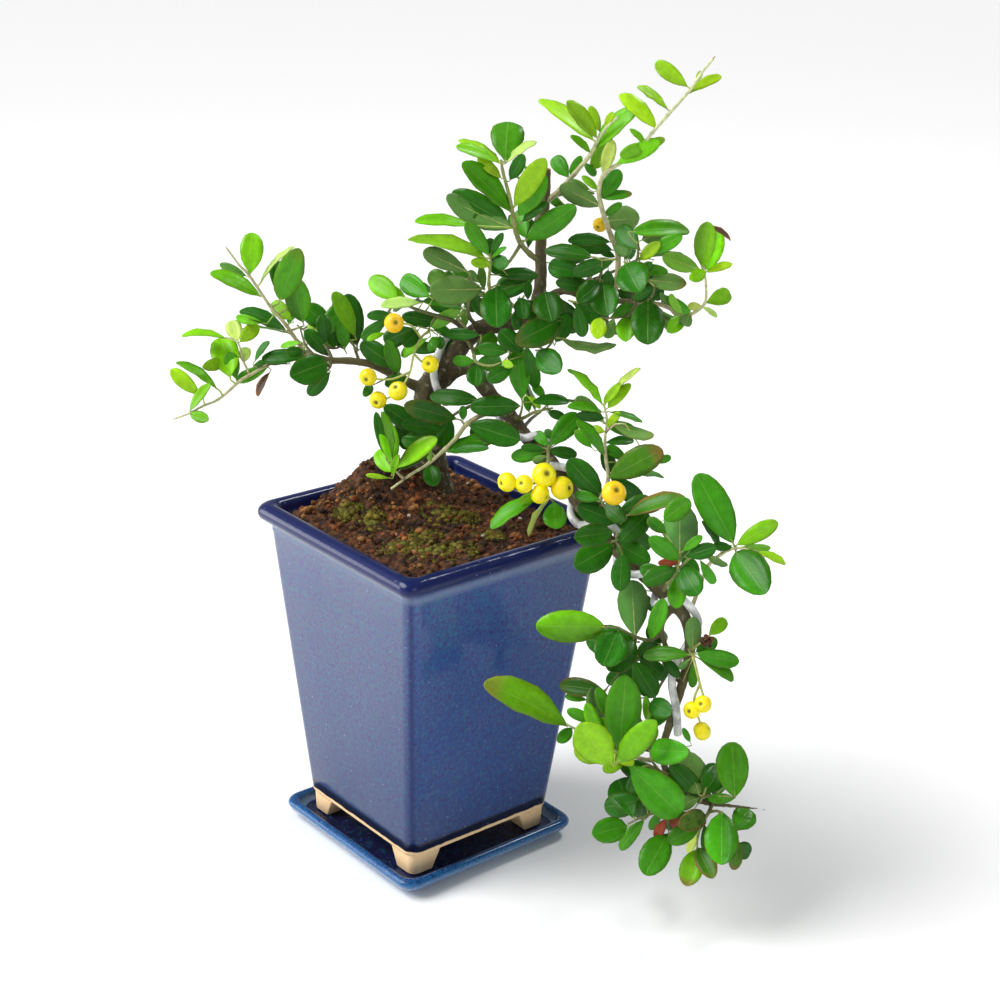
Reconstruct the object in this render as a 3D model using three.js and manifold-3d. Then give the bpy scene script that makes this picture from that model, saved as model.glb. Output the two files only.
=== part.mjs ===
// Scarlet firethorn bonsai, trained as a cascade, in a tall square glazed pot on a square saucer.
// Millimetres, +Z up. The origin is the centre of the saucer's underside, and the pot's walls
// face +X, -X, +Y and -Y. The cascade hangs over the +X wall.
import * as THREE from "three";
import { mergeVertices } from "three/addons/utils/BufferGeometryUtils.js";
import Module from "manifold-3d";

const wasm = await Module();
wasm.setup();

// Driving dimensions
const CLEAR = 0.3;
const SAUCER = {
  height: 8,
  floor: 4,
  footHalf: 37,
  rimHalf: 42.8,
  rimWidth: 3.4,
  corner: 6,
};
const POT = {
  footHeight: 9,
  footLong: 15,
  footShort: 10,
  footDeep: 9,
  bottomHalf: 35.3,
  lipJoint: 46.2,
  rimHalf: 50.4,
  rimTop: 138,
  lipHeight: 11,
  wall: 5.4,
  floor: 5,
  corner: 5.5,
  drainHole: 13,
};
const SCREEN = { side: 22, thick: 1, hole: 4.6, pitch: 7.5, count: 2 };
const SOIL = { edge: 133.4, mound: 17.5, moundX: -30, moundY: -2, moundReach: 19, lump: 0.9, steep: 24 };
const WIRE = { diameter: 3 };
const BERRY = { sides: 7, flat: 0.92, eye: 0.2 };
const LEAF = {
  thick: 0.95,
  fold: 0.13,
  bow: 0.07,
  long: 12.5,
  slight: 4.2,
  broad: 12,
  thin: 2.4,
  under: 0.7,
};

// Heights that follow from them
const FEET_Z = SAUCER.floor + CLEAR;
const WALL_Z = SAUCER.floor + POT.footHeight;
const FLOOR_Z = WALL_Z + POT.floor;
const LIP_Z = POT.rimTop - POT.lipHeight;

// The plant is placed by where its parts show to an eye in front of the pot's near corner:
// a place is a picture column, a picture row and a depth in mm towards the eye from the pot's axis.
const EYE = {
  yaw: 49.73,
  pitch: 21.47,
  roll: 1.85,
  focal: 1950.18,
  centre: 500,
  distance: 751.3,
  aimSide: 25.45,
  aimHeight: 143.2,
};
const rad = THREE.MathUtils.degToRad;
const vec = (x, y, z) => new THREE.Vector3(x, y, z);

function eyeAxes() {
  const a = rad(EYE.yaw);
  const e = rad(EYE.pitch);
  const r = rad(EYE.roll);
  const back = vec(Math.sin(a) * Math.cos(e), -Math.cos(a) * Math.cos(e), Math.sin(e));
  const level = vec(Math.cos(a), Math.sin(a), 0);
  const rise = back.clone().cross(level);
  const right = level.clone().multiplyScalar(Math.cos(r)).addScaledVector(rise, Math.sin(r));
  const up = rise.clone().multiplyScalar(Math.cos(r)).addScaledVector(level, -Math.sin(r));
  const aim = right.clone().multiplyScalar(EYE.aimSide).add(vec(0, 0, EYE.aimHeight));
  const at = aim.addScaledVector(back, EYE.distance);
  const towards = vec(Math.sin(a), -Math.cos(a), 0);
  return { back, right, up, at, towards };
}
const eye = eyeAxes();

function place([column, row, depth]) {
  const ray = eye.back.clone().multiplyScalar(-EYE.focal);
  ray.addScaledVector(eye.right, column - EYE.centre);
  ray.addScaledVector(eye.up, EYE.centre - row);
  const t = (depth - eye.at.dot(eye.towards)) / ray.dot(eye.towards);
  return eye.at.clone().addScaledVector(ray, t);
}

function picture(point) {
  const d = point.clone().sub(eye.at);
  const away = -d.dot(eye.back);
  const scale = EYE.focal / away;
  return [EYE.centre + scale * d.dot(eye.right), EYE.centre - scale * d.dot(eye.up)];
}

// Every seeded draw in the part comes from this one
function draws(seed) {
  let state = seed;
  return () => {
    state = (state * 16807) % 2147483647;
    return state / 2147483647;
  };
}

// Solids from rings of points: a ring of one point closes the skin to a tip
function skin(rings) {
  const points = rings.flat();
  const faces = [];
  let start = 0;
  for (let i = 0; i < rings.length - 1; i++) {
    const next = start + rings[i].length;
    joinRings(faces, start, rings[i].length, next, rings[i + 1].length);
    start = next;
  }
  capRing(faces, 0, rings[0].length, true);
  capRing(faces, start, rings[rings.length - 1].length, false);
  return solidFrom(points, faces);
}

function joinRings(faces, a, countA, b, countB) {
  const n = Math.max(countA, countB);
  for (let k = 0; k < n; k++) {
    const m = (k + 1) % n;
    if (countA > 1) {
      faces.push([a + k, a + m, b + (countB > 1 ? m : 0)]);
    }
    if (countB > 1) {
      faces.push([a + (countA > 1 ? k : 0), b + m, b + k]);
    }
  }
}

function capRing(faces, start, count, first) {
  for (let k = 1; k < count - 1; k++) {
    faces.push(first ? [start, start + k + 1, start + k] : [start, start + k, start + k + 1]);
  }
}

function solidFrom(points, faces) {
  const vertProperties = new Float32Array(points.flatMap((p) => [p.x, p.y, p.z]));
  const triVerts = new Uint32Array(faces.flat());
  const body = new wasm.Manifold(new wasm.Mesh({ numProp: 3, vertProperties, triVerts }));
  if (body.volume() >= 0) {
    return body;
  }
  const turned = new Uint32Array(faces.flatMap(([a, b, c]) => [a, c, b]));
  return new wasm.Manifold(new wasm.Mesh({ numProp: 3, vertProperties, triVerts: turned }));
}

function solidOf(geometry) {
  const bare = geometry.clone();
  bare.deleteAttribute("normal");
  bare.deleteAttribute("uv");
  const merged = mergeVertices(bare, 1e-4);
  const position = merged.getAttribute("position");
  const points = [];
  for (let i = 0; i < position.count; i++) {
    points.push(vec(position.getX(i), position.getY(i), position.getZ(i)));
  }
  const index = Array.from(merged.getIndex().array);
  const faces = [];
  for (let i = 0; i < index.length; i += 3) {
    faces.push(index.slice(i, i + 3));
  }
  return solidFrom(points, faces);
}

function joined(solids) {
  return solids.reduce((all, one) => all.add(one));
}

function mainBody(solid) {
  const bodies = solid.decompose();
  bodies.sort((a, b) => b.volume() - a.volume());
  return bodies[0];
}

// Square rings with round corners, counter-clockwise from the +X+Y corner
function squareRing(half, corner, z, steps = 3) {
  const ring = [];
  for (let c = 0; c < 4; c++) {
    const turn = (c * Math.PI) / 2;
    const mid = vec(half - corner, half - corner, 0).applyAxisAngle(vec(0, 0, 1), turn);
    for (let k = 0; k <= steps; k++) {
      const angle = turn + (k / steps) * (Math.PI / 2);
      ring.push(vec(mid.x + corner * Math.cos(angle), mid.y + corner * Math.sin(angle), z));
    }
  }
  return ring;
}

// Saucer: flat foot, stepped underside, round rim bar, sunk floor
function saucer() {
  const { height, floor, footHalf, rimHalf, rimWidth, corner } = SAUCER;
  const inner = rimHalf - rimWidth;
  const profile = [
    [footHalf, 0],
    [footHalf + 0.7, 1.6],
    [footHalf + 3.6, 2.6],
    [rimHalf - 0.3, 5],
    [rimHalf, 6.4],
    [rimHalf - 0.7, 7.6],
    [rimHalf - 1.8, height],
    [inner + 0.3, 7.2],
    [inner - 1.8, floor],
  ];
  return skin(profile.map(([half, z]) => squareRing(half, corner - (rimHalf - half) * 0.35, z)));
}

// Pot: tapered wall, ridge, cove and rolled lip outside, plain wall and floor inside
function potShell() {
  const { bottomHalf, lipJoint, rimHalf, rimTop, wall, corner } = POT;
  const outer = [
    [bottomHalf - 1, WALL_Z],
    [bottomHalf, WALL_Z + 1],
    [lipJoint, LIP_Z],
    [lipJoint + 0.7, LIP_Z + 0.7],
    [lipJoint + 0.2, LIP_Z + 1.8],
    [lipJoint + 1.5, LIP_Z + 3],
    [rimHalf - 0.7, LIP_Z + 4.6],
    [rimHalf, LIP_Z + 6.8],
    [rimHalf - 0.8, LIP_Z + 9.2],
    [rimHalf - 2.6, rimTop - 0.4],
    [rimHalf - 4, rimTop],
  ];
  const inner = [
    [rimHalf - 5.8, rimTop - 0.5],
    [rimHalf - 7, rimTop - 2.6],
    [lipJoint - wall, LIP_Z],
    [innerHalf(FLOOR_Z), FLOOR_Z],
  ];
  const rings = outer.map(([half, z]) => squareRing(half, corner, z));
  inner.forEach(([half, z]) => rings.push(squareRing(half, corner - 1.5, z)));
  return skin(rings);
}

function innerHalf(z) {
  const part = (z - WALL_Z) / (LIP_Z - WALL_Z);
  return POT.bottomHalf + (POT.lipJoint - POT.bottomHalf) * part - POT.wall;
}

// A foot hugs the wall's corner with two arms, whose inner ends slope in towards the saucer
function foot(turn) {
  const { bottomHalf, footLong, footShort, footDeep, corner } = POT;
  const outlineAt = (z, arm, half) => {
    const far = half - arm;
    const deep = half - footDeep;
    const c = corner * 0.6;
    const outline = [[far, deep], [deep, deep], [deep, far], [half, far], [half, half - c]];
    outline.push([half - c * 0.3, half - c * 0.3], [half - c, half], [far, half]);
    return outline.map(([x, y]) => vec(x, y, z).applyAxisAngle(vec(0, 0, 1), turn));
  };
  const top = outlineAt(WALL_Z + 2, footLong, bottomHalf - 1.2);
  const base = outlineAt(FEET_Z, footShort, bottomHalf - 1.6);
  return skin([base, top]);
}

function pot() {
  let body = potShell();
  for (let k = 0; k < 4; k++) {
    body = body.add(foot((k * Math.PI) / 2));
  }
  const drill = new THREE.CylinderGeometry(POT.drainHole / 2, POT.drainHole / 2, POT.floor * 4, 16);
  drill.rotateX(Math.PI / 2);
  drill.translate(0, 0, FLOOR_Z);
  return body.subtract(solidOf(drill));
}

// Drainage screen: a square of plastic mesh over the drain hole
function drainScreen() {
  const { side, thick, hole, pitch, count } = SCREEN;
  const middle = FLOOR_Z + CLEAR + thick / 2;
  const sheet = new THREE.BoxGeometry(side, side, thick).translate(0, 0, middle);
  let body = solidOf(sheet);
  const first = (-(count - 1) * pitch) / 2;
  for (let i = 0; i < count; i++) {
    for (let j = 0; j < count; j++) {
      const punch = new THREE.BoxGeometry(hole, hole, thick * 3);
      punch.translate(first + i * pitch, first + j * pitch, middle);
      body = body.subtract(solidOf(punch));
    }
  }
  return body;
}

// Soil: a lumpy mound, highest round the trunk's foot, that fills the pot down to the screen
function soilHeight(x, y) {
  const reach = Math.hypot(x - SOIL.moundX, y - SOIL.moundY) / SOIL.moundReach;
  const inside = 1 - Math.pow(Math.max(Math.abs(x), Math.abs(y)) / innerHalf(SOIL.edge), SOIL.steep);
  const lumps = Math.sin(x * 0.61 + y * 0.23) * Math.cos(y * 0.47 - x * 0.31);
  const crumbs = Math.sin(x * 1.37 - y * 0.71 + 2) * Math.sin(y * 1.13 + x * 0.37);
  const mound = SOIL.mound * Math.exp(-reach * reach);
  return SOIL.edge + inside * (mound + 1.2 + SOIL.lump * (lumps + crumbs));
}

function soil(trunkHole) {
  const bottom = FLOOR_Z + CLEAR * 2 + SCREEN.thick;
  const rings = [
    squareRing(innerHalf(bottom) - CLEAR, 3.2, bottom),
    squareRing(innerHalf(LIP_Z) - CLEAR, 3.6, LIP_Z),
    squareRing(innerHalf(LIP_Z) - CLEAR, 3.6, SOIL.edge - 0.8),
  ];
  const shares = [0.955, 0.89, 0.76, 0.58, 0.38, 0.19];
  shares.forEach((share) => {
    const ring = squareRing(innerHalf(LIP_Z) * share, 3.6 * share, 0);
    ring.forEach((p) => {
      p.z = soilHeight(p.x, p.y);
    });
    rings.push(ring);
  });
  rings.push([vec(0, 0, soilHeight(0, 0))]);
  return mainBody(skin(rings).subtract(trunkHole));
}

// Limbs: a bent, tapering stem through hand-picked places, with a bark that swells and pinches
function limb(path, sides, grow = 0, rough = 0, seed = 1) {
  const draw = draws(seed);
  const spots = path.map(([spot]) => spot);
  let side = vec(0, 0, 1);
  const rings = path.map(([spot, radius], i) => {
    const before = spots[Math.max(0, i - 1)];
    const after = spots[Math.min(spots.length - 1, i + 1)];
    const along = after.clone().sub(before).normalize();
    side = side.clone().addScaledVector(along, -side.dot(along));
    if (side.length() < 0.1) {
      side = vec(1, 0.3, 0).addScaledVector(along, -along.x);
    }
    side.normalize();
    const across = along.clone().cross(side);
    const last = i === spots.length - 1;
    const middle = spot.clone().addScaledVector(along, last ? grow : i === 0 ? -grow : 0);
    const ring = [];
    for (let k = 0; k < sides; k++) {
      const angle = (k / sides) * Math.PI * 2;
      const r = radius * (1 + rough * (draw() - 0.5)) + grow;
      const p = middle.clone().addScaledVector(side, r * Math.cos(angle));
      ring.push(p.addScaledVector(across, r * Math.sin(angle)));
    }
    return ring;
  });
  return skin(rings);
}

// The wood that grew as one piece. Each row is a picture place, its depth and the thickness in mm.
const WOOD = {
  trunk: [
    [441, 560, -26, 9],
    [438, 500, -26, 14],
    [435, 478, -25, 12.6],
    [431, 452, -23, 11.4],
    [428, 425, -21, 10.8],
    [427, 400, -20, 10.6],
    [433, 382, -19, 10],
    [448, 364, -18, 8.4],
    [464, 342, -16, 7.2],
    [484, 327, -14, 6.6],
    [510, 324, -11, 6.2],
    [531, 312, -9, 5.6],
    [540, 288, -8, 4.8],
    [541, 240, -10, 4.1],
    [545, 202, -12, 3.9],
    [547, 168, -12, 3.1],
  ],
  cascade: [
    [436, 384, -19, 8],
    [455, 369, -17, 7.2],
    [470, 368, -14, 6.4],
    [484, 387, -11, 5.8],
    [505, 410, -5, 5.6],
    [530, 441, 5, 5.4],
    [556, 468, 14, 5.2],
    [580, 506, 22, 5],
    [612, 545, 34, 4.8],
    [645, 577, 43, 4.7],
    [670, 600, 48, 4.9],
    [686, 620, 52, 4.4],
    [690, 647, 54, 4.1],
    [683, 682, 56, 3.6],
    [670, 722, 58, 3.1],
    [663, 756, 60, 2.7],
    [674, 787, 61, 2.4],
    [702, 802, 62, 2],
    [733, 806, 61, 1.4],
    [768, 810, 60, 0.6],
  ],
  stub: [
    [674, 606, 49, 3],
    [663, 620, 50, 2.7],
    [661, 634, 51, 2.6],
    [667, 648, 52, 1.8],
  ],
  arm: [
    [424, 390, -19, 4.4],
    [392, 374, -14, 3.5],
    [370, 364, -11, 3.1],
    [350, 361, -9, 2.9],
    [328, 360, -7, 2.7],
    [303, 352, -4, 2.4],
  ],
  right: [
    [536, 304, -9, 3.4],
    [563, 291, -4, 2.9],
    [590, 299, 1, 2.6],
    [612, 301, 4, 2.3],
    [640, 301, 7, 1.9],
  ],
  rightLow: [
    [585, 300, 1, 2.2],
    [600, 313, 3, 2],
    [617, 335, 5, 1.3],
  ],
};
const WOOD_SIDES = { trunk: 8, cascade: 6, stub: 5, arm: 6, right: 5, rightLow: 4 };

function woodPath(name) {
  return WOOD[name].map(([column, row, depth, thick]) => [place([column, row, depth]), thick / 2]);
}

function wood(grow) {
  const names = Object.keys(WOOD);
  return joined(names.map((name, i) => limb(woodPath(name), WOOD_SIDES[name], grow, 0.22, 31 + i)));
}

// Leafy shoots. A stem starts with its thickness in mm at the root, then its places; the first stem
// grows from the wood and the others from an earlier one. A leaf is read from the picture: column
// and row of its base, of its tip, the width it shows, and its age: Y young, B bright, M middle,
// D dark, G greyed or seen from below, P pale, R red. A last number, where given, is the depth
// that the tip gains towards the eye.
const SHOOTS = {
  armTop: {
    green: "bright",
    stems: [
      [1.7, [304, 352, -4], [297, 341, -5], [286, 325, -2], [270, 306, 1], [249, 275, 3],
        [240, 266, 4], [228, 250, 5]],
    ],
    leaves: [
      [250, 274, 252, 233, 22, "B"],
      [260, 296, 211, 272, 14, "M"],
      [259, 285, 294, 247, 4, "P"],
      [280, 300, 299, 250, 26, "M"],
      [303, 322, 292, 275, 24, "M"],
      [292, 320, 272, 303, 15, "Y"],
      [286, 331, 240, 309, 14, "D"],
    ],
  },
  armTip: {
    green: "bright",
    stems: [
      [1.7, [311, 354, -4.6], [298, 359, 1], [280, 359, 3], [250, 375, 5], [240, 381, 7],
        [219, 399, 10], [203, 406, 12], [190, 413, 13], [177, 418, 14]],
      [1.0, [250, 375, 5], [243, 360, 2], [238, 343, 0], [226, 338, -1]],
    ],
    leaves: [
      [238, 341, 232, 321, 16, "P"],
      [240, 342, 258, 325, 14, "B"],
      [225, 338, 182, 335, 6, "B"],
      [230, 377, 222, 337, 27, "B"],
      [222, 362, 203, 367, 12, "B"],
      [217, 389, 177, 361, 9, "B"],
      [200, 395, 171, 369, 14, "Y"],
      [190, 411, 210, 384, 9, "B"],
      [190, 414, 209, 420, 11, "B"],
      [243, 362, 247, 347, 11, "P"],
      [255, 361, 269, 341, 6, "D"],
      [288, 364, 253, 366, 6, "D"],
      [268, 367, 236, 381, 12, "M"],
      [270, 372, 257, 396, 7, "R"],
    ],
  },
  armNode: {
    green: "dark",
    stems: [
      [1.5, [331, 361, -7], [330, 367, 0], [327, 371, 3]],
      [1.2, [330, 367, 0], [320, 358, 4], [304, 350, 5]],
    ],
    leaves: [
      [300, 343, 281, 347, 6, "B"],
      [305, 355, 262, 359, 14, "D"],
      [303, 351, 285, 352, 10, "D"],
      [328, 362, 291, 376, 28, "D"],
      [330, 372, 308, 395, 14, "D"],
    ],
  },
  armBack: {
    green: "dark",
    stems: [
      [1.5, [333, 361, -7], [326, 347, -12], [312, 336, -16], [297, 325, -20]],
      [1.2, [326, 347, -12], [337, 348, -15], [350, 340, -17]],
    ],
    leaves: [
      [318, 338, 347, 302, 20, "D"],
      [355, 337, 333, 292, 16, "M"],
      [334, 348, 332, 325, 15, "D"],
      [320, 332, 308, 324, 9, "Y"],
      [330, 348, 319, 339, 9, "B"],
      [326, 342, 322, 314, 14, "D"],
      [345, 348, 341, 318, 13, "D"],
    ],
  },
  innerLeft: {
    green: "dark",
    stems: [
      [2.0, [466, 334, -15], [455, 322, -9], [437, 316, -6], [418, 310, -4], [398, 303, -3],
        [388, 312, -1]],
      [1.1, [437, 316, -6], [428, 330, -3]],
    ],
    leaves: [
      [398, 298, 370, 279, 20, "B"],
      [430, 297, 402, 278, 20, "B"],
      [420, 303, 381, 306, 11, "P"],
      [462, 309, 424, 300, 9, "M"],
      [463, 307, 431, 327, 13, "G"],
      [392, 315, 367, 316, 10, "D"],
      [388, 318, 361, 339, 12, "D"],
      [385, 333, 367, 340, 6, "B"],
      [418, 330, 403, 346, 14, "D"],
      [428, 338, 401, 356, 10, "B"],
      [437, 337, 430, 350, 10, "B"],
      [440, 336, 441, 349, 9, "D"],
    ],
  },
  armRoot: {
    green: "dark",
    stems: [
      [1.4, [392, 374, -14], [397, 372, -6], [404, 376, -3]],
      [1.1, [396, 373, -8], [385, 379, -6], [373, 385, -5]],
    ],
    leaves: [
      [398, 368, 361, 343, 20, "D"],
      [398, 375, 388, 340, 15, "M"],
      [405, 377, 385, 385, 12, "D"],
      [372, 385, 364, 396, 9, "D"],
    ],
  },
  lowFront: {
    green: "bright",
    stems: [
      [2.2, [503, 408, -5], [484, 414, 1], [467, 424, 6], [457, 437, 10], [445, 449, 13],
        [428, 464, 17], [410, 475, 20], [391, 489, 22]],
      [1.3, [404, 479, 21], [394, 470, 24]],
    ],
    leaves: [
      [394, 466, 385, 420, 18, "B"],
      [393, 472, 378, 450, 18, "B"],
      [397, 468, 436, 438, 16, "B"],
      [400, 470, 428, 452, 10, "D"],
      [430, 465, 435, 486, 17, "D"],
      [445, 452, 494, 438, 14, "M"],
      [450, 452, 489, 449, 10, "D"],
      [430, 463, 429, 447, 6, "G"],
      [463, 420, 463, 406, 8, "D"],
      [457, 419, 405, 405, 20, "D"],
      [468, 424, 520, 440, 24, "D"],
      [392, 460, 380, 412, 7, "D"],
    ],
  },
  trunkFoot: {
    green: "dark",
    stems: [
      [1.8, [503, 407, -5], [486, 402, -2], [462, 410, -2], [440, 425, -3], [428, 437, -4]],
      [1.4, [490, 403, -3], [506, 402, 3], [520, 406, 5]],
    ],
    leaves: [
      [478, 400, 430, 396, 16, "D"],
      [428, 436, 384, 406, 20, "D"],
      [520, 406, 470, 407, 20, "D"],
      [442, 428, 402, 424, 16, "D"],
      [436, 432, 404, 442, 15, "D"],
      [448, 420, 424, 446, 13, "D"],
    ],
  },
  midRosette: {
    green: "middle",
    stems: [
      [1.9, [466, 338, -16], [473, 350, -6], [476, 362, 0], [490, 366, 3], [503, 362, 5]],
      [1.1, [473, 350, -6], [480, 344, -3], [481, 336, -2]],
    ],
    leaves: [
      [480, 335, 446, 334, 12, "D"],
      [475, 355, 496, 335, 16, "M"],
      [475, 362, 453, 360, 11, "M"],
      [476, 363, 501, 362, 18, "M"],
      [502, 362, 513, 366, 8, "Y"],
      [477, 364, 476, 386, 18, "D"],
      [512, 368, 487, 380, 15, "M"],
    ],
  },
  midTwig: {
    green: "middle",
    stems: [
      [1.9, [505, 411, -5], [519, 419, 1], [535, 412, 3], [553, 408, 4]],
      [1.2, [519, 419, 1], [522, 408, 5], [522, 399, 6]],
    ],
    leaves: [
      [522, 400, 517, 345, 22, "M"],
      [532, 402, 569, 401, 11, "D"],
      [545, 397, 533, 385, 9, "D"],
      [527, 396, 541, 408, 6, "Y"],
      [548, 412, 565, 417, 9, "D"],
    ],
  },
  crownHeart: {
    green: "dark",
    stems: [
      [1.9, [536, 308, -9], [545, 320, -1], [553, 338, 5], [545, 351, 8]],
      [1.3, [543, 317, -2.5], [545, 304, 1], [545, 293, 3]],
      [1.2, [541, 314, -4], [528, 308, 1], [517, 302, 2]],
    ],
    leaves: [
      [560, 320, 517, 342, 28, "D"],
      [537, 352, 560, 372, 24, "D"],
      [545, 292, 552, 321, 28, "D"],
      [520, 298, 524, 318, 16, "D"],
      [515, 310, 518, 330, 10, "D"],
      [560, 338, 616, 347, 9, "G"],
    ],
  },
  crownLeftLow: {
    green: "grey",
    stems: [
      [1.9, [480, 329, -14], [469, 316, -9], [469, 300, -6], [474, 286, -4], [470, 276, -2]],
    ],
    leaves: [
      [470, 288, 455, 267, 14, "M"],
      [468, 272, 423, 251, 18, "G"],
      [480, 283, 468, 271, 8, "G"],
      [482, 289, 430, 290, 28, "G"],
    ],
  },
  crownLeftMid: {
    green: "middle",
    stems: [
      [1.9, [500, 325, -12], [493, 303, -3], [489, 285, 1], [490, 268, 4], [491, 257, 6]],
    ],
    leaves: [
      [485, 258, 408, 240, 14, "Y"],
      [489, 255, 466, 222, 15, "M"],
      [491, 253, 503, 233, 8, "D"],
      [492, 257, 506, 247, 5, "M"],
      [492, 264, 471, 262, 10, "Y"],
      [493, 262, 509, 264, 14, "D"],
      [498, 275, 538, 276, 12, "D"],
      [500, 285, 527, 281, 8, "D"],
      [496, 287, 497, 327, 30, "M"],
    ],
  },
  crownLeftTop: {
    green: "middle",
    stems: [
      [2.4, [541, 262, -9], [530, 254, -5], [521, 244, 0], [516, 232, 2], [513, 215, 3],
        [509, 195, 4], [503, 172, 5], [501, 160, 6]],
      [1.5, [521, 244, 0], [509, 262, 4], [500, 268, 5]],
    ],
    leaves: [
      [505, 161, 508, 122, 32, "M"],
      [506, 163, 536, 141, 7, "P"],
      [500, 163, 459, 139, 8, "Y"],
      [497, 162, 456, 147, 10, "M"],
      [501, 178, 478, 158, 10, "Y"],
      [511, 212, 462, 163, 20, "M"],
      [512, 228, 446, 197, 23, "G"],
      [510, 229, 415, 221, 10, "B"],
      [514, 207, 545, 159, 20, "Y"],
      [510, 180, 523, 155, 13, "D"],
      [518, 216, 545, 175, 20, "M"],
      [526, 240, 576, 206, 22, "B"],
      [526, 238, 516, 212, 18, "M"],
      [522, 222, 548, 203, 10, "D"],
      [509, 261, 491, 256, 6, "G"],
    ],
  },
  crownTop: {
    green: "young",
    stems: [
      [2.3, [545, 203, -12], [560, 190, -9], [575, 173, -5], [590, 155, -1], [597, 142, 1],
        [606, 128, 3], [618, 117, 5]],
    ],
    leaves: [
      [593, 140, 539, 100, 15, "Y"],
      [597, 138, 568, 101, 15, "M"],
      [596, 148, 638, 107, 16, "B"],
      [605, 126, 613, 112, 7, "Y"],
      [590, 152, 570, 136, 7, "M"],
      [569, 178, 553, 157, 15, "M"],
      [571, 177, 581, 156, 10, "M"],
      [584, 163, 596, 176, 8, "M"],
    ],
  },
  whip: {
    green: "young",
    stems: [
      [2.3, [612, 301, 4], [617, 280, 2], [618, 252, 0], [612, 238, 0], [606, 222, 1],
        [601, 205, 2], [599, 190, 3], [604, 174, 4], [620, 163, 5], [640, 148, 6],
        [652, 133, 7], [668, 115, 8], [690, 90, 9], [700, 75, 10], [712, 60, 11]],
    ],
    leaves: [
      [688, 87, 656, 62, 15, "Y"],
      [690, 93, 721, 76, 9, "Y"],
      [697, 82, 701, 71, 6, "P"],
      [668, 110, 638, 86, 8, "Y"],
      [656, 128, 620, 94, 15, "Y"],
      [645, 143, 630, 129, 6, "M"],
      [645, 145, 620, 156, 13, "M"],
      [643, 148, 665, 139, 9, "B"],
      [603, 174, 613, 140, 13, "P"],
      [600, 206, 560, 186, 18, "G"],
      [598, 190, 582, 176, 7, "B"],
      [600, 198, 620, 170, 16, "M"],
      [602, 198, 632, 194, 9, "M"],
      [606, 221, 640, 218, 26, "G"],
      [610, 242, 568, 241, 12, "D"],
      [612, 243, 629, 254, 12, "G"],
    ],
  },
  crownRightTop: {
    green: "dark",
    stems: [
      [1.7, [634, 301, 6], [634, 285, 9], [634, 268, 12], [638, 255, 14], [637, 243, 15]],
    ],
    leaves: [
      [632, 232, 690, 230, 17, "M"],
      [642, 240, 668, 230, 18, "G"],
      [640, 250, 618, 228, 20, "M"],
      [650, 252, 682, 236, 14, "B"],
      [640, 260, 660, 242, 12, "Y"],
      [652, 262, 642, 272, 10, "D"],
      [625, 264, 640, 291, 32, "D"],
      [636, 268, 668, 272, 11, "D"],
    ],
  },
  crownRightIn: {
    green: "dark",
    stems: [
      [1.6, [578, 295, -2], [590, 287, 5], [601, 274, 8], [602, 259, 10]],
      [1.2, [590, 287, 5], [584, 296, 8], [578, 303, 9]],
    ],
    leaves: [
      [614, 260, 573, 274, 16, "D"],
      [592, 257, 545, 251, 15, "D"],
      [603, 283, 608, 315, 28, "M"],
      [600, 282, 578, 302, 20, "D"],
      [577, 303, 583, 337, 14, "D"],
      [585, 288, 556, 282, 12, "D"],
    ],
  },
  crownRightTip: {
    green: "bright",
    stems: [
      [1.8, [638, 301, 7], [665, 306, 9], [683, 317, 11], [695, 312, 12], [705, 303, 13],
        [706, 285, 14], [704, 268, 15]],
    ],
    leaves: [
      [700, 270, 663, 256, 17, "G"],
      [702, 267, 708, 221, 20, "D"],
      [705, 270, 718, 230, 23, "B"],
      [708, 226, 731, 240, 5, "R"],
      [706, 272, 732, 264, 8, "Y"],
      [706, 272, 690, 279, 12, "B"],
      [706, 303, 731, 293, 16, "B"],
      [703, 307, 688, 306, 8, "P"],
      [703, 307, 717, 317, 5, "P"],
      [690, 313, 684, 326, 12, "G"],
      [683, 318, 667, 332, 15, "B"],
      [683, 316, 670, 294, 8, "G"],
      [668, 306, 660, 292, 6, "G"],
    ],
  },
  crownRightLow: {
    green: "dark",
    stems: [
      [1.6, [630, 301, 6], [642, 304, 11], [652, 296, 14], [655, 286, 15]],
      [1.2, [637, 303, 9], [628, 315, 12], [614, 318, 11], [600, 318, 10]],
    ],
    leaves: [
      [648, 300, 648, 343, 32, "D"],
      [650, 280, 686, 284, 17, "G"],
      [640, 303, 658, 293, 10, "D"],
      [626, 317, 626, 341, 18, "B"],
      [600, 318, 597, 339, 16, "Y"],
      [614, 318, 606, 338, 12, "G"],
    ],
  },
  bendRosette: {
    green: "middle",
    stems: [
      [1.7, [530, 441, 5], [540, 447, 11], [549, 449, 14]],
      [1.4, [548, 449, 13], [548, 462, 23], [547, 478, 24], [547, 492, 25], [553, 502, 26]],
    ],
    leaves: [
      [549, 446, 579, 414, 20, "M"],
      [548, 446, 535, 432, 11, "M"],
      [549, 450, 577, 455, 12, "D"],
      [543, 452, 511, 457, 14, "M"],
      [545, 450, 521, 447, 8, "D"],
      [548, 456, 533, 462, 8, "G"],
      [540, 496, 490, 527, 14, "M"],
      [541, 493, 518, 503, 10, "B"],
      [548, 500, 529, 536, 5, "P"],
      [554, 502, 556, 529, 22, "M"],
    ],
  },
  upright: {
    green: "bright",
    stems: [
      [1.8, [592, 520, 26], [600, 500, 24], [608, 480, 22], [606, 460, 21], [605, 440, 20],
        [607, 420, 20], [604, 405, 20]],
      [1.0, [606, 432, 20], [616, 424, 23], [626, 424, 24]],
    ],
    leaves: [
      [602, 404, 569, 368, 9, "B"],
      [604, 403, 620, 383, 9, "Y"],
      [608, 408, 631, 384, 11, "Y"],
      [610, 398, 641, 369, 5, "P"],
      [605, 423, 576, 397, 14, "G"],
      [602, 412, 568, 406, 8, "B"],
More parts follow.
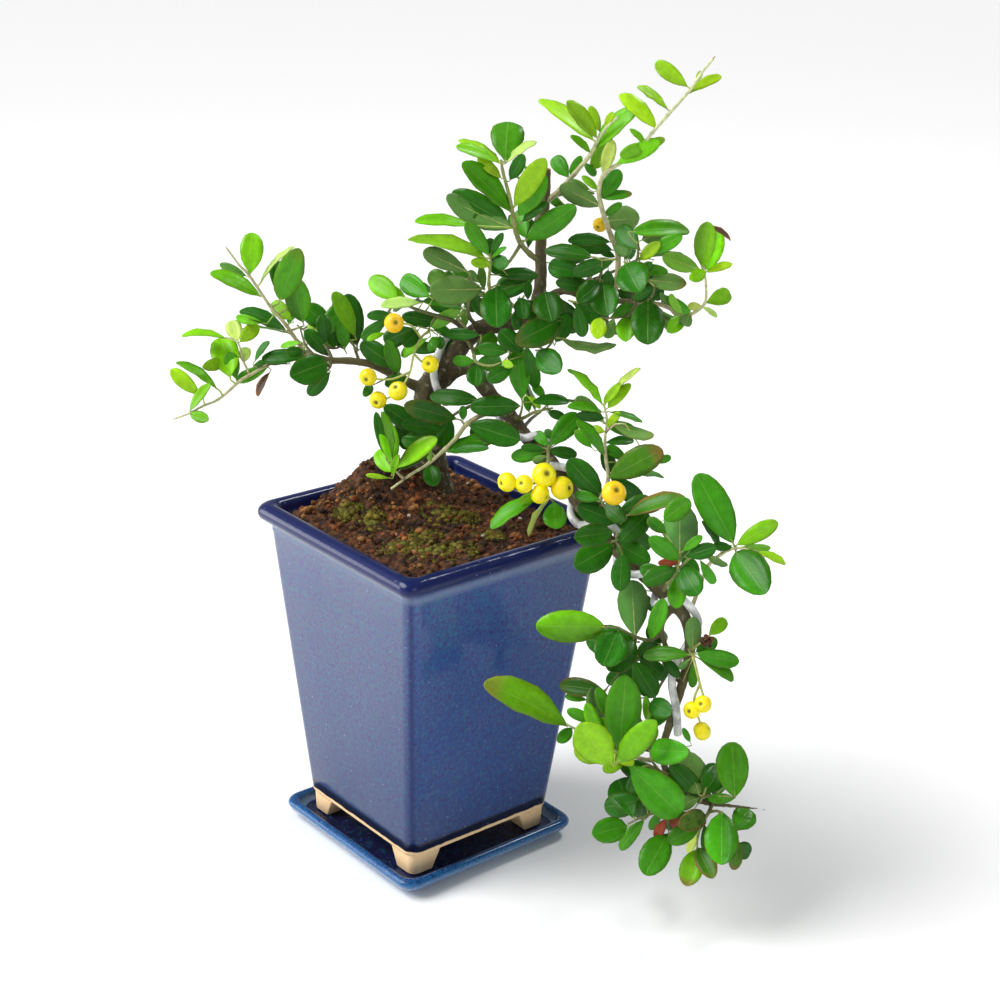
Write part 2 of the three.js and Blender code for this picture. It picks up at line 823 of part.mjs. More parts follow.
      [604, 418, 576, 415, 10, "D"],
      [610, 412, 642, 423, 6, "M"],
      [613, 424, 654, 436, 11, "G"],
      [605, 443, 634, 440, 9, "D"],
      [606, 428, 620, 412, 8, "Y"],
      [605, 432, 592, 428, 8, "Y"],
      [604, 455, 578, 421, 11, "M"],
      [608, 478, 663, 450, 27, "M"],
      [611, 474, 664, 477, 7, "M"],
      [600, 494, 568, 460, 24, "D"],
    ],
  },
  cascadeTop: {
    green: "dark",
    stems: [
      [1.7, [590, 516, 25], [598, 508, 32], [606, 500, 36]],
      [1.4, [602, 504, 34], [612, 513, 37], [627, 515, 40]],
    ],
    leaves: [
      [600, 500, 575, 494, 11, "M"],
      [601, 507, 578, 508, 11, "D"],
      [600, 512, 583, 517, 8, "G"],
      [606, 502, 624, 522, 16, "D"],
      [618, 514, 650, 498, 16, "D"],
      [628, 515, 685, 497, 15, "M"],
    ],
  },
  cascadeShoulder: {
    green: "dark",
    stems: [
      [1.8, [612, 545, 34], [613, 542, 41], [618, 540, 45]],
      [1.3, [616, 541, 43], [620, 548, 46], [623, 555, 47]],
      [1.1, [613, 542, 41], [619, 541, 40.5], [611, 547, 40]],
    ],
    leaves: [
      [613, 532, 575, 537, 22, "D"],
      [614, 545, 574, 567, 27, "M"],
      [618, 544, 648, 513, 22, "D"],
      [616, 543, 650, 562, 20, "D"],
      [622, 554, 620, 591, 19, "D"],
    ],
  },
  hangLeft: {
    green: "dark",
    stems: [
      [1.7, [661, 634, 51], [650, 640, 54], [636, 637, 57], [620, 629, 60], [607, 627, 61]],
      [1.2, [636, 637, 57], [632, 655, 55], [618, 674, 54], [606, 689, 54]],
    ],
    leaves: [
      [635, 637, 632, 580, 29, "G"],
      [650, 640, 664, 599, 16, "M"],
      [652, 641, 667, 634, 12, "D"],
      [605, 627, 536, 626, 31, "B"],
      [618, 631, 603, 665, 32, "D"],
      [634, 638, 608, 671, 28, "D"],
      [633, 660, 655, 697, 22, "D"],
      [604, 691, 560, 685, 18, "D"],
    ],
  },
  archRosette: {
    green: "middle",
    stems: [
      [1.9, [663, 593, 46], [668, 583, 55], [676, 572, 60], [680, 559, 61]],
      [1.2, [676, 572, 60], [690, 558, 61], [704, 553, 61]],
      [1.1, [680, 559, 61], [674, 546, 59], [666, 534, 57]],
    ],
    leaves: [
      [680, 557, 680, 503, 33, "G"],
      [679, 560, 650, 538, 17, "M"],
      [666, 533, 648, 518, 12, "D"],
      [683, 551, 702, 536, 9, "M"],
      [686, 556, 716, 547, 15, "D"],
      [680, 562, 658, 563, 8, "R"],
      [678, 568, 643, 583, 18, "D"],
      [682, 567, 698, 594, 25, "D"],
      [700, 560, 715, 584, 10, "M"],
      [678, 576, 676, 608, 18, "M"],
      [704, 553, 728, 565, 7, "G"],
    ],
  },
  rightRosette: {
    green: "bright",
    stems: [
      [1.9, [684, 618, 51], [692, 606, 42], [700, 586, 40], [708, 566, 43], [720, 555, 46],
        [735, 548, 49], [748, 550, 50], [758, 552, 51]],
    ],
    leaves: [
      [733, 543, 697, 474, 32, "M"],
      [737, 545, 778, 522, 17, "Y"],
      [742, 547, 770, 548, 9, "G"],
      [758, 552, 785, 564, 8, "Y"],
      [736, 552, 765, 593, 36, "M"],
      [733, 548, 713, 545, 9, "D"],
      [720, 550, 702, 521, 7, "D"],
    ],
  },
  wristRosette: {
    green: "middle",
    stems: [
      [1.7, [689, 647, 54], [691, 654, 60], [694, 656, 62]],
      [1.2, [690, 652, 58], [699, 644, 61], [709, 636, 62]],
    ],
    leaves: [
      [693, 652, 693, 617, 16, "G"],
      [690, 655, 643, 655, 15, "M"],
      [697, 654, 739, 662, 17, "M"],
      [698, 658, 734, 680, 11, "M"],
      [690, 659, 679, 669, 7, "G"],
      [709, 635, 726, 619, 13, "B"],
    ],
  },
  lowLeft: {
    green: "young",
    stems: [
      [2.0, [664, 752, 60], [650, 760, 63], [632, 756, 66], [614, 751, 68], [598, 744, 69],
        [577, 730, 70], [566, 724, 70]],
    ],
    leaves: [
      [613, 748, 590, 688, 16, "G"],
      [600, 742, 586, 703, 14, "M"],
      [567, 726, 486, 683, 28, "B"],
      [572, 728, 558, 742, 12, "D"],
      [607, 752, 577, 728, 36, "Y"],
      [612, 750, 600, 718, 20, "B"],
      [620, 750, 626, 677, 34, "M"],
      [616, 752, 657, 727, 24, "Y"],
      [614, 753, 634, 764, 12, "Y"],
      [625, 758, 603, 771, 14, "Y"],
    ],
  },
  lowMid: {
    green: "middle",
    stems: [
      [1.6, [669, 775, 60.5], [659, 771, 65], [647, 766, 69], [636, 770, 71]],
      [1.3, [659, 771, 65], [652, 760, 69], [649, 749, 70]],
      [1.2, [649, 749, 70], [646, 726, 69], [650, 704, 67]],
    ],
    leaves: [
      [650, 703, 672, 714, 20, "D"],
      [650, 750, 688, 752, 25, "M"],
      [636, 768, 680, 813, 30, "M"],
      [648, 765, 628, 792, 15, "D"],
    ],
  },
  endLeft: {
    green: "dark",
    stems: [
      [1.6, [676, 788, 61], [668, 800, 66], [655, 812, 69], [640, 818, 71], [628, 824, 72]],
      [1.2, [668, 800, 66], [665, 812, 68], [668, 822, 69], [669, 835, 69]],
    ],
    leaves: [
      [634, 818, 618, 779, 30, "D"],
      [627, 826, 592, 834, 24, "M"],
      [644, 820, 620, 850, 13, "M"],
      [668, 834, 645, 875, 28, "M"],
      [666, 818, 656, 838, 10, "R"],
      [660, 812, 650, 830, 9, "R"],
      [664, 808, 680, 828, 11, "R"],
    ],
  },
  endUp: {
    green: "middle",
    stems: [
      [1.5, [700, 801, 62], [703, 796, 67], [706, 788, 70]],
      [1.3, [703, 796, 67], [720, 796, 69], [736, 797, 69]],
    ],
    leaves: [
      [699, 794, 685, 753, 30, "G"],
      [703, 795, 722, 766, 26, "D"],
      [735, 798, 708, 799, 10, "D"],
      [735, 797, 732, 742, 31, "M"],
      [700, 797, 678, 806, 14, "G"],
    ],
  },
  endDown: {
    green: "middle",
    stems: [
      [1.7, [712, 804, 62], [709, 812, 66], [703, 822, 69], [698, 836, 70], [697, 850, 70]],
      [1.3, [709, 812, 66], [720, 812, 68], [732, 828, 68], [739, 842, 67]],
    ],
    leaves: [
      [706, 816, 678, 826, 20, "D"],
      [700, 826, 668, 842, 18, "D"],
      [722, 812, 722, 865, 32, "M"],
      [733, 831, 750, 809, 23, "M"],
      [704, 824, 712, 858, 14, "D"],
      [739, 842, 733, 870, 13, "M"],
      [696, 850, 686, 886, 22, "B"],
      [698, 848, 713, 878, 19, "D"],
      [698, 832, 688, 852, 8, "P"],
    ],
  },
};

// Shoots on the far side, which the picture doesn't show. Their leaves follow a rule: a golden-angle
// spiral along the stem, and only where the read leaves hide them from the eye.
const FAR_SHOOTS = {
  farArm: {
    leaves: 5,
    stems: [
      [1.5, [312, 354, -5], [306, 346, -16], [303, 338, -28], [300, 328, -36]],
      [1.2, [306, 346, -16], [294, 338, -23], [286, 326, -28]],
    ],
  },
  farArmRoot: {
    leaves: 5,
    stems: [
      [1.5, [360, 363, -10], [356, 352, -22], [352, 340, -32], [350, 330, -40]],
    ],
  },
  farLeft: {
    leaves: 6,
    stems: [
      [1.9, [472, 335, -15], [460, 322, -26], [450, 306, -34], [440, 296, -44]],
      [1.3, [450, 306, -34], [430, 302, -33], [414, 300, -33]],
    ],
  },
  farHeart: {
    leaves: 7,
    stems: [
      [2.0, [512, 324, -11], [514, 318, -24], [518, 306, -36], [524, 296, -48]],
      [1.4, [514, 318, -24], [500, 302, -34], [490, 290, -40]],
    ],
  },
  farCrown: {
    leaves: 6,
    stems: [
      [1.9, [541, 236, -10], [534, 226, -20], [528, 214, -30], [520, 204, -38]],
      [1.4, [534, 226, -20], [540, 208, -30], [548, 196, -37]],
    ],
  },
  farRight: {
    leaves: 7,
    stems: [
      [1.9, [576, 295, -1.5], [586, 282, -14], [596, 270, -26], [606, 260, -38]],
      [1.4, [586, 282, -14], [612, 272, -20], [632, 262, -26], [646, 256, -31]],
    ],
  },
  farRightLow: {
    leaves: 5,
    stems: [
      [1.5, [628, 301, 6], [634, 306, -6], [640, 310, -18], [645, 310, -28]],
    ],
  },
  farBend: {
    leaves: 4,
    stems: [
      [1.7, [522, 430, 1], [530, 420, -10], [540, 412, -20], [548, 404, -30]],
    ],
  },
  farShoulder: {
    leaves: 7,
    stems: [
      [1.8, [604, 536, 31], [612, 528, 20], [620, 520, 9], [626, 512, -1]],
      [1.4, [612, 528, 20], [600, 510, 12], [590, 500, 6]],
    ],
  },
  farArch: {
    leaves: 6,
    stems: [
      [1.7, [664, 594, 46], [664, 584, 35], [662, 574, 24], [660, 562, 14]],
      [1.3, [664, 584, 35], [676, 566, 27], [684, 552, 22]],
    ],
  },
  farHang: {
    leaves: 6,
    stems: [
      [1.6, [682, 684, 56], [668, 672, 46], [652, 660, 37], [638, 650, 30]],
      [1.3, [668, 672, 46], [658, 690, 40], [650, 708, 37]],
    ],
  },
  farLow: {
    leaves: 7,
    stems: [
      [1.7, [664, 758, 60], [656, 752, 50], [648, 744, 40], [640, 738, 31]],
      [1.3, [656, 752, 50], [626, 746, 46], [604, 738, 44]],
    ],
  },
  farEnd: {
    leaves: 6,
    stems: [
      [1.5, [704, 802, 62], [700, 796, 52], [694, 790, 43], [688, 784, 36]],
      [1.2, [700, 796, 52], [712, 800, 46], [722, 806, 43]],
    ],
  },
};
const FAR_RULE = { long: 15.5, wide: 6.6, tries: 110, golden: 137.508, lift: 0.5, spread: 0.82 };

// Berries: picture place of the middle, depth, width shown, and where the eye of the berry shows
const BUNCHES = {
  berriesLeft: {
    stalks: [
      [1.0, [429, 331, -3], [421, 338, 1], [414, 354, 4], [410, 372, 6], [403, 386, 7]],
      [0.9, [421, 338, 1], [412, 326, 4], [400, 323, 5]],
      [0.9, [410, 372, 6], [392, 379, 6], [374, 379, 6]],
      [0.9, [414, 354, 4], [421, 361, 4], [428, 364, 3]],
      [0.9, [403, 386, 7], [392, 396, 7], [382, 400, 6]],
    ],
    berries: [
      [394, 323, 6, 20, 397, 323],
      [430, 364, 3, 18, 428, 364],
      [368, 377, 6, 18, 366, 381],
      [398, 391, 8, 20, 395, 386],
      [378, 400, 6, 18, 376, 404],
    ],
  },
  berriesMid: {
    stalks: [
      [1.1, [547, 478, 24], [540, 482, 28], [526, 484, 31], [510, 483, 32]],
      [0.9, [540, 482, 28], [543, 477, 31]],
      [0.9, [540, 482, 28], [541, 491, 31]],
      [0.9, [540, 482, 28], [552, 487, 29], [560, 488, 31]],
    ],
    berries: [
      [507, 482, 32, 20, 499, 484],
      [524, 484, 33, 19, 520, 483],
      [544, 475, 31, 25, 548, 473],
      [540, 494, 33, 20, 549, 498],
      [562, 488, 31, 24, 572, 488],
    ],
  },
  berryCascade: {
    stalks: [[1.0, [606, 500, 36], [609, 497, 40], [613, 494, 44]]],
    berries: [[614, 493, 45, 25, 617, 489]],
  },
  berryCrown: {
    stalks: [[1.0, [604, 215, 1.4], [603, 220, -3], [600, 225, -5]]],
    berries: [[600, 225, -5, 15, 597, 229]],
  },
  berriesWrist: {
    stalks: [
      [1.1, [693, 656, 62], [696, 668, 66], [700, 684, 68], [704, 698, 69]],
      [0.9, [700, 684, 68], [694, 700, 69], [698, 716, 69], [702, 728, 69]],
    ],
    berries: [
      [692, 710, 69, 18, 687, 711],
      [703, 704, 70, 18, 699, 703],
      [702, 731, 69, 19, 703, 736],
    ],
  },
};

// The training wire is wound down the upper trunk, round the fork and along the cascade. Each row
// is a limb, a place along its rows and the turn round it in degrees: 0 is on the eye's side.
const WINDING = [
  ["trunk", 7.9, -130],
  ["trunk", 7.6, -95],
  ["trunk", 6.8, -40],
  ["trunk", 6.3, 0],
  ["trunk", 5.5, 50],
  ["trunk", 5.1, 110],
  ["trunk", 4.9, 170],
  ["cascade", 0.9, 180],
  ["cascade", 2.2, 200],
  ["cascade", 3.3, 170],
  ["cascade", 4.3, 90],
  ["cascade", 4.95, 0],
  ["cascade", 5.45, -180],
  ["cascade", 5.95, -360],
  ["cascade", 7.0, -630],
  ["cascade", 7.3, -660],
  ["cascade", 8.0, -900],
  ["cascade", 8.9, -1080],
  ["cascade", 9.5, -1290],
  ["cascade", 10.2, -1500],
  ["cascade", 11.1, -1540],
  ["cascade", 11.9, -1620],
  ["cascade", 12.6, -1710],
  ["cascade", 13.1, -1725],
  ["cascade", 13.6, -1800],
  ["cascade", 14.3, -1890],
];
const WIRE_STEP = 62;

// Leaf blades: a folded, bowed, tapering blade on a slim stalk sunk into its stem
const STATIONS = {
  long: [[0.13, 0.17], [0.44, 0.98], [0.81, 0.84]],
  short: [[0.32, 0.8], [0.74, 0.96]],
  thin: [[0.5, 1]],
};

function stationsFor(length, wide) {
  if (wide < LEAF.thin) {
    return STATIONS.thin;
  }
  return length > LEAF.long && wide > LEAF.slight ? STATIONS.long : STATIONS.short;
}

function bladeRings(leaf, grow) {
  const along = leaf.tip.clone().sub(leaf.base);
  const length = along.length();
  const across = along.clone().cross(leaf.face).normalize();
  const face = across.clone().cross(along).normalize();
  const creased = leaf.wide > LEAF.broad;
  const ringAt = (middle, half, lift, thick) => {
    const rise = creased ? lift : 0;
    const left = middle.clone().addScaledVector(across, half).addScaledVector(face, rise);
    const right = middle.clone().addScaledVector(across, -half).addScaledVector(face, rise);
    if (!creased) {
      return [left, right, middle.clone().addScaledVector(face, -LEAF.under - grow)];
    }
    const crease = middle.clone().addScaledVector(face, thick);
    return [left, crease, right, middle.clone().addScaledVector(face, -thick)];
  };
  const start = leaf.base.clone().addScaledVector(along, 0.13).sub(leaf.root).normalize();
  const rings = [[leaf.root.clone().addScaledVector(start, -0.15 - grow)]];
  (leaf.plain ? STATIONS.short : stationsFor(length, leaf.wide)).forEach(([share, width]) => {
    const bow = LEAF.bow * length * 4 * share * (1 - share);
    const middle = leaf.base.clone().addScaledVector(along, share).addScaledVector(face, bow);
    const half = (leaf.wide * width) / 2;
    const lift = half * 2 * LEAF.fold;
    rings.push(ringAt(middle, Math.max(half, 0.5) + grow, lift, LEAF.thick / 2 + grow));
  });
  rings.push([leaf.tip.clone().addScaledVector(along, grow / length)]);
  return rings;
}

// A leaf that turns back over its own stalk gets the stalk as a limb of its own
function blade(leaf, grow = 0) {
  const rings = bladeRings(leaf, grow);
  const along = leaf.tip.clone().sub(leaf.base);
  const first = rings[1][0].clone().lerp(rings[1][rings[1].length > 3 ? 2 : 1], 0.5);
  if (first.sub(leaf.root).dot(along) > 0) {
    return skin(rings);
  }
  const share = rings.length > 3 ? 0.36 : 0.55;
  const face = leaf.face.clone().addScaledVector(along, -leaf.face.dot(along) / along.lengthSq()).normalize();
  const inside = leaf.base.clone().addScaledVector(along, share);
  inside.addScaledVector(face, LEAF.bow * along.length() * 4 * share * (1 - share));
  const stalk = limb([[leaf.root, LEAF.under], [inside, LEAF.under / 2]], 3, grow);
  return joined([stalk, skin(rings.slice(1))]);
}

function bladeEnd(leaf, grow = 0) {
  return skin(bladeRings(leaf, grow).slice(1));
}

// Leaves spring no nearer to a stem's last place than this share of its last stretch
const STEM_END = 0.93;

function nearestOnStems(stems, column, row) {
  let best = null;
  stems.forEach(([, ...spots]) => {
    for (let i = 0; i < spots.length - 1; i++) {
      const [x0, y0, z0] = spots[i];
      const [x1, y1, z1] = spots[i + 1];
      const reach = (x1 - x0) ** 2 + (y1 - y0) ** 2 + 1e-9;
      const raw = ((column - x0) * (x1 - x0) + (row - y0) * (y1 - y0)) / reach;
      const t = Math.min(STEM_END, Math.max(0, raw));
      const spot = [x0 + (x1 - x0) * t, y0 + (y1 - y0) * t, z0 + (z1 - z0) * t];
      const gap = Math.hypot(spot[0] - column, spot[1] - row);
      if (!best || gap < best.gap) {
        best = { spot, gap, root: place(spots[i]).lerp(place(spots[i + 1]), t) };
      }
    }
  });
  return best;
}

// A read leaf keeps its length and width as shown; its real ones follow from the leaf's usual
// proportions, so a stubby one points towards or away from the eye and a thin one is seen edge on
const SHAPE = { stubby: 2.1, slim: 2.9, most: 1.4, scatter: 0.8 };
const BENDS = [
  [0, 0], [3, 0], [-3, 0], [0, 22], [0, -22], [6, 0], [-6, 0], [4, 25], [-4, -25], [9, 0], [-9, 0],
  [0, 45], [0, -45], [8, 30], [-8, -30], [12, 0], [-12, 0], [12, 30], [-12, -30], [16, 0], [-16, 0],
  [5, 65], [-5, -65], [16, 40], [-16, -40], [20, 0], [-20, 0], [24, 20], [-24, -20], [10, 85],
  [-10, -85], [28, 40], [-28, -40],
];

function readLeaf(stems, row, draw) {
  const [column0, row0, column1, row1, wide, age, given] = row;
  const { spot, root } = nearestOnStems(stems, column0, row0);
  const base = place([column0, row0, spot[2]]);
  const scale = base.clone().sub(eye.at).dot(eye.back) / -EYE.focal;
  const long = Math.hypot(column1 - column0, row1 - row0) * scale;
  const shown = wide * scale;
  const full = Math.min(Math.max(SHAPE.stubby * shown, long), SHAPE.most * long);
  const wander = (draw() - 0.5) * SHAPE.scatter * long;
  let gain = Math.sqrt(full * full - long * long) * (row1 < row0 ? -1 : 1);
  gain = Math.abs(gain) < Math.abs(wander) ? wander : gain;
  const real = Math.max(shown, long / SHAPE.slim);
  const turn = THREE.MathUtils.radToDeg(Math.acos(Math.min(1, shown / real)));
  const lean = given === undefined ? gain : given;
  return { root, base, end: [column1, row1], depth: spot[2] + lean, wide: real, turn, age };
}

function bentLeaf(read, [extra, roll]) {
  const tip = place([...read.end, read.depth + extra]);
  const along = tip.clone().sub(read.base).normalize();
  const seen = eye.at.clone().sub(read.base).normalize();
  const flat = seen.addScaledVector(along, -seen.dot(along)).normalize();
  const side = along.clone().cross(flat);
  const up = side.z < 0 ? -1 : 1;
  const angle = rad(read.turn + roll);
  const face = flat.multiplyScalar(Math.cos(angle)).addScaledVector(side, up * Math.sin(angle));
  if (read.age === "G") {
    face.negate();
  }
  return { root: read.root, base: read.base, tip, wide: read.wide, face };
}

// A piece with its box, for quick tests of what it would cross
function boxed(solid, owner) {
  const { min, max } = solid.boundingBox();
  return { solid, owner, min, max };
}

function crosses(piece, other) {
  for (let k = 0; k < 3; k++) {
    if (piece.min[k] > other.max[k] || piece.max[k] < other.min[k]) {
      return false;
    }
  }
  return !piece.solid.intersect(other.solid).isEmpty();
}

function stemPath([thick, ...spots]) {
  const last = spots.length - 1;
  return spots.map((spot, i) => [place(spot), (thick / 2) * (1 - 0.55 * (i / last))]);
}

function stemSolid(stems, grow) {
  return joined(stems.map((stem) => limb(stemPath(stem), stem[0] > 2 ? 4 : 3, grow)));
}

// Wire: its places are worked out along the limb's axis, then pushed clear of all the wood
function limbAt(name, at) {
  const path = woodPath(name);
  const i = Math.min(path.length - 2, Math.floor(at));
  const [p0, r0] = path[i];
  const [p1, r1] = path[i + 1];
  const t = at - i;
  const along = p1.clone().sub(p0).normalize();
  return { spot: p0.clone().lerp(p1, t), along, radius: r0 + (r1 - r0) * t };
}

function windingPoint(name, at, turn) {
  const { spot, along, radius } = limbAt(name, at);
  const front = eye.towards.clone().addScaledVector(along, -eye.towards.dot(along)).normalize();
  const side = along.clone().cross(front);
  const reach = radius * 1.1 + WIRE.diameter / 2 + CLEAR * 2;
  const point = spot.addScaledVector(front, reach * Math.cos(rad(turn)));
  return point.addScaledVector(side, reach * Math.sin(rad(turn)));
}

function windingPoints() {
  const points = [];
  for (let i = 0; i < WINDING.length - 1; i++) {
    const [name0, at0, turn0] = WINDING[i];
    const [name1, at1, turn1] = WINDING[i + 1];
    const steps = Math.max(1, Math.round(Math.abs(turn1 - turn0) / WIRE_STEP));
    for (let k = 0; k < steps; k++) {
      const t = k / steps;
      const point = name0 === name1
        ? windingPoint(name0, at0 + (at1 - at0) * t, turn0 + (turn1 - turn0) * t)
        : windingPoint(name0, at0, turn0).lerp(windingPoint(name1, at1, turn1), t);
      points.push(point);
    }
  }
  points.push(windingPoint(...WINDING[WINDING.length - 1]));
  return points;
}

function pushedClear(point) {
  Object.keys(WOOD).forEach((name) => {
    const path = woodPath(name);
    for (let i = 0; i < path.length - 1; i++) {
      const [p0, r0] = path[i];
      const [p1, r1] = path[i + 1];
      const span = p1.clone().sub(p0);
      const raw = point.clone().sub(p0).dot(span) / span.lengthSq();
      const t = Math.min(1, Math.max(0, raw));
      const out = point.clone().sub(p0.clone().addScaledVector(span, t));
      const least = (r0 + (r1 - r0) * t) * 1.1 + WIRE.diameter / 2 + CLEAR * 2;
      if (out.length() < least) {
        point.addScaledVector(out.normalize(), least - point.distanceTo(p0.clone().addScaledVector(span, t)));
      }
    }
  });
  return point;
}

function trainingWire() {
  let points = windingPoints();
  for (let pass = 0; pass < 3; pass++) {
    points = points.map(pushedClear);
  }
  const path = new THREE.CatmullRomCurve3(points);
  const section = new THREE.Shape();
  const sides = 5;
  for (let k = 0; k <= sides; k++) {
    const angle = (k / sides) * Math.PI * 2;
    const x = (WIRE.diameter / 2) * Math.cos(angle);
    const y = (WIRE.diameter / 2) * Math.sin(angle);
    k === 0 ? section.moveTo(x, y) : section.lineTo(x, y);
  }
  const steps = points.length - 1;
  const options = { steps, extrudePath: path, bevelEnabled: false, curveSegments: 1 };
  return solidOf(new THREE.ExtrudeGeometry(section, options));
}

// Berries: slightly flat balls with a sunk eye, on thin stalks, fused as one bunch
function berry([column, row, depth, width, eyeColumn, eyeRow]) {
  const middle = place([column, row, depth]);
  const scale = middle.clone().sub(eye.at).dot(eye.back) / -EYE.focal;
  const radius = (width * scale) / 2;
  const aside = (eyeColumn - column) * scale;
  const above = (row - eyeRow) * scale;
  const front = Math.sqrt(Math.max(0.1 * radius * radius, radius * radius - aside ** 2 - above ** 2));
  const axis = eye.right.clone().multiplyScalar(aside).addScaledVector(eye.up, above);
  axis.addScaledVector(eye.back, front).normalize();
  const across = axis.clone().cross(vec(0.3, 0.2, 1)).normalize();
  const other = axis.clone().cross(across);
  const stretch = [[-0.6, 0.78], [0.1, 1], [0.8, 0.62]];
  const rings = [[middle.clone().addScaledVector(axis, -radius * BERRY.flat)]];
  stretch.forEach(([along, out]) => {
    const ring = [];
    for (let k = 0; k < BERRY.sides; k++) {
      const angle = (k / BERRY.sides) * Math.PI * 2;
      const p = middle.clone().addScaledVector(axis, along * radius * BERRY.flat);
      p.addScaledVector(across, out * radius * Math.cos(angle));
      ring.push(p.addScaledVector(other, out * radius * Math.sin(angle)));
    }
    rings.push(ring);
  });
  rings.push([middle.clone().addScaledVector(axis, radius * (BERRY.flat - BERRY.eye))]);
  return skin(rings);
}

function bunch({ stalks, berries }) {
  const stalkSolids = stalks.map((stalk) => limb(stemPath([stalk[0] * 1.1, ...stalk.slice(1)]), 3));
  return joined([...stalkSolids, ...berries.map(berry)]);
}

// Everything on the plant is placed in turn, and each leaf takes the first of its bends in which it
// crosses nothing that stands already
const placed = [];

// What a leaf costs that crosses another piece, dips into the saucer or cuts a leaf of its own shoot
const COST = { other: 4, own: 1 };

function clashCost(leaf, owner) {
  const whole = boxed(blade(leaf, CLEAR), owner);
  const end = boxed(bladeEnd(leaf, 0.1), owner);
  let cost = whole.min[2] < SAUCER.height ? COST.other : 0;
  for (const other of placed) {
    if (other.owner !== owner && crosses(whole, other)) {
      return cost + COST.other;
    }
    if (other.owner === owner && other.isLeaf && crosses(end, other)) {
      cost = Math.max(cost, COST.own);
    }
  }
  return cost;
}

function bestBend(candidates, owner) {
  let best = null;
  for (const leaf of candidates) {
    const cost = clashCost(leaf, owner);
    if (!best || cost < best.cost) {
      best = { leaf, cost };
    }
    if (cost === 0) {
      break;
    }
  }
  return best.leaf;
}

const shownLeaves = Object.values(SHOOTS).flatMap(({ leaves }) => leaves);

function dressShoot(name, { stems, leaves }) {
  const draw = draws(101 + name.length * 7 + leaves.length);
  return leaves.map((row) => {
    const read = readLeaf(stems, row, draw);
    const leaf = bestBend(BENDS.map((bend) => bentLeaf(read, bend)), name);
    return placeLeaf(leaf, name);
  });
}

function placeLeaf(leaf, name) {
  const solid = blade(leaf);
  placed.push({ ...boxed(bladeEnd(leaf), name), isLeaf: true });
  placed.push(boxed(solid, name));
  return solid;
}

function hiddenFromEye(leaf) {
  const rings = bladeRings(leaf, 0).slice(1);
  return rings.flat().every((p) => {
    const [column, row] = picture(p);
    return shownLeaves.some(([c0, r0, c1, r1, wide]) => {
      const long = Math.hypot(c1 - c0, r1 - r0);
      const u = ((column - c0) * (c1 - c0) + (row - r0) * (r1 - r0)) / long;
      const v = ((column - c0) * (r1 - r0) - (row - r0) * (c1 - c0)) / long;
      const a = (u - long / 2) / (long / 2);
      const b = v / (wide / 2);
      return a * a + b * b < 1.1;
    });
  });
}

// The far leaf's stalk springs from a place along a stem, and its blade leans out, up and along
function farLeaf(stems, tryIndex) {
  const stem = stems[tryIndex % stems.length];
  const spots = stem.slice(1).map(place);
  const share = (0.28 + 0.72 * (((tryIndex * 0.381966) % 1))) * (spots.length - 1);
  const i = Math.min(spots.length - 2, Math.floor(share));
  const root = spots[i].clone().lerp(spots[i + 1], share - i);
  const along = spots[i + 1].clone().sub(spots[i]).normalize();
  const turn = rad(tryIndex * FAR_RULE.golden);
  const flat = along.clone().cross(vec(0, 0, 1)).normalize();
  const rise = flat.clone().cross(along);
  const out = flat.multiplyScalar(Math.cos(turn)).addScaledVector(rise, Math.sin(turn));
  const lean = out.multiplyScalar(FAR_RULE.spread).addScaledVector(along, 0.45);
  lean.add(vec(0, 0, FAR_RULE.lift * 0.5)).normalize();
  const size = 0.8 + 0.4 * (((tryIndex * 0.7548777) % 1));
  const base = root.clone().addScaledVector(lean, 2);
  const tip = base.clone().addScaledVector(lean, FAR_RULE.long * size);
  const face = vec(0, 0, 1).addScaledVector(along, 0.6).addScaledVector(lean, -lean.z).normalize();
  return { root, base, tip, wide: FAR_RULE.wide * size, face, plain: true };
}

function dressFarShoot(name, { stems, leaves }) {
  const blades = [];
  for (let k = 1; k <= FAR_RULE.tries && blades.length < leaves; k++) {
    const leaf = farLeaf(stems, k);
    if (hiddenFromEye(leaf) && clashCost(leaf, name) === 0) {
      blades.push(placeLeaf(leaf, name));
    }
  }
  return blades;
}

const woodSolid = wood(0);
const woodGrown = wood(CLEAR);
const potSolid = pot();
const saucerSolid = saucer();
const screenSolid = drainScreen();
const soilSolid = soil(woodGrown);
const wireSolid = mainBody(trainingWire().subtract(woodGrown));
const stemsOf = {};
const stemsGrown = {};
const allShoots = { ...SHOOTS, ...FAR_SHOOTS };
Object.entries(allShoots).forEach(([name, { stems }]) => {
  stemsOf[name] = mainBody(stemSolid(stems, 0).subtract(woodGrown));
  stemsGrown[name] = stemSolid(stems, CLEAR);
});
[["pot", potSolid], ["saucer", saucerSolid], ["soil", soilSolid], ["wood", woodSolid]]
  .forEach(([name, solid]) => placed.push(boxed(solid, name)));
placed.push(boxed(wireSolid, "wire"));
const bunchSolids = {};
const stemsAndWood = joined([woodGrown, ...Object.values(stemsGrown)]);
Object.entries(BUNCHES).forEach(([name, spec]) => {
  bunchSolids[name] = mainBody(bunch(spec).subtract(stemsAndWood));
  placed.push(boxed(bunchSolids[name], name));
});
Object.entries(stemsOf).forEach(([name, solid]) => placed.push(boxed(solid, name)));
const shootSolids = {};
Object.entries(SHOOTS).forEach(([name, shoot]) => {
  shootSolids[name] = joined([stemsOf[name], ...dressShoot(name, shoot)]);
});
Object.entries(FAR_SHOOTS).forEach(([name, shoot]) => {
  shootSolids[name] = joined([stemsOf[name], ...dressFarShoot(name, shoot)]);
});

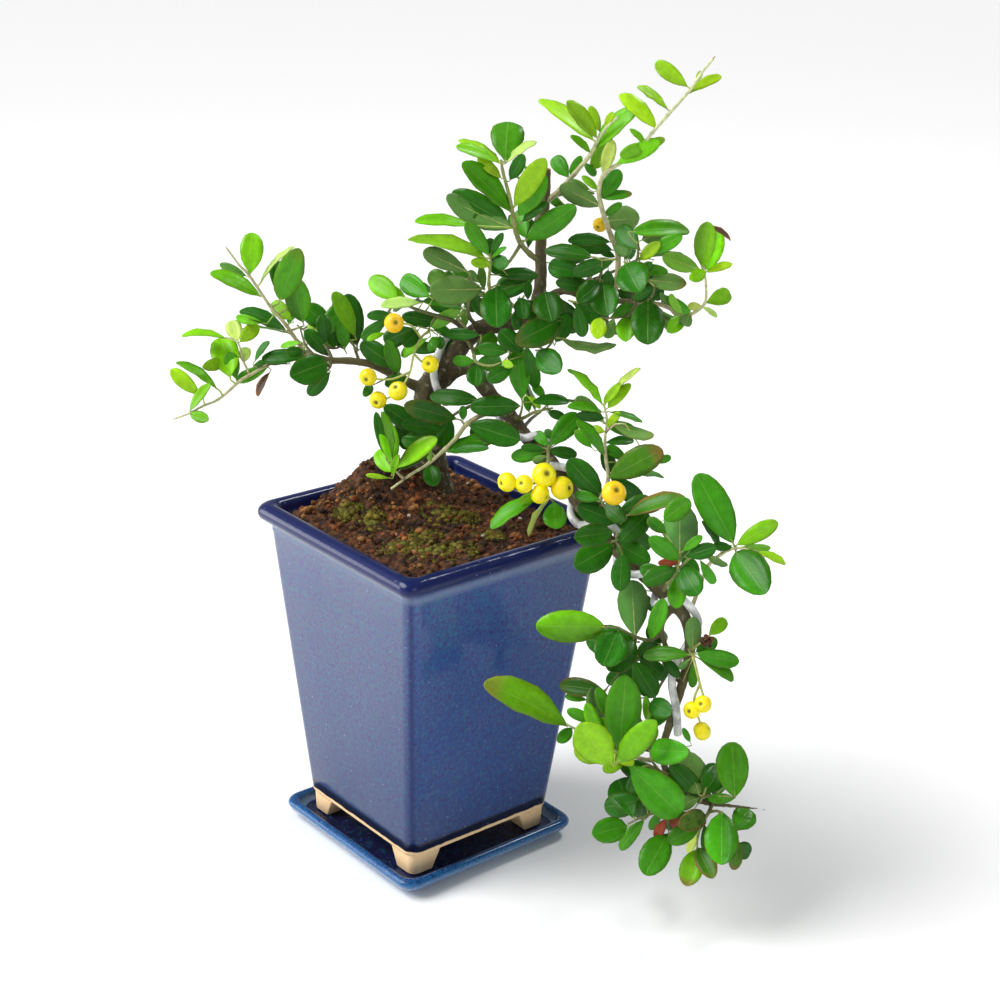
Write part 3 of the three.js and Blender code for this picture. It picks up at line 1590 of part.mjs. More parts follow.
// Finishes: colour, roughness and metalness of each piece
const FINISH = {
  glaze: [0x34478a, 0.25, 0],
  mesh: [0x2b2b2b, 0.7, 0],
  soil: [0x4a2f1f, 0.95, 0],
  bark: [0x5a4a3a, 0.85, 0],
  wire: [0xc9ccd2, 0.35, 0.9],
  berry: [0xf7c516, 0.35, 0],
  bright: [0x4fae1f, 0.5, 0],
  young: [0x7ec226, 0.5, 0],
  middle: [0x2f8a1d, 0.5, 0],
  dark: [0x1f5a1a, 0.5, 0],
  grey: [0x5f8a5c, 0.6, 0],
};

function meshOf(name, solid, finish) {
  const { vertProperties, triVerts } = solid.getMesh();
  const geometry = new THREE.BufferGeometry();
  geometry.setAttribute("position", new THREE.BufferAttribute(vertProperties, 3));
  geometry.setIndex(new THREE.BufferAttribute(triVerts, 1));
  geometry.computeVertexNormals();
  const [color, roughness, metalness] = FINISH[finish];
  const mesh = new THREE.Mesh(geometry, new THREE.MeshStandardMaterial({ color, roughness, metalness }));
  mesh.name = name;
  return mesh;
}

const bonsai = new THREE.Group();
bonsai.add(meshOf("saucer", saucerSolid, "glaze"));
bonsai.add(meshOf("pot", potSolid, "glaze"));
bonsai.add(meshOf("drain_screen", screenSolid, "mesh"));
bonsai.add(meshOf("soil", soilSolid, "soil"));
bonsai.add(meshOf("wood", woodSolid, "bark"));
bonsai.add(meshOf("training_wire", wireSolid, "wire"));
Object.entries(bunchSolids).forEach(([name, solid]) => bonsai.add(meshOf(name, solid, "berry")));
Object.entries(SHOOTS).forEach(([name, { green }]) => {
  bonsai.add(meshOf(name, shootSolids[name], green));
});
Object.keys(FAR_SHOOTS).forEach((name) => bonsai.add(meshOf(name, shootSolids[name], "dark")));

export default bonsai;
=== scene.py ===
import math
import random
from functools import partial

import bpy
import bmesh
import numpy as np
from bpy.props import FloatProperty, FloatVectorProperty, IntProperty, PointerProperty
from mathutils import Matrix, Vector, kdtree, noise


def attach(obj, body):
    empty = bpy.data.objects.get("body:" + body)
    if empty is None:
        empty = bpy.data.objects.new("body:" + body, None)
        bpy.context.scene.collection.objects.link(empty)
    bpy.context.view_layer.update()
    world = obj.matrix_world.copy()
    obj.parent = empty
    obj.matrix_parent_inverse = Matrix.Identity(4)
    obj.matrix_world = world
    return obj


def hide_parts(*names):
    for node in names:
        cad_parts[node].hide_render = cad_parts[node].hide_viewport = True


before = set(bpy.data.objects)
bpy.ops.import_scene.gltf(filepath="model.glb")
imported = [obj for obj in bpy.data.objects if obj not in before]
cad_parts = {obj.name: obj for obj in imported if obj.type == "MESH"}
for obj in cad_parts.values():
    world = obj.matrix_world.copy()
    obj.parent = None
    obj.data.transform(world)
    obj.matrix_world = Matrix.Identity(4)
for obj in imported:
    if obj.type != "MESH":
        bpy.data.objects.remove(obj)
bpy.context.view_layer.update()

bl_info = {
    "name": "Firethorn bonsai in a cascade pot",
    "version": (1, 0, 0),
    "blender": (4, 5, 0),
    "location": "View3D > Sidebar > Bonsai",
    "description": "Builds the leaves, wood, berries, soil, pot and saucer of a wired firethorn",
    "category": "Object",
}

MM = 0.001
# Space in mm between pieces that stand or lie in each other
CLEAR = 0.3

# Sizes in mm that the solids share with this file
SAUCER = {"floor": 4, "foot_half": 37, "rim_half": 42.8, "rim_width": 3.4, "corner": 6}
POT = {
    "foot_height": 9, "foot_long": 15, "foot_short": 10, "foot_deep": 9, "bottom_half": 35.3,
    "lip_joint": 46.2, "rim_half": 50.4, "rim_top": 138, "lip_height": 11, "wall": 5.4, "floor": 5,
    "corner": 5.5, "drain_hole": 13,
}
SOIL = {
    "edge": 133.4, "mound": 17.5, "mound_x": -30, "mound_y": -2, "mound_reach": 19, "lump": 0.9,
    "steep": 24,
}
FEET_Z = SAUCER["floor"] + CLEAR
WALL_Z = SAUCER["floor"] + POT["foot_height"]
FLOOR_Z = WALL_Z + POT["floor"]
LIP_Z = POT["rim_top"] - POT["lip_height"]
SAUCER_LIP_Z = 3.2
# A height below everything, for glaze that covers all the clay, and how strong the painted sheen on the
# pot's near side is
ALL_COVERED = -9
POT_SHEEN = 0.68
WIRE_RADIUS = 1.5
# A berry's height to its width
BERRY_FLAT = 0.92
# A leaf's fold and bow as shares of its width and length, and the lengths and widths in mm at which
# its solid gets other corners
LEAF = {"fold": 0.13, "bow": 0.07, "long": 12.5, "slight": 4.2, "broad": 12, "thin": 2.4}

# The eye that the plant was read from: degrees, pixels and mm
EYE = {
    "yaw": 49.73, "pitch": 21.47, "roll": 1.85, "focal": 1950.18, "centre": 500, "distance": 751.3,
    "aim_side": 25.45, "aim_height": 143.2,
}

# The wood: picture column and row, depth in mm and thickness in mm
WOOD = {
    "trunk": [
        [441, 560, -26, 9], [438, 500, -26, 14], [435, 478, -25, 12.6], [431, 452, -23, 11.4],
        [428, 425, -21, 10.8], [427, 400, -20, 10.6], [433, 382, -19, 10], [448, 364, -18, 8.4],
        [464, 342, -16, 7.2], [484, 327, -14, 6.6], [510, 324, -11, 6.2], [531, 312, -9, 5.6],
        [540, 288, -8, 4.8], [541, 240, -10, 4.1], [545, 202, -12, 3.9], [547, 168, -12, 3.1]],
    "cascade": [
        [436, 384, -19, 8], [455, 369, -17, 7.2], [470, 368, -14, 6.4], [484, 387, -11, 5.8],
        [505, 410, -5, 5.6], [530, 441, 5, 5.4], [556, 468, 14, 5.2], [580, 506, 22, 5],
        [612, 545, 34, 4.8], [645, 577, 43, 4.7], [670, 600, 48, 4.9], [686, 620, 52, 4.4],
        [690, 647, 54, 4.1], [683, 682, 56, 3.6], [670, 722, 58, 3.1], [663, 756, 60, 2.7],
        [674, 787, 61, 2.4], [702, 802, 62, 2], [733, 806, 61, 1.4], [768, 810, 60, 0.6]],
    "stub": [
        [674, 606, 49, 3], [663, 620, 50, 2.7], [661, 634, 51, 2.6], [667, 648, 52, 1.8]],
    "arm": [
        [424, 390, -19, 4.4], [392, 374, -14, 3.5], [370, 364, -11, 3.1], [350, 361, -9, 2.9],
        [328, 360, -7, 2.7], [303, 352, -4, 2.4]],
    "right": [
        [536, 304, -9, 3.4], [563, 291, -4, 2.9], [590, 299, 1, 2.6], [612, 301, 4, 2.3],
        [640, 301, 7, 1.9]],
    "rightLow": [
        [585, 300, 1, 2.2], [600, 313, 3, 2], [617, 335, 5, 1.3]],
}

# Leafy shoots: which green they have, then stems as thickness and picture places with their depths,
# then leaves as picture places of base and tip, width shown, tone and, for some, how far they lean
SHOOTS = {
    "armTop": ("bright", [
        [1.7, [304, 352, -4], [297, 341, -5], [286, 325, -2], [270, 306, 1], [249, 275, 3], [240, 266, 4],
         [228, 250, 5]]], [
        [250, 274, 252, 233, 22, "B"], [260, 296, 211, 272, 14, "B"], [259, 285, 294, 247, 4, "P"],
        [280, 300, 299, 250, 26, "M"], [303, 322, 292, 275, 24, "M"], [292, 320, 272, 303, 15, "Y"],
        [286, 331, 240, 309, 14, "D"]]),
    "armTip": ("bright", [
        [1.7, [311, 354, -4.6], [298, 359, 1], [280, 359, 3], [250, 375, 5], [240, 381, 7],
         [219, 399, 10], [203, 406, 12], [190, 413, 13], [177, 418, 14]],
        [1.0, [250, 375, 5], [243, 360, 2], [238, 343, 0], [226, 338, -1]]], [
        [238, 341, 232, 321, 16, "P"], [240, 342, 258, 325, 14, "Y"], [225, 338, 182, 335, 6, "B"],
        [230, 377, 222, 337, 27, "B"], [222, 362, 203, 367, 12, "Y"], [217, 389, 177, 361, 9, "B"],
        [200, 395, 171, 369, 14, "Y"], [190, 411, 210, 384, 9, "B"], [190, 414, 209, 420, 11, "B"],
        [243, 362, 247, 347, 11, "P"], [255, 361, 269, 341, 6, "D"], [288, 364, 253, 366, 6, "D"],
        [268, 367, 236, 381, 12, "M"], [270, 372, 257, 396, 4, "R"]]),
    "armNode": ("dark", [
        [1.5, [331, 361, -7], [330, 367, 0], [327, 371, 3]],
        [1.2, [330, 367, 0], [320, 358, 4], [304, 350, 5]]], [
        [300, 343, 281, 347, 6, "B"], [305, 355, 262, 359, 14, "D"], [303, 351, 285, 352, 10, "D"],
        [328, 362, 291, 376, 28, "D"], [330, 372, 308, 395, 14, "D"]]),
    "armBack": ("dark", [
        [1.5, [333, 361, -7], [326, 347, -12], [312, 336, -16], [297, 325, -20]],
        [1.2, [326, 347, -12], [337, 348, -15], [350, 340, -17]]], [
        [318, 338, 347, 302, 20, "M"], [355, 337, 333, 292, 16, "B"], [334, 348, 332, 325, 15, "D"],
        [320, 332, 308, 324, 9, "Y"], [330, 348, 319, 339, 9, "B"], [326, 342, 322, 314, 14, "D"],
        [345, 348, 341, 318, 13, "M"]]),
    "innerLeft": ("dark", [
        [2.0, [466, 334, -15], [455, 322, -9], [437, 316, -6], [418, 310, -4], [398, 303, -3],
         [388, 312, -1]],
        [1.1, [437, 316, -6], [428, 330, -3]]], [
        [398, 298, 370, 279, 20, "B"], [430, 297, 402, 278, 20, "M"], [420, 303, 381, 306, 11, "P"],
        [462, 309, 424, 300, 9, "M"], [463, 307, 431, 327, 13, "H"], [392, 315, 367, 316, 10, "D"],
        [388, 318, 361, 339, 12, "D"], [385, 333, 367, 340, 6, "B"], [418, 330, 403, 346, 14, "D"],
        [428, 338, 401, 356, 10, "B"], [437, 337, 430, 350, 10, "M"], [440, 336, 441, 349, 9, "D"]]),
    "armRoot": ("dark", [
        [1.4, [392, 374, -14], [397, 372, -6], [404, 376, -3]],
        [1.1, [396, 373, -8], [385, 379, -6], [373, 385, -5]]], [
        [398, 368, 361, 343, 20, "D"], [398, 375, 388, 340, 15, "M"], [405, 377, 385, 385, 12, "D"],
        [372, 385, 364, 396, 9, "D"]]),
    "lowFront": ("bright", [
        [2.2, [503, 408, -5], [484, 414, 1], [467, 424, 6], [457, 437, 10], [445, 449, 13],
         [428, 464, 17], [410, 475, 20], [391, 489, 22]],
        [1.3, [404, 479, 21], [394, 470, 24]]], [
        [394, 466, 385, 420, 18, "B"], [393, 472, 378, 450, 18, "B"], [397, 468, 436, 438, 16, "B"],
        [400, 470, 428, 452, 10, "D"], [430, 465, 435, 486, 17, "D"], [445, 452, 494, 438, 14, "M"],
        [450, 452, 489, 449, 10, "D"], [430, 463, 429, 447, 6, "H"], [463, 420, 463, 406, 8, "D"],
        [457, 419, 405, 405, 20, "D"], [468, 424, 520, 440, 24, "D"], [392, 460, 380, 412, 7, "B"]]),
    "trunkFoot": ("dark", [
        [1.8, [503, 407, -5], [486, 402, -2], [462, 410, -2], [440, 425, -3], [428, 437, -4]],
        [1.4, [490, 403, -3], [506, 402, 3], [520, 406, 5]]], [
        [478, 400, 430, 396, 16, "D"], [428, 436, 384, 406, 20, "D"], [520, 406, 470, 407, 20, "D"],
        [442, 428, 402, 424, 16, "D"], [436, 432, 404, 442, 15, "D"], [448, 420, 424, 446, 13, "D"]]),
    "midRosette": ("middle", [
        [1.9, [466, 338, -16], [473, 350, -6], [476, 362, 0], [490, 366, 3], [503, 362, 5]],
        [1.1, [473, 350, -6], [480, 344, -3], [481, 336, -2]]], [
        [480, 335, 446, 334, 12, "D"], [475, 355, 496, 335, 16, "M"], [475, 362, 453, 360, 11, "M"],
        [476, 363, 501, 362, 18, "M"], [502, 362, 513, 366, 8, "Y"], [477, 364, 476, 386, 18, "D"],
        [512, 368, 487, 380, 15, "D"]]),
    "midTwig": ("middle", [
        [1.9, [505, 411, -5], [519, 419, 1], [535, 412, 3], [553, 408, 4]],
        [1.2, [519, 419, 1], [522, 408, 5], [522, 399, 6]]], [
        [522, 400, 517, 345, 22, "M"], [532, 402, 569, 401, 11, "D"], [545, 397, 533, 385, 9, "M"],
        [527, 396, 541, 408, 6, "Y"], [548, 412, 565, 417, 9, "D"]]),
    "crownHeart": ("dark", [
        [1.9, [536, 308, -9], [545, 320, -1], [553, 338, 5], [545, 351, 8]],
        [1.3, [543, 317, -2.5], [545, 304, 1], [545, 293, 3]],
        [1.2, [541, 314, -4], [528, 308, 1], [517, 302, 2]]], [
        [560, 320, 517, 342, 28, "D"], [537, 352, 560, 372, 24, "D"], [545, 292, 552, 321, 28, "D"],
        [520, 298, 524, 318, 16, "D"], [515, 310, 518, 330, 10, "D"], [560, 338, 616, 347, 9, "G"]]),
    "crownLeftLow": ("grey", [
        [1.9, [480, 329, -14], [469, 316, -9], [469, 300, -6], [474, 286, -4], [470, 276, -2]]], [
        [470, 288, 455, 267, 14, "M"], [468, 272, 423, 251, 18, "G"], [480, 283, 468, 271, 8, "G"],
        [482, 289, 430, 290, 28, "G"]]),
    "crownLeftMid": ("middle", [
        [1.9, [500, 325, -12], [493, 303, -3], [489, 285, 1], [490, 268, 4], [491, 257, 6]]], [
        [485, 258, 408, 240, 14, "Y"], [489, 255, 466, 222, 15, "M"], [491, 253, 503, 233, 8, "D"],
        [492, 257, 506, 247, 5, "M"], [492, 264, 471, 262, 10, "Y"], [493, 262, 509, 264, 14, "D"],
        [498, 275, 538, 276, 12, "D"], [500, 285, 527, 281, 8, "D"], [496, 287, 497, 327, 30, "D"]]),
    "crownLeftTop": ("middle", [
        [2.4, [541, 262, -9], [530, 254, -5], [521, 244, 0], [516, 232, 2], [513, 215, 3], [509, 195, 4],
         [503, 172, 5], [501, 160, 6]],
        [1.5, [521, 244, 0], [509, 262, 4], [500, 268, 5]]], [
        [505, 161, 508, 122, 32, "M"], [506, 163, 536, 141, 7, "P"], [500, 163, 459, 139, 8, "Y"],
        [497, 162, 456, 147, 10, "B"], [501, 178, 478, 158, 10, "Y"], [511, 212, 462, 163, 20, "M"],
        [512, 228, 446, 197, 23, "G"], [510, 229, 415, 221, 10, "B"], [514, 207, 545, 159, 20, "Y"],
        [510, 180, 523, 155, 13, "D"], [518, 216, 545, 175, 20, "M"], [526, 240, 576, 206, 22, "M"],
        [526, 238, 516, 212, 18, "M"], [522, 222, 548, 203, 10, "D"], [509, 261, 491, 256, 6, "G"]]),
    "crownTop": ("young", [
        [2.3, [545, 203, -12], [560, 190, -9], [575, 173, -5], [590, 155, -1], [597, 142, 1],
         [606, 128, 3], [618, 117, 5]]], [
        [593, 140, 539, 100, 15, "Y"], [597, 138, 568, 101, 15, "Y"], [596, 148, 638, 107, 16, "B"],
        [605, 126, 613, 112, 7, "Y"], [590, 152, 570, 136, 7, "B"], [569, 178, 553, 157, 15, "M"],
        [571, 177, 581, 156, 10, "M"], [584, 163, 596, 176, 8, "M"]]),
    "whip": ("young", [
        [2.3, [612, 301, 4], [617, 280, 2], [618, 252, 0], [612, 238, 0], [606, 222, 1], [601, 205, 2],
         [599, 190, 3], [604, 174, 4], [620, 163, 5], [640, 148, 6], [652, 133, 7], [668, 115, 8],
         [690, 90, 9], [700, 75, 10], [712, 60, 11]]], [
        [688, 87, 656, 62, 15, "Y"], [690, 93, 721, 76, 9, "Y"], [697, 82, 701, 71, 6, "P"],
        [668, 110, 638, 86, 8, "Y"], [656, 128, 620, 94, 15, "Y"], [645, 143, 630, 129, 6, "B"],
        [645, 145, 620, 156, 13, "B"], [643, 148, 665, 139, 9, "Y"], [603, 174, 613, 140, 13, "P"],
        [600, 206, 560, 186, 18, "G"], [598, 190, 582, 176, 7, "B"], [600, 198, 620, 170, 16, "M"],
        [602, 198, 632, 194, 9, "M"], [606, 221, 640, 218, 26, "G"], [610, 242, 568, 241, 12, "D"],
        [612, 243, 629, 254, 12, "G"]]),
    "crownRightTop": ("dark", [
        [1.7, [634, 301, 6], [634, 285, 9], [634, 268, 12], [638, 255, 14], [637, 243, 15]]], [
        [632, 232, 690, 230, 17, "M"], [642, 240, 668, 230, 18, "G"], [640, 250, 618, 228, 20, "D"],
        [650, 252, 682, 236, 14, "M"], [640, 260, 660, 242, 12, "Y"], [652, 262, 642, 272, 10, "D"],
        [625, 264, 640, 291, 32, "D"], [636, 268, 668, 272, 11, "M"]]),
    "crownRightIn": ("dark", [
        [1.6, [578, 295, -2], [590, 287, 5], [601, 274, 8], [602, 259, 10]],
        [1.2, [590, 287, 5], [584, 296, 8], [578, 303, 9]]], [
        [614, 260, 573, 274, 16, "D"], [592, 257, 545, 251, 15, "D"], [603, 283, 608, 315, 28, "D"],
        [600, 282, 578, 302, 20, "D"], [577, 303, 583, 337, 14, "D"], [585, 288, 556, 282, 12, "D"]]),
    "crownRightTip": ("bright", [
        [1.8, [638, 301, 7], [665, 306, 9], [683, 317, 11], [695, 312, 12], [705, 303, 13],
         [706, 285, 14], [704, 268, 15]]], [
        [700, 270, 663, 256, 17, "H"], [702, 267, 708, 221, 20, "B"], [705, 270, 718, 230, 23, "B"],
        [708, 226, 731, 240, 5, "R"], [706, 272, 732, 264, 8, "Y"], [706, 272, 690, 279, 12, "B"],
        [706, 303, 731, 293, 16, "B"], [703, 307, 688, 306, 8, "P"], [703, 307, 717, 317, 5, "P"],
        [690, 313, 684, 326, 12, "G"], [683, 318, 667, 332, 15, "B"], [683, 316, 670, 294, 8, "H"],
        [668, 306, 660, 292, 6, "G"]]),
    "crownRightLow": ("dark", [
        [1.6, [630, 301, 6], [642, 304, 11], [652, 296, 14], [655, 286, 15]],
        [1.2, [637, 303, 9], [628, 315, 12], [614, 318, 11], [600, 318, 10]]], [
        [648, 300, 648, 343, 32, "D"], [650, 280, 686, 284, 17, "G"], [640, 303, 658, 293, 10, "D"],
        [626, 317, 626, 341, 18, "B"], [600, 318, 597, 339, 16, "Y"], [614, 318, 606, 338, 12, "G"]]),
    "bendRosette": ("middle", [
        [1.7, [530, 441, 5], [540, 447, 11], [549, 449, 14]],
        [1.4, [548, 449, 13], [548, 462, 23], [547, 478, 24], [547, 492, 25], [553, 502, 26]]], [
        [549, 446, 579, 414, 20, "M"], [548, 446, 535, 432, 11, "M"], [549, 450, 577, 455, 12, "D"],
        [543, 452, 511, 457, 14, "M"], [545, 450, 521, 447, 8, "D"], [548, 456, 533, 462, 8, "G"],
        [540, 496, 490, 527, 14, "M"], [541, 493, 518, 503, 10, "B"], [548, 500, 529, 536, 5, "P"],
        [554, 502, 556, 529, 22, "M"]]),
    "upright": ("bright", [
        [1.8, [592, 520, 26], [600, 500, 24], [608, 480, 22], [606, 460, 21], [605, 440, 20],
         [607, 420, 20], [604, 405, 20]],
        [1.0, [606, 432, 20], [616, 424, 23], [626, 424, 24]]], [
        [602, 404, 569, 368, 9, "B"], [604, 403, 620, 383, 9, "Y"], [608, 408, 631, 384, 11, "Y"],
        [610, 398, 641, 369, 5, "P"], [605, 423, 576, 397, 14, "G"], [602, 412, 568, 406, 8, "M"],
        [604, 418, 576, 415, 10, "D"], [610, 412, 642, 423, 6, "M"], [613, 424, 654, 436, 11, "G"],
        [605, 443, 634, 440, 9, "D"], [606, 428, 620, 412, 8, "Y"], [605, 432, 592, 428, 8, "Y"],
        [604, 455, 578, 421, 11, "M"], [608, 478, 663, 450, 27, "M"], [611, 474, 664, 477, 7, "M"],
        [600, 494, 568, 460, 24, "D"]]),
    "cascadeTop": ("dark", [
        [1.7, [590, 516, 25], [598, 508, 32], [606, 500, 36]],
        [1.4, [602, 504, 34], [612, 513, 37], [627, 515, 40]]], [
        [600, 500, 575, 494, 11, "M"], [601, 507, 578, 508, 11, "D"], [600, 512, 583, 517, 8, "G"],
        [606, 502, 624, 522, 16, "D"], [618, 514, 650, 498, 16, "D"], [628, 515, 685, 497, 15, "M"]]),
    "cascadeShoulder": ("dark", [
        [1.8, [612, 545, 34], [613, 542, 41], [618, 540, 45]],
        [1.3, [616, 541, 43], [620, 548, 46], [623, 555, 47]],
        [1.1, [613, 542, 41], [619, 541, 40.5], [611, 547, 40]]], [
        [613, 532, 575, 537, 22, "D"], [614, 545, 574, 567, 27, "D"], [618, 544, 648, 513, 22, "D"],
        [616, 543, 650, 562, 20, "D"], [622, 554, 620, 591, 19, "D"]]),
    "hangLeft": ("dark", [
        [1.7, [661, 634, 51], [650, 640, 54], [636, 637, 57], [620, 629, 60], [607, 627, 61]],
        [1.2, [636, 637, 57], [632, 655, 55], [618, 674, 54], [606, 689, 54]]], [
        [635, 637, 632, 580, 29, "K"], [650, 640, 664, 599, 16, "M"], [652, 641, 667, 634, 12, "D"],
        [605, 627, 536, 626, 31, "B"], [618, 631, 603, 665, 32, "D"], [634, 638, 608, 671, 28, "D"],
        [633, 660, 655, 697, 22, "D"], [604, 691, 560, 685, 18, "D"]]),
    "archRosette": ("middle", [
        [1.9, [663, 593, 46], [668, 583, 55], [676, 572, 60], [680, 559, 61]],
        [1.2, [676, 572, 60], [690, 558, 61], [704, 553, 61]],
        [1.1, [680, 559, 61], [674, 546, 59], [666, 534, 57]]], [
        [680, 557, 680, 503, 33, "K"], [679, 560, 650, 538, 17, "M"], [666, 533, 648, 518, 12, "D"],
        [683, 551, 702, 536, 9, "M"], [686, 556, 716, 547, 15, "D"], [680, 562, 658, 563, 8, "R"],
        [678, 568, 643, 583, 18, "D"], [682, 567, 698, 594, 25, "D"], [700, 560, 715, 584, 10, "M"],
        [678, 576, 676, 608, 18, "M"], [704, 553, 728, 565, 7, "G"]]),
    "rightRosette": ("bright", [
        [1.9, [684, 618, 51], [692, 606, 42], [700, 586, 40], [708, 566, 43], [720, 555, 46],
         [735, 548, 49], [748, 550, 50], [758, 552, 51]]], [
        [733, 543, 697, 474, 32, "M"], [737, 545, 778, 522, 17, "B"], [742, 547, 770, 548, 9, "H"],
        [758, 552, 785, 564, 8, "Y"], [736, 552, 765, 593, 36, "M"], [733, 548, 713, 545, 9, "D"],
        [720, 550, 702, 521, 7, "D"]]),
    "wristRosette": ("middle", [
        [1.7, [689, 647, 54], [691, 654, 60], [694, 656, 62]],
        [1.2, [690, 652, 58], [699, 644, 61], [709, 636, 62]]], [
        [693, 652, 693, 617, 16, "G"], [690, 655, 643, 655, 15, "M"], [697, 654, 739, 662, 17, "M"],
        [698, 658, 734, 680, 11, "M"], [690, 659, 679, 669, 7, "K"], [709, 635, 726, 619, 13, "B"]]),
    "lowLeft": ("young", [
        [2.0, [664, 752, 60], [650, 760, 63], [632, 756, 66], [614, 751, 68], [598, 744, 69],
         [577, 730, 70], [566, 724, 70]]], [
        [613, 748, 590, 688, 16, "G"], [600, 742, 586, 703, 14, "B"], [567, 726, 486, 683, 28, "B"],
        [572, 728, 558, 742, 12, "M"], [607, 752, 577, 728, 36, "Y"], [612, 750, 600, 718, 20, "B"],
        [620, 750, 626, 677, 34, "M"], [616, 752, 657, 727, 24, "B"], [614, 753, 634, 764, 12, "Y"],
        [625, 758, 603, 771, 14, "Y"]]),
    "lowMid": ("middle", [
        [1.6, [669, 775, 60.5], [659, 771, 65], [647, 766, 69], [636, 770, 71]],
        [1.3, [659, 771, 65], [652, 760, 69], [649, 749, 70]],
        [1.2, [649, 749, 70], [646, 726, 69], [650, 704, 67]]], [
        [650, 703, 672, 714, 20, "D"], [650, 750, 688, 752, 25, "M"], [636, 768, 680, 813, 30, "M"],
        [648, 765, 628, 792, 15, "D"]]),
    "endLeft": ("dark", [
        [1.6, [676, 788, 61], [668, 800, 66], [655, 812, 69], [640, 818, 71], [628, 824, 72]],
        [1.2, [668, 800, 66], [665, 812, 68], [668, 822, 69], [669, 835, 69]]], [
        [634, 818, 618, 779, 30, "D"], [627, 826, 592, 834, 24, "M"], [644, 820, 620, 850, 13, "M"],
        [668, 834, 645, 875, 28, "M"], [666, 818, 656, 838, 10, "R"], [660, 812, 650, 830, 9, "M"],
        [664, 808, 680, 828, 11, "R"]]),
    "endUp": ("middle", [
        [1.5, [700, 801, 62], [703, 796, 67], [706, 788, 70]],
        [1.3, [703, 796, 67], [720, 796, 69], [736, 797, 69]]], [
        [699, 794, 685, 753, 30, "G"], [703, 795, 722, 766, 26, "D"], [735, 798, 708, 799, 10, "M"],
        [735, 797, 732, 742, 31, "M"], [700, 797, 678, 806, 14, "G"]]),
    "endDown": ("middle", [
        [1.7, [712, 804, 62], [709, 812, 66], [703, 822, 69], [698, 836, 70], [697, 850, 70]],
        [1.3, [709, 812, 66], [720, 812, 68], [732, 828, 68], [739, 842, 67]]], [
        [706, 816, 678, 826, 20, "D"], [700, 826, 668, 842, 18, "M"], [722, 812, 722, 865, 32, "M"],
        [733, 831, 750, 809, 23, "M"], [704, 824, 712, 858, 14, "D"], [739, 842, 733, 870, 13, "M"],
        [696, 850, 686, 886, 22, "B"], [698, 848, 713, 878, 19, "M"], [698, 832, 688, 852, 8, "P"]]),
}
# Every stem that shows, whichever shoot it is on
SHOWN_STEMS = [stem for _, stems, _ in SHOOTS.values() for stem in stems]

# Shoots on the side away from the eye: stems alone, because a rule places their leaves
FAR_SHOOTS = {
    "farArm": [
        [1.5, [312, 354, -5], [306, 346, -16], [303, 338, -28], [300, 328, -36]],
        [1.2, [306, 346, -16], [294, 338, -23], [286, 326, -28]]],
    "farArmRoot": [
        [1.5, [360, 363, -10], [356, 352, -22], [352, 340, -32], [350, 330, -40]]],
    "farLeft": [
        [1.9, [472, 335, -15], [460, 322, -26], [450, 306, -34], [440, 296, -44]],
        [1.3, [450, 306, -34], [430, 302, -33], [414, 300, -33]]],
    "farHeart": [
        [2.0, [512, 324, -11], [514, 318, -24], [518, 306, -36], [524, 296, -48]],
        [1.4, [514, 318, -24], [500, 302, -34], [490, 290, -40]]],
    "farCrown": [
        [1.9, [541, 236, -10], [534, 226, -20], [528, 214, -30], [520, 204, -38]],
        [1.4, [534, 226, -20], [540, 208, -30], [548, 196, -37]]],
    "farRight": [
        [1.9, [576, 295, -1.5], [586, 282, -14], [596, 270, -26], [606, 260, -38]],
        [1.4, [586, 282, -14], [612, 272, -20], [632, 262, -26], [646, 256, -31]]],
    "farRightLow": [
        [1.5, [628, 301, 6], [634, 306, -6], [640, 310, -18], [645, 310, -28]]],
    "farBend": [
        [1.7, [522, 430, 1], [530, 420, -10], [540, 412, -20], [548, 404, -30]]],
    "farShoulder": [
        [1.8, [604, 536, 31], [612, 528, 20], [620, 520, 9], [626, 512, -1]],
        [1.4, [612, 528, 20], [600, 510, 12], [590, 500, 6]]],
    "farArch": [
        [1.7, [664, 594, 46], [664, 584, 35], [662, 574, 24], [660, 562, 14]],
        [1.3, [664, 584, 35], [676, 566, 27], [684, 552, 22]]],
    "farHang": [
        [1.6, [682, 684, 56], [668, 672, 46], [652, 660, 37], [638, 650, 30]],
        [1.3, [668, 672, 46], [658, 690, 40], [650, 708, 37]]],
    "farLow": [
        [1.7, [664, 758, 60], [656, 752, 50], [648, 744, 40], [640, 738, 31]],
        [1.3, [656, 752, 50], [626, 746, 46], [604, 738, 44]]],
    "farEnd": [
        [1.5, [704, 802, 62], [700, 796, 52], [694, 790, 43], [688, 784, 36]],
        [1.2, [700, 796, 52], [712, 800, 46], [722, 806, 43]]],
}

# The rule for their leaves: mm, degrees, and shares of a stem or of a leaf's size
FAR_RULE = {
    "long": 15.5, "wide": 6.6, "stalk": 2, "tries": 110, "golden": 137.508, "lift": 0.25,
    "spread": 0.82, "forward": 0.45, "facing": 0.6, "first": 0.28, "way_step": 0.381966,
    "least_size": 0.8, "more_size": 0.4, "size_step": 0.7548777,
}

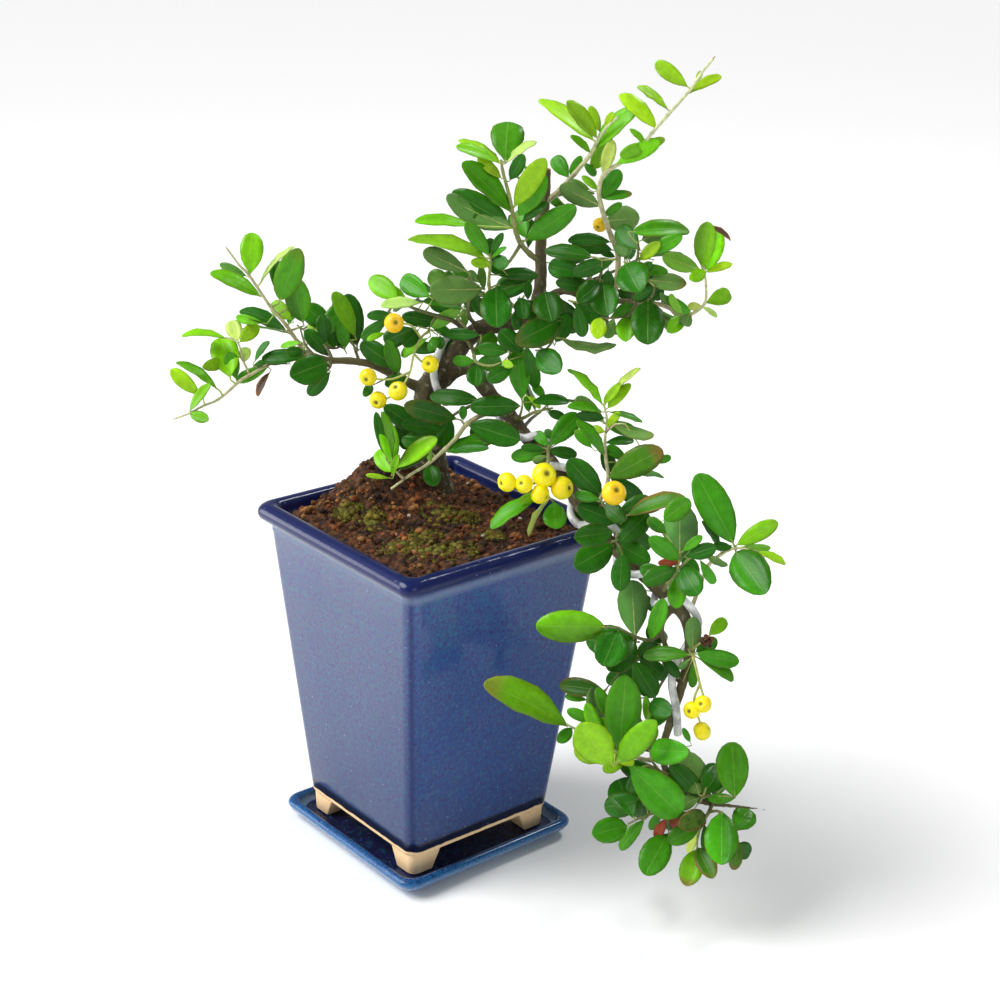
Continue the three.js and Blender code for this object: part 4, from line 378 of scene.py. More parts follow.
# Bunches: stalks as stems are, then berries as picture place of the middle, depth, width shown, and
# where the berry's eye shows
BUNCHES = {
    "berriesLeft": ([
        [1.0, [429, 331, -3], [421, 338, 1], [414, 354, 4], [410, 372, 6], [403, 386, 7]],
        [0.9, [421, 338, 1], [412, 326, 4], [400, 323, 5]],
        [0.9, [410, 372, 6], [392, 379, 6], [374, 379, 6]],
        [0.9, [414, 354, 4], [421, 361, 4], [428, 364, 3]],
        [0.9, [403, 386, 7], [392, 396, 7], [382, 400, 6]]], [
        [394, 323, 6, 20, 397, 323], [430, 364, 3, 18, 428, 364], [368, 377, 6, 18, 366, 381],
        [398, 391, 8, 20, 395, 386], [378, 400, 6, 18, 376, 404]]),
    "berriesMid": ([
        [1.1, [547, 478, 24], [540, 482, 28], [526, 484, 31], [510, 483, 32]],
        [0.9, [540, 482, 28], [543, 477, 31]],
        [0.9, [540, 482, 28], [541, 491, 31]],
        [0.9, [540, 482, 28], [552, 487, 29], [560, 488, 31]]], [
        [507, 482, 32, 20, 499, 484], [524, 484, 33, 19, 520, 483], [544, 475, 31, 25, 548, 473],
        [540, 494, 33, 20, 549, 498], [562, 488, 31, 24, 572, 488]]),
    "berryCascade": ([
        [1.0, [606, 500, 36], [609, 497, 40], [613, 494, 44]]], [
        [614, 493, 45, 25, 617, 489]]),
    "berryCrown": ([
        [1.0, [604, 215, 1.4], [603, 220, -3], [600, 225, -5]]], [
        [600, 225, -5, 15, 597, 229]]),
    "berriesWrist": ([
        [1.1, [693, 656, 62], [696, 668, 66], [700, 684, 68], [704, 698, 69]],
        [0.9, [700, 684, 68], [694, 700, 69], [698, 716, 69], [702, 728, 69]]], [
        [692, 710, 69, 18, 687, 711], [703, 704, 70, 18, 699, 703], [702, 731, 69, 19, 711, 727]]),
}

# Leaves deep inside, that show only between the others: base, tip, width, tone and lean
INNER_LEAVES = [
    [508, 224, 452, 192, 24, "D"], [612, 138, 592, 168, 15, "B"], [612, 250, 572, 243, 15, "D"],
    [584, 273, 548, 266, 20, "D"], [608, 270, 607, 290, 14, "D"], [560, 298, 576, 332, 20, "D"],
    [572, 302, 608, 320, 17, "D"], [610, 318, 642, 303, 15, "M"], [617, 290, 636, 302, 12, "D"],
    [656, 286, 634, 300, 11, "D"], [664, 295, 690, 318, 15, "M"], [534, 278, 496, 292, 22, "D"],
    [497, 264, 489, 238, 12, "D"], [528, 248, 532, 220, 10, "D"], [505, 274, 488, 262, 12, "D"],
    [480, 296, 467, 310, 14, "D"], [452, 284, 428, 276, 18, "G"], [406, 298, 384, 290, 14, "B"],
    [440, 322, 402, 316, 15, "D"], [414, 328, 384, 342, 19, "D"], [522, 352, 500, 330, 19, "D"],
    [508, 352, 478, 348, 14, "D"], [526, 345, 536, 388, 14, "D"], [556, 342, 568, 314, 19, "D"],
    [444, 348, 410, 348, 12, "D"], [446, 413, 443, 447, 19, "D"], [396, 418, 409, 450, 15, "D"],
    [592, 448, 575, 430, 10, "M"], [602, 445, 612, 472, 14, "D"], [606, 424, 636, 431, 13, "M"],
    [610, 476, 642, 502, 18, "D"], [600, 508, 636, 532, 18, "D"], [640, 512, 664, 502, 12, "D"],
    [628, 528, 650, 548, 16, "D"], [636, 642, 586, 640, 30, "D"], [636, 658, 656, 640, 15, "D"],
    [640, 658, 666, 678, 17, "D"], [642, 668, 606, 682, 17, "D"], [612, 722, 597, 688, 13, "M"],
    [670, 712, 646, 724, 13, "D"], [616, 746, 574, 752, 26, "Y"], [670, 782, 620, 764, 20, "D"],
    [702, 796, 670, 764, 20, "D"], [642, 800, 604, 808, 24, "D"], [646, 786, 640, 820, 16, "D"],
    [714, 802, 690, 788, 14, "D"], [617, 522, 578, 506, 22, "D"], [668, 576, 640, 568, 15, "D"],
    [700, 574, 683, 558, 13, "D"], [696, 652, 717, 639, 14, "M"], [694, 662, 692, 688, 9, "M"],
    [594, 722, 567, 710, 11, "M"], [734, 846, 750, 854, 17, "D"], [330, 326, 304, 306, 21, "D"],
    [357, 346, 347, 294, 22, "D"], [329, 356, 305, 330, 15, "D"], [292, 302, 273, 260, 19, "D"],
    [246, 276, 220, 264, 9, "G"], [263, 323, 236, 317, 9, "B"], [236, 379, 229, 352, 14, "M"],
    [386, 456, 376, 412, 10, "D"], [345, 350, 330, 320, 18, "D"], [470, 340, 440, 356, 18, "D"],
    [520, 300, 545, 320, 20, "D"], [640, 262, 660, 300, 18, "D"], [600, 330, 585, 304, 14, "D"],
    [470, 300, 500, 318, 18, "D"], [455, 310, 430, 300, 16, "D"], [590, 285, 560, 284, 15, "D"],
    [650, 330, 628, 312, 18, "D"], [560, 262, 586, 252, 14, "D"], [470, 236, 500, 254, 12, "D"],
    [556, 440, 545, 430, 8, "D"], [500, 440, 470, 430, 16, "D"], [430, 452, 402, 438, 14, "D"],
    [690, 812, 664, 826, 16, "D"], [660, 612, 650, 640, 14, "D"], [668, 560, 690, 540, 14, "D"],
    [640, 592, 655, 610, 10, "D"], [628, 764, 681, 815, 36, "M", 4], [664, 520, 690, 500, 20, "M"],
    [616, 164, 660, 141, 16, "B", 1], [612, 764, 578, 724, 34, "Y", 5], [618, 762, 655, 722, 24, "B", 6],
    [690, 742, 683, 728, 6, "M", 0], [389, 478, 366, 475, 5, "Y", 2], [392, 474, 398, 455, 7, "B", 2],
    [600, 132, 590, 106, 10, "Y"], [590, 530, 571, 509, 12, "D"], [680, 678, 664, 660, 11, "D"],
    [484, 290, 481, 266, 8, "G"], [604, 216, 622, 203, 8, "M"], [566, 208, 549, 198, 8, "M"],
    [648, 722, 646, 696, 8, "B"], [455, 338, 433, 324, 10, "D"], [528, 300, 527, 281, 9, "D"],
    [627, 460, 607, 446, 11, "M"], [529, 412, 526, 396, 8, "M"], [588, 700, 565, 696, 7, "M"],
    [466, 326, 464, 309, 8, "G"], [590, 190, 570, 180, 7, "G"], [615, 257, 600, 251, 7, "D"],
    [655, 462, 671, 457, 8, "M"],
]

# The wire's way: limb, place along its rows, and the turn round it in degrees
WINDING = [
    ["trunk", 7.9, -130], ["trunk", 7.6, -95], ["trunk", 6.8, -40], ["trunk", 6.3, 0],
    ["trunk", 5.5, 50], ["trunk", 5.1, 110], ["trunk", 4.9, 170], ["cascade", 0.9, 180],
    ["cascade", 2.2, 200], ["cascade", 3.3, 170], ["cascade", 4.3, 90], ["cascade", 4.95, 0],
    ["cascade", 5.45, -180], ["cascade", 5.95, -360], ["cascade", 7.0, -630],
    ["cascade", 7.3, -660], ["cascade", 8.0, -900], ["cascade", 8.9, -1080],
    ["cascade", 9.5, -1290], ["cascade", 10.2, -1500], ["cascade", 11.1, -1540],
    ["cascade", 11.9, -1620], ["cascade", 12.6, -1710], ["cascade", 13.1, -1725],
    ["cascade", 13.6, -1800], ["cascade", 14.3, -1890],
]
# Degrees of turn between two places on the wire
WIRE_STEP = 62
# How far the wire's nipped ends reach in mm
NIPPED = 0.35

# Tubes: how many mm from ring to ring, and how many sides
STEP = {"limb": 1.2, "wire": 1.1, "stem": 1.6, "berry_stalk": 1.3}
SIDES = {"limb": 20, "wire": 14, "berry_stalk": 7, "leaf_stalk": 5, "dried_stalk": 5}
# Where the random draws of each scatter start
SEEDS = {"inner_leaves": 5, "dried_fruit": 3, "crumbs": 11, "moss": 23}

# Share of a blade's length, and of its width there, at each pair of its solid's outer corners
STATIONS = {
    "long": [[0.13, 0.17], [0.44, 0.98], [0.81, 0.84]],
    "short": [[0.32, 0.8], [0.74, 0.96]],
    "thin": [[0.5, 1]],
}
# The furthest along a stretch of stem that a leaf sits
STEM_END = 0.93
# Length to width of the stubbiest and the slimmest leaf, how many times the length it shows a leaf may
# have, and how far its tip strays in depth
SHAPE = {"stubby": 2.1, "slim": 2.9, "most": 1.4, "scatter": 0.8}
# Bends a solid leaf may have taken to keep clear of others: extra depth in mm and roll in degrees
BENDS = [
    [0, 0], [3, 0], [-3, 0], [0, 22], [0, -22], [6, 0], [-6, 0], [4, 25], [-4, -25], [9, 0],
    [-9, 0], [0, 45], [0, -45], [8, 30], [-8, -30], [12, 0], [-12, 0], [12, 30], [-12, -30],
    [16, 0], [-16, 0], [5, 65], [-5, -65], [16, 40], [-16, -40], [20, 0], [-20, 0], [24, 20],
    [-24, -20], [10, 85], [-10, -85], [28, 40], [-28, -40],
]

# A corner of a leaf is found in a solid when it is this near in mm, and a leaf on the far side when
# this share of its corners is found
FOUND_WITHIN = 0.03
FOUND_SHARE = 0.7

# Leaves with a look of their own, by the picture place of their tip. A slender one has a share of its
# length that is stalk, and a share of its width.
SLENDER = {(415, 221): (0.42, 0.5)}
# One half is painted lighter and the other darker, strongly
HALF_LIT = {(292, 275), (436, 438), (680, 503), (765, 593), (536, 626), (722, 865), (718, 230),
             (632, 580), (708, 221)}
# Withered tip, withered edge and yellowing, each from 0 to 1
MARKS = {
    (257, 396): (1.0, 1.0, 0.0), (632, 194): (0.5, 0.0, 0.0), (686, 284): (0.6, 0.0, 0.0),
    (731, 240): (1.0, 1.0, 0.0), (663, 450): (0.7, 0.2, 0.0), (685, 497): (0.2, 0.9, 0.0),
    (560, 685): (0.1, 0.4, 0.0), (486, 683): (0.5, 0.1, 0.0), (680, 813): (0.0, 0.0, 0.12),
    (733, 870): (0.5, 0.3, 0.0), (686, 886): (0.7, 0.0, 0.0), (713, 878): (0.2, 0.9, 0.0),
    (678, 826): (0.2, 0.6, 0.1),
}


def rad(degrees):
    return math.radians(degrees)


def clamp(value, low=0.0, high=1.0):
    return min(high, max(low, value))


def eye_axes():
    a, e, r = rad(EYE["yaw"]), rad(EYE["pitch"]), rad(EYE["roll"])
    back = Vector((math.sin(a) * math.cos(e), -math.cos(a) * math.cos(e), math.sin(e)))
    level = Vector((math.cos(a), math.sin(a), 0))
    rise = back.cross(level)
    right = level * math.cos(r) + rise * math.sin(r)
    up = rise * math.cos(r) - level * math.sin(r)
    aim = right * EYE["aim_side"] + Vector((0, 0, EYE["aim_height"]))
    at = aim + back * EYE["distance"]
    towards = Vector((math.sin(a), -math.cos(a), 0))
    return {"back": back, "right": right, "up": up, "at": at, "towards": towards}


eye = eye_axes()


def place(spot):
    """Picture column, row and depth towards the eye, to mm in the part's frame."""
    column, row, depth = spot[:3]
    ray = eye["back"] * -EYE["focal"] + eye["right"] * (column - EYE["centre"])
    ray += eye["up"] * (EYE["centre"] - row)
    t = (depth - eye["at"].dot(eye["towards"])) / ray.dot(eye["towards"])
    return eye["at"] + ray * t


def mm_per_pixel(point):
    """How many mm a pixel of the picture covers at a point."""
    return (point - eye["at"]).dot(eye["back"]) / -EYE["focal"]


def facing_eye(point, along):
    """The direction from a point that is square to the way along and looks most at the eye."""
    seen = (eye["at"] - point).normalized()
    return (seen - along * seen.dot(along)).normalized()


def draws(seed):
    """The part's own seeded draw, so that each leaf here lies where its solid does."""
    multiplier, modulus = 16807, 2147483647
    state = seed
    while True:
        state = state * multiplier % modulus
        yield state / modulus


# Colours


def linear(code):
    """An sRGB hex colour as the linear RGBA that Blender's sockets take."""
    channels = [int(code[i:i + 2], 16) / 255 for i in (1, 3, 5)]
    straight = [c / 12.92 if c <= 0.04045 else ((c + 0.055) / 1.055) ** 2.4 for c in channels]
    return (*straight, 1.0)


def colour_property(name, code, description):
    return FloatVectorProperty(name=name, description=description, subtype="COLOR", size=4,
                               min=0, max=1, default=linear(code))


def length_property(name, millimetres, description):
    return FloatProperty(name=name, description=description, unit="LENGTH", precision=4,
                         min=0, default=millimetres * MM)


class PotSettings(bpy.types.PropertyGroup):
    """Sizes and colours of the pot and the saucer."""

    corner: length_property("Corner radius", POT["corner"], "Radius of the pot's upright corners")
    bare_edge: length_property("Bare edge", 1.3, "Height of clay left bare under the glaze")
    speck: length_property("Speck size", 1.15, "Size of the fine specks in the glaze")
    glaze: colour_property("Glaze", "#0A4690", "Blue of the glaze where it lies thick")
    glaze_deep: colour_property("Deep glaze", "#081650", "Navy of the glaze round the lip")
    glaze_pale: colour_property("Pale mottle", "#3E527F", "Greyish lavender mottle in the glaze")
    saucer: colour_property("Saucer glaze", "#1686CF", "Blue of the saucer's glaze")
    clay: colour_property("Bare clay", "#FBE4BE", "Buff of the unglazed feet")


class PlantSettings(bpy.types.PropertyGroup):
    """Sizes and colours of the wood, leaves and berries."""

    leaf_thickness: length_property("Leaf thickness", 0.36, "Thickness of a leaf blade")
    bark_depth: length_property("Bark depth", 0.42, "Depth of the furrows in the old bark")
    sides: IntProperty(name="Stem sides", description="Sides of a green stem", default=8, min=5)
    young: colour_property("Young leaf", "#97CD14", "Leaf in its first weeks")
    bright: colour_property("Bright leaf", "#73BD08", "Leaf lit from above")
    middle: colour_property("Full leaf", "#429209", "Leaf in its first summer")
    # Partly painted shade: besides last year's leaves, this dark green goes to leaves deep in the crown
    # and on the far side because they lie in shade
    dark: colour_property("Old leaf", "#246806", "Leaf of last year")
    grey: colour_property("Leaf underside", "#54882C", "Greyed underside of a leaf")
    pale: colour_property("Pale tip", "#C0DB66", "Newly opened leaf")
    red: colour_property("Red leaf", "#8C3A22", "Leaf that turns or just opens red")
    bark: colour_property("Bark", "#3A2E1E", "Old bark")
    lichen: colour_property("Lichen", "#8E8A72", "Grey lichen on the bark")
    berry: colour_property("Berry", "#FFEE08", "Ripe berry")
    wire: colour_property("Wire", "#F8F8F8", "Training wire")


class GroundSettings(bpy.types.PropertyGroup):
    """Sizes and colours of the soil, moss and grit."""

    crumb: length_property("Crumb size", 1.25, "Radius of an average soil crumb")
    crumbs: IntProperty(name="Crumbs", description="How many crumbs lie on the soil", default=1500)
    tufts: IntProperty(name="Moss tufts", description="How many moss tufts grow", default=600)
    soil: colour_property("Soil", "#6A3E1D", "Damp red-brown soil")
    moss: colour_property("Moss", "#7A7222", "Olive moss")
    grit: colour_property("Grit", "#E8E0CC", "Pale grit")


SETTINGS = {"bonsai_pot": PotSettings, "bonsai_plant": PlantSettings, "bonsai_ground": GroundSettings}


# Helpers for objects


def deselect():
    if bpy.context.mode != "OBJECT":
        bpy.ops.object.mode_set(mode="OBJECT")
    bpy.ops.object.select_all(action="DESELECT")


def choose(obj):
    deselect()
    obj.select_set(True)
    bpy.context.view_layer.objects.active = obj


def apply_modifier(obj, kind, **settings):
    choose(obj)
    modifier = obj.modifiers.new(kind.title(), kind)
    for key, value in settings.items():
        setattr(modifier, key, value)
    bpy.ops.object.modifier_apply(modifier=modifier.name)


def shade_smooth(obj):
    obj.data.polygons.foreach_set("use_smooth", [True] * len(obj.data.polygons))


def object_from(name, points, faces):
    """A mesh object whose points are given in mm."""
    mesh = bpy.data.meshes.new(name)
    mesh.from_pydata([tuple(c * MM for c in p) for p in points], [], faces)
    obj = bpy.data.objects.new(name, mesh)
    shade_smooth(obj)
    mesh.update()
    bpy.context.scene.collection.objects.link(obj)
    return obj


def dress(obj, *looks):
    """Gives an object these materials and no others."""
    obj.data.materials.clear()
    for look in looks:
        obj.data.materials.append(look)


def store(mesh, name, values, kind="FLOAT"):
    """Keeps a value, or with FLOAT_COLOR a colour, at each point of a mesh for its material to read."""
    data = mesh.attributes.new(name, kind, "POINT").data
    if kind == "FLOAT_COLOR":
        data.foreach_set("color", [channel for colour in values for channel in colour])
    else:
        data.foreach_set("value", values)


def tree_of(points):
    """Finds the nearest of many points quickly."""
    tree = kdtree.KDTree(len(points))
    for i, point in enumerate(points):
        tree.insert(point, i)
    tree.balance()
    return tree


def taken_apart(blank):
    """A blank's points and faces, which are all that is needed of it."""
    points = [tuple(v.co) for v in blank.data.vertices]
    faces = [list(p.vertices) for p in blank.data.polygons]
    bpy.data.objects.remove(blank)
    return points, faces


def edit_all(obj):
    """Opens a mesh in edit mode with all of it selected."""
    choose(obj)
    bpy.ops.object.mode_set(mode="EDIT")
    bpy.ops.mesh.select_all(action="SELECT")


def recalculate_normals(obj, merge=0):
    """Turns all faces outwards, once points within merge mm of each other are one."""
    edit_all(obj)
    if merge:
        bpy.ops.mesh.remove_doubles(threshold=merge * MM)
    bpy.ops.mesh.normals_make_consistent(inside=False)
    bpy.ops.object.mode_set(mode="OBJECT")


def join(objects, name):
    deselect()
    for obj in objects:
        obj.select_set(True)
    bpy.context.view_layer.objects.active = objects[0]
    bpy.ops.object.join()
    joined = bpy.context.view_layer.objects.active
    joined.name = name
    joined.data.name = name
    return joined


def smooth_by_angle(obj, degrees):
    choose(obj)
    bpy.ops.object.shade_smooth_by_angle(angle=rad(degrees))


def declare(obj, slot, *nodes):
    """The piece rides on the one body and stands for its nodes. Its slot is not used."""
    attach(obj, "root")
    if nodes:
        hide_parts(*nodes)


def loft(name, rings):
    """A skin drawn up from a circle, ring by ring, by extruding its open edge."""
    deselect()
    bpy.ops.mesh.primitive_circle_add(vertices=len(rings[0]), radius=MM, fill_type="NOTHING")
    obj = bpy.context.view_layer.objects.active
    obj.name = name
    for vertex, point in zip(obj.data.vertices, rings[0]):
        vertex.co = Vector(point) * MM
    edit_all(obj)
    for last, ring in zip(rings, rings[1:]):
        bpy.ops.mesh.extrude_edges_move()
        editable = bmesh.from_edit_mesh(obj.data)
        for vertex in editable.verts:
            if vertex.select:
                vertex.co = Vector(follower(last, ring, vertex.co / MM)) * MM
        bmesh.update_edit_mesh(obj.data)
    bpy.ops.object.mode_set(mode="OBJECT")
    shade_smooth(obj)
    recalculate_normals(obj)
    return obj


def follower(last, ring, point):
    """The point of a ring that goes with the last ring's point nearest to the given one."""
    return ring[min(range(len(last)), key=lambda i: (Vector(last[i]) - point).length_squared)]


# How many steps a ring takes round each corner and along each side
CORNER_STEPS = 8
SIDE_STEPS = 3


def square_ring(half, corner, z):
    """A square with round corners, from the +X+Y corner round."""
    ring = []
    for c in range(4):
        turn = c * math.pi / 2
        ca, sa = math.cos(turn), math.sin(turn)
        x, y = half - corner, half - corner
        mid = (x * ca - y * sa, x * sa + y * ca)
        for k in range(CORNER_STEPS + 1):
            angle = turn + k / CORNER_STEPS * math.pi / 2
            ring.append((mid[0] + corner * math.cos(angle), mid[1] + corner * math.sin(angle), z))
        x = -(half - corner)
        next_mid = (x * ca - y * sa, x * sa + y * ca)
        end = ring[-1]
        shift = (next_mid[0] - mid[0], next_mid[1] - mid[1])
        for k in range(1, SIDE_STEPS):
            share = k / SIDE_STEPS
            ring.append((end[0] + shift[0] * share, end[1] + shift[1] * share, z))
    return ring


def round_ring(radius, z, model):
    """A circle with as many points as the model ring, each on the same bearing."""
    return [(radius * math.cos(math.atan2(p[1], p[0])), radius * math.sin(math.atan2(p[1], p[0])), z)
            for p in model]


def arc(middle, radius, start, end, steps):
    """Profile points (half, z) along an arc, in degrees from +half towards +z."""
    points = []
    for k in range(steps + 1):
        angle = rad(start + (end - start) * k / steps)
        points.append((middle[0] + radius[0] * math.cos(angle), middle[1] + radius[1] * math.sin(angle)))
    return points


# Materials

# A Mix node that mixes colours takes its share at socket 0 and the colours at A and B, and gives its
# third output. A Map Range node takes its value, the range this comes from and the range it goes to.
A, B = 6, 7
COLOUR = {"out": 2, "data_type": "RGBA"}


def new_material(name):
    """An empty material, and the function that adds nodes to it."""
    made = bpy.data.materials.new(name)
    made.use_nodes = True
    made.node_tree.nodes.clear()
    return made, partial(node, made.node_tree)


def node(tree, kind, inputs=(), out=0, **settings):
    """Adds a node with its settings, fills its inputs with values, hex colours or links, and gives one
    output. Inputs go by key in a dict, and from the first on in a list."""
    added = tree.nodes.new("ShaderNode" + kind)
    for key, value in settings.items():
        setattr(added, key, value)
    for key, value in inputs.items() if isinstance(inputs, dict) else enumerate(inputs):
        if isinstance(value, bpy.types.NodeSocket):
            tree.links.new(value, added.inputs[key])
        else:
            added.inputs[key].default_value = linear(value) if isinstance(value, str) else value
    return added.outputs[out] if added.outputs else None


def per(millimetres):
    """The scale that makes a pattern's features about this large."""
    return 1 / (millimetres * MM)


def glazed_stoneware(name, main, deep, pale, clay, speck, bare_z, lip_z, sheen):
    """Stoneware dipped in blue glaze and fired. It gives the eye a glassy skin with a soft mottle,
    violet and teal specks and pale pinholes, the specks drawn coarser than they are so that they
    show. A painted sheen turns one side and the top milky, painted shade darkens the glaze towards
    the bottom and along the upright corners, a painted highlight runs pale under the lip, and a
    painted dark reflection lies almost black above the dull buff clay where the glaze was wiped off."""
    made, add = new_material(name)
    point = add("TexCoord", out="Object")
    across, along, height = add("SeparateXYZ", [point]).node.outputs
    aside = add("Math", [across, along], operation="ADD")
    cloud = add("TexNoise", {"Vector": point, "Scale": per(26), "Detail": 3})
    cloud = add("MapRange", [cloud, 0.38, 0.68, 0, 0.35])
    fine = add("TexNoise", {"Vector": point, "Scale": per(speck), "Detail": 3, "Roughness": 0.65})
    violet = add("MapRange", [fine, 0.48, 0.62, 0, 0.8])
    other = add("TexNoise", {"Vector": point, "Scale": per(speck * 1.4)})
    teal = add("MapRange", [other, 0.54, 0.64, 0, 0.4])
    # Painted sheen: the near side, fading lower down, and the top of every side below the lip are mixed
    # towards a milky grey, as a reflection of the studio light
    painted_sheen = add("MapRange", [aside, -5 * MM, 5 * MM, sheen, 0])
    thick = add("MapRange", [height, 15 * MM, 100 * MM, 0.5, 1])
    painted_sheen = add("Math", [painted_sheen, thick], operation="MULTIPLY")
    top_sheen = add("MapRange", [height, 60 * MM, LIP_Z * MM, 0, sheen / 2])
    painted_sheen = add("Math", [painted_sheen, top_sheen], operation="MAXIMUM")
    sheen_colour = add("Mix", {0: violet, A: "#595D60", B: "#54447C"}, **COLOUR)
    sheen_colour = add("Mix", {0: teal, A: sheen_colour, B: "#2A6E7E"}, **COLOUR)
    body = main
    for share, over in ((cloud, pale), (violet, "#2A2270"), (teal, "#2A6C92"), (painted_sheen, sheen_colour)):
        body = add("Mix", {0: share, A: body, B: over}, **COLOUR)
    # Painted shade and light: the glaze is darker towards the bottom and lighter towards the lip
    height_shade = add("MapRange", [height, 15 * MM, LIP_Z * MM, 0.6, 1.25])
    body = add("VectorMath", {0: body, "Scale": height_shade}, operation="SCALE")
    # Painted shade: the glaze is darker along the upright corners, where the painted sheen gives way
    flank = add("Math", [across], operation="ABSOLUTE")
    front = add("Math", [along], operation="ABSOLUTE")
    corner = add("Math", [front, flank], operation="SUBTRACT")
    corner = add("Math", [corner], operation="ABSOLUTE")
    corner = add("MapRange", [corner, 0.5 * MM, 2.2 * MM, sheen, 0])
    # Painted highlight: a pale band just under the lip, and under the saucer's rim
    edge = add("Math", [height, (lip_z + 1.6) * MM], operation="SUBTRACT")
    edge = add("Math", [edge], operation="ABSOLUTE")
    edge = add("MapRange", [edge, 0.3 * MM, 2.2 * MM, 0.5, 0])
    lip = add("MapRange", [height, (lip_z + 2.5) * MM, (lip_z + 7) * MM, 0, 0.96])
    # Painted dark reflection: the glaze is almost black just above the bare clay
    dark_reflection = add("MapRange", [height, (bare_z + 4) * MM, (bare_z + 5.4) * MM, 0.97, 0])
    hole = add("TexVoronoi", {"Vector": point, "Scale": per(4.2)})
    hole = add("MapRange", [hole, 0.05, 0.09, 0.3, 0])
    for share, over in ((corner, "#0C1C58"), (edge, "#7F90A8"), (lip, deep), (dark_reflection, "#060A26"),
                        (hole, "#B9BFD6")):
        body = add("Mix", {0: share, A: body, B: over}, **COLOUR)
    wander = add("TexNoise", {"Vector": point, "Scale": per(5)})
    line = add("Math", [wander, -1.2 * MM, height], operation="MULTIPLY_ADD")
    covered = add("MapRange", [line, bare_z * MM, (bare_z + 0.5) * MM])
    grog = add("TexNoise", {"Vector": point, "Scale": per(0.6), "Detail": 4, "Roughness": 0.7})
    bare = add("Mix", {0: grog, A: clay, B: "#E8B87E"}, **COLOUR)
    body = add("Mix", {0: covered, A: bare, B: body}, **COLOUR)
    gloss = add("MapRange", [covered, 0, 1, 0.85, 0.4])
    wave = add("TexNoise", {"Vector": point, "Scale": per(3.5)})
    relief = add("Math", [fine, 0.12, wave], operation="MULTIPLY_ADD")
    bump = add("Bump", {"Height": relief, "Distance": 0.09 * MM})
    shader = add("BsdfPrincipled", {
        "Base Color": body, "Roughness": gloss, "Normal": bump, "Specular IOR Level": 0.1,
        "Coat Weight": covered, "Coat Roughness": 0.07, "Coat IOR": 1.32, "Coat Normal": bump})
    add("OutputMaterial", [shader])
    return made


def waxy_leaf(name):
    """A firethorn leaf. Its upper side is smooth and waxed, so it shines softly, with a sunk, paler
    midrib and fine side veins, and its underside is pale and dull. Blemishes are brown and dry."""
    made, add = new_material(name)
    point = add("TexCoord", out="Object")
    tone = add("Attribute", attribute_name="tone")
    mark = add("Attribute", attribute_name="mark")
    mark = add("SeparateColor", [mark]).node.outputs
    under = add("Attribute", out="Fac", attribute_name="leaf_under")
    blade = add("SeparateXYZ", [add("UVMap", uv_map="blade")]).node.outputs
    aside = add("Math", [blade["Y"], -0.5], operation="ADD")
    aside = add("Math", [aside], operation="ABSOLUTE")
    rib = add("MapRange", [aside, 0.008, 0.034, 1, 0])
    slant = add("Math", [aside, -0.8, blade["X"]], operation="MULTIPLY_ADD")
    wave = add("Math", [slant, 9 * math.pi], operation="MULTIPLY")
    wave = add("Math", [wave], operation="SINE")
    wave = add("Math", [wave], operation="ABSOLUTE")
    veins = add("MapRange", [wave, 0.02, 0.24, 0.17, 0])
    mottle = add("TexNoise", {"Vector": point, "Scale": per(2.6), "Detail": 3})
    fine = add("TexNoise", {"Vector": point, "Scale": per(0.5)})
    shade = add("MapRange", [mottle, 0.3, 0.72, 0.84, 1.12])
    body = add("VectorMath", {0: tone, "Scale": shade}, operation="SCALE")
    paler = add("Mix", {0: 0.22, A: tone, B: "#C9DC84"}, **COLOUR)
    lines = add("Math", [rib, 0.42, veins], operation="MULTIPLY_ADD", use_clamp=True)
    body = add("Mix", {0: lines, A: body, B: paler}, **COLOUR)
    yellow = add("MapRange", [mottle, 0.4, 0.6, 0, mark["Blue"]])
    body = add("Mix", {0: yellow, A: body, B: "#B8A92C"}, **COLOUR)
    matt = add("Mix", {0: 0.3, A: body, B: "#7B9C62"}, **COLOUR)
    margin = add("MapRange", [aside, 0.455, 0.495, 0, 0.5])
    reach = add("Math", [mottle, 0.2, blade["X"]], operation="MULTIPLY_ADD")
    at_tip = add("MapRange", [reach, 0.86, 1.02, 0, mark["Red"]])
    ragged = add("Math", [mottle, 0.3, aside], operation="MULTIPLY_ADD")
    at_edge = add("MapRange", [ragged, 0.48, 0.62, 0, mark["Green"]])
    dry = add("Math", [at_tip, at_edge], operation="MAXIMUM")
    brown = add("Mix", {0: fine, A: "#5E3C22", B: "#A8743C"}, **COLOUR)
    for share, over in ((under, matt), (margin, "#6A4A1E"), (dry, brown)):
        body = add("Mix", {0: share, A: body, B: over}, **COLOUR)
    dull = add("Math", [dry, under], operation="MAXIMUM")
    gloss = add("MapRange", [mottle, 0.2, 0.8, 0.26, 0.36])
    gloss = add("Math", [dull, 0.3, gloss], operation="MULTIPLY_ADD")
    relief = add("Math", [fine, 0.2, lines], operation="MULTIPLY_ADD")
    bump = add("Bump", {"Height": relief, "Distance": 0.14 * MM}, invert=True)
    shader = add("BsdfPrincipled", {
        "Base Color": body, "Roughness": gloss, "Normal": bump, "Specular IOR Level": 0.23})
    add("OutputMaterial", [shader])
    return made


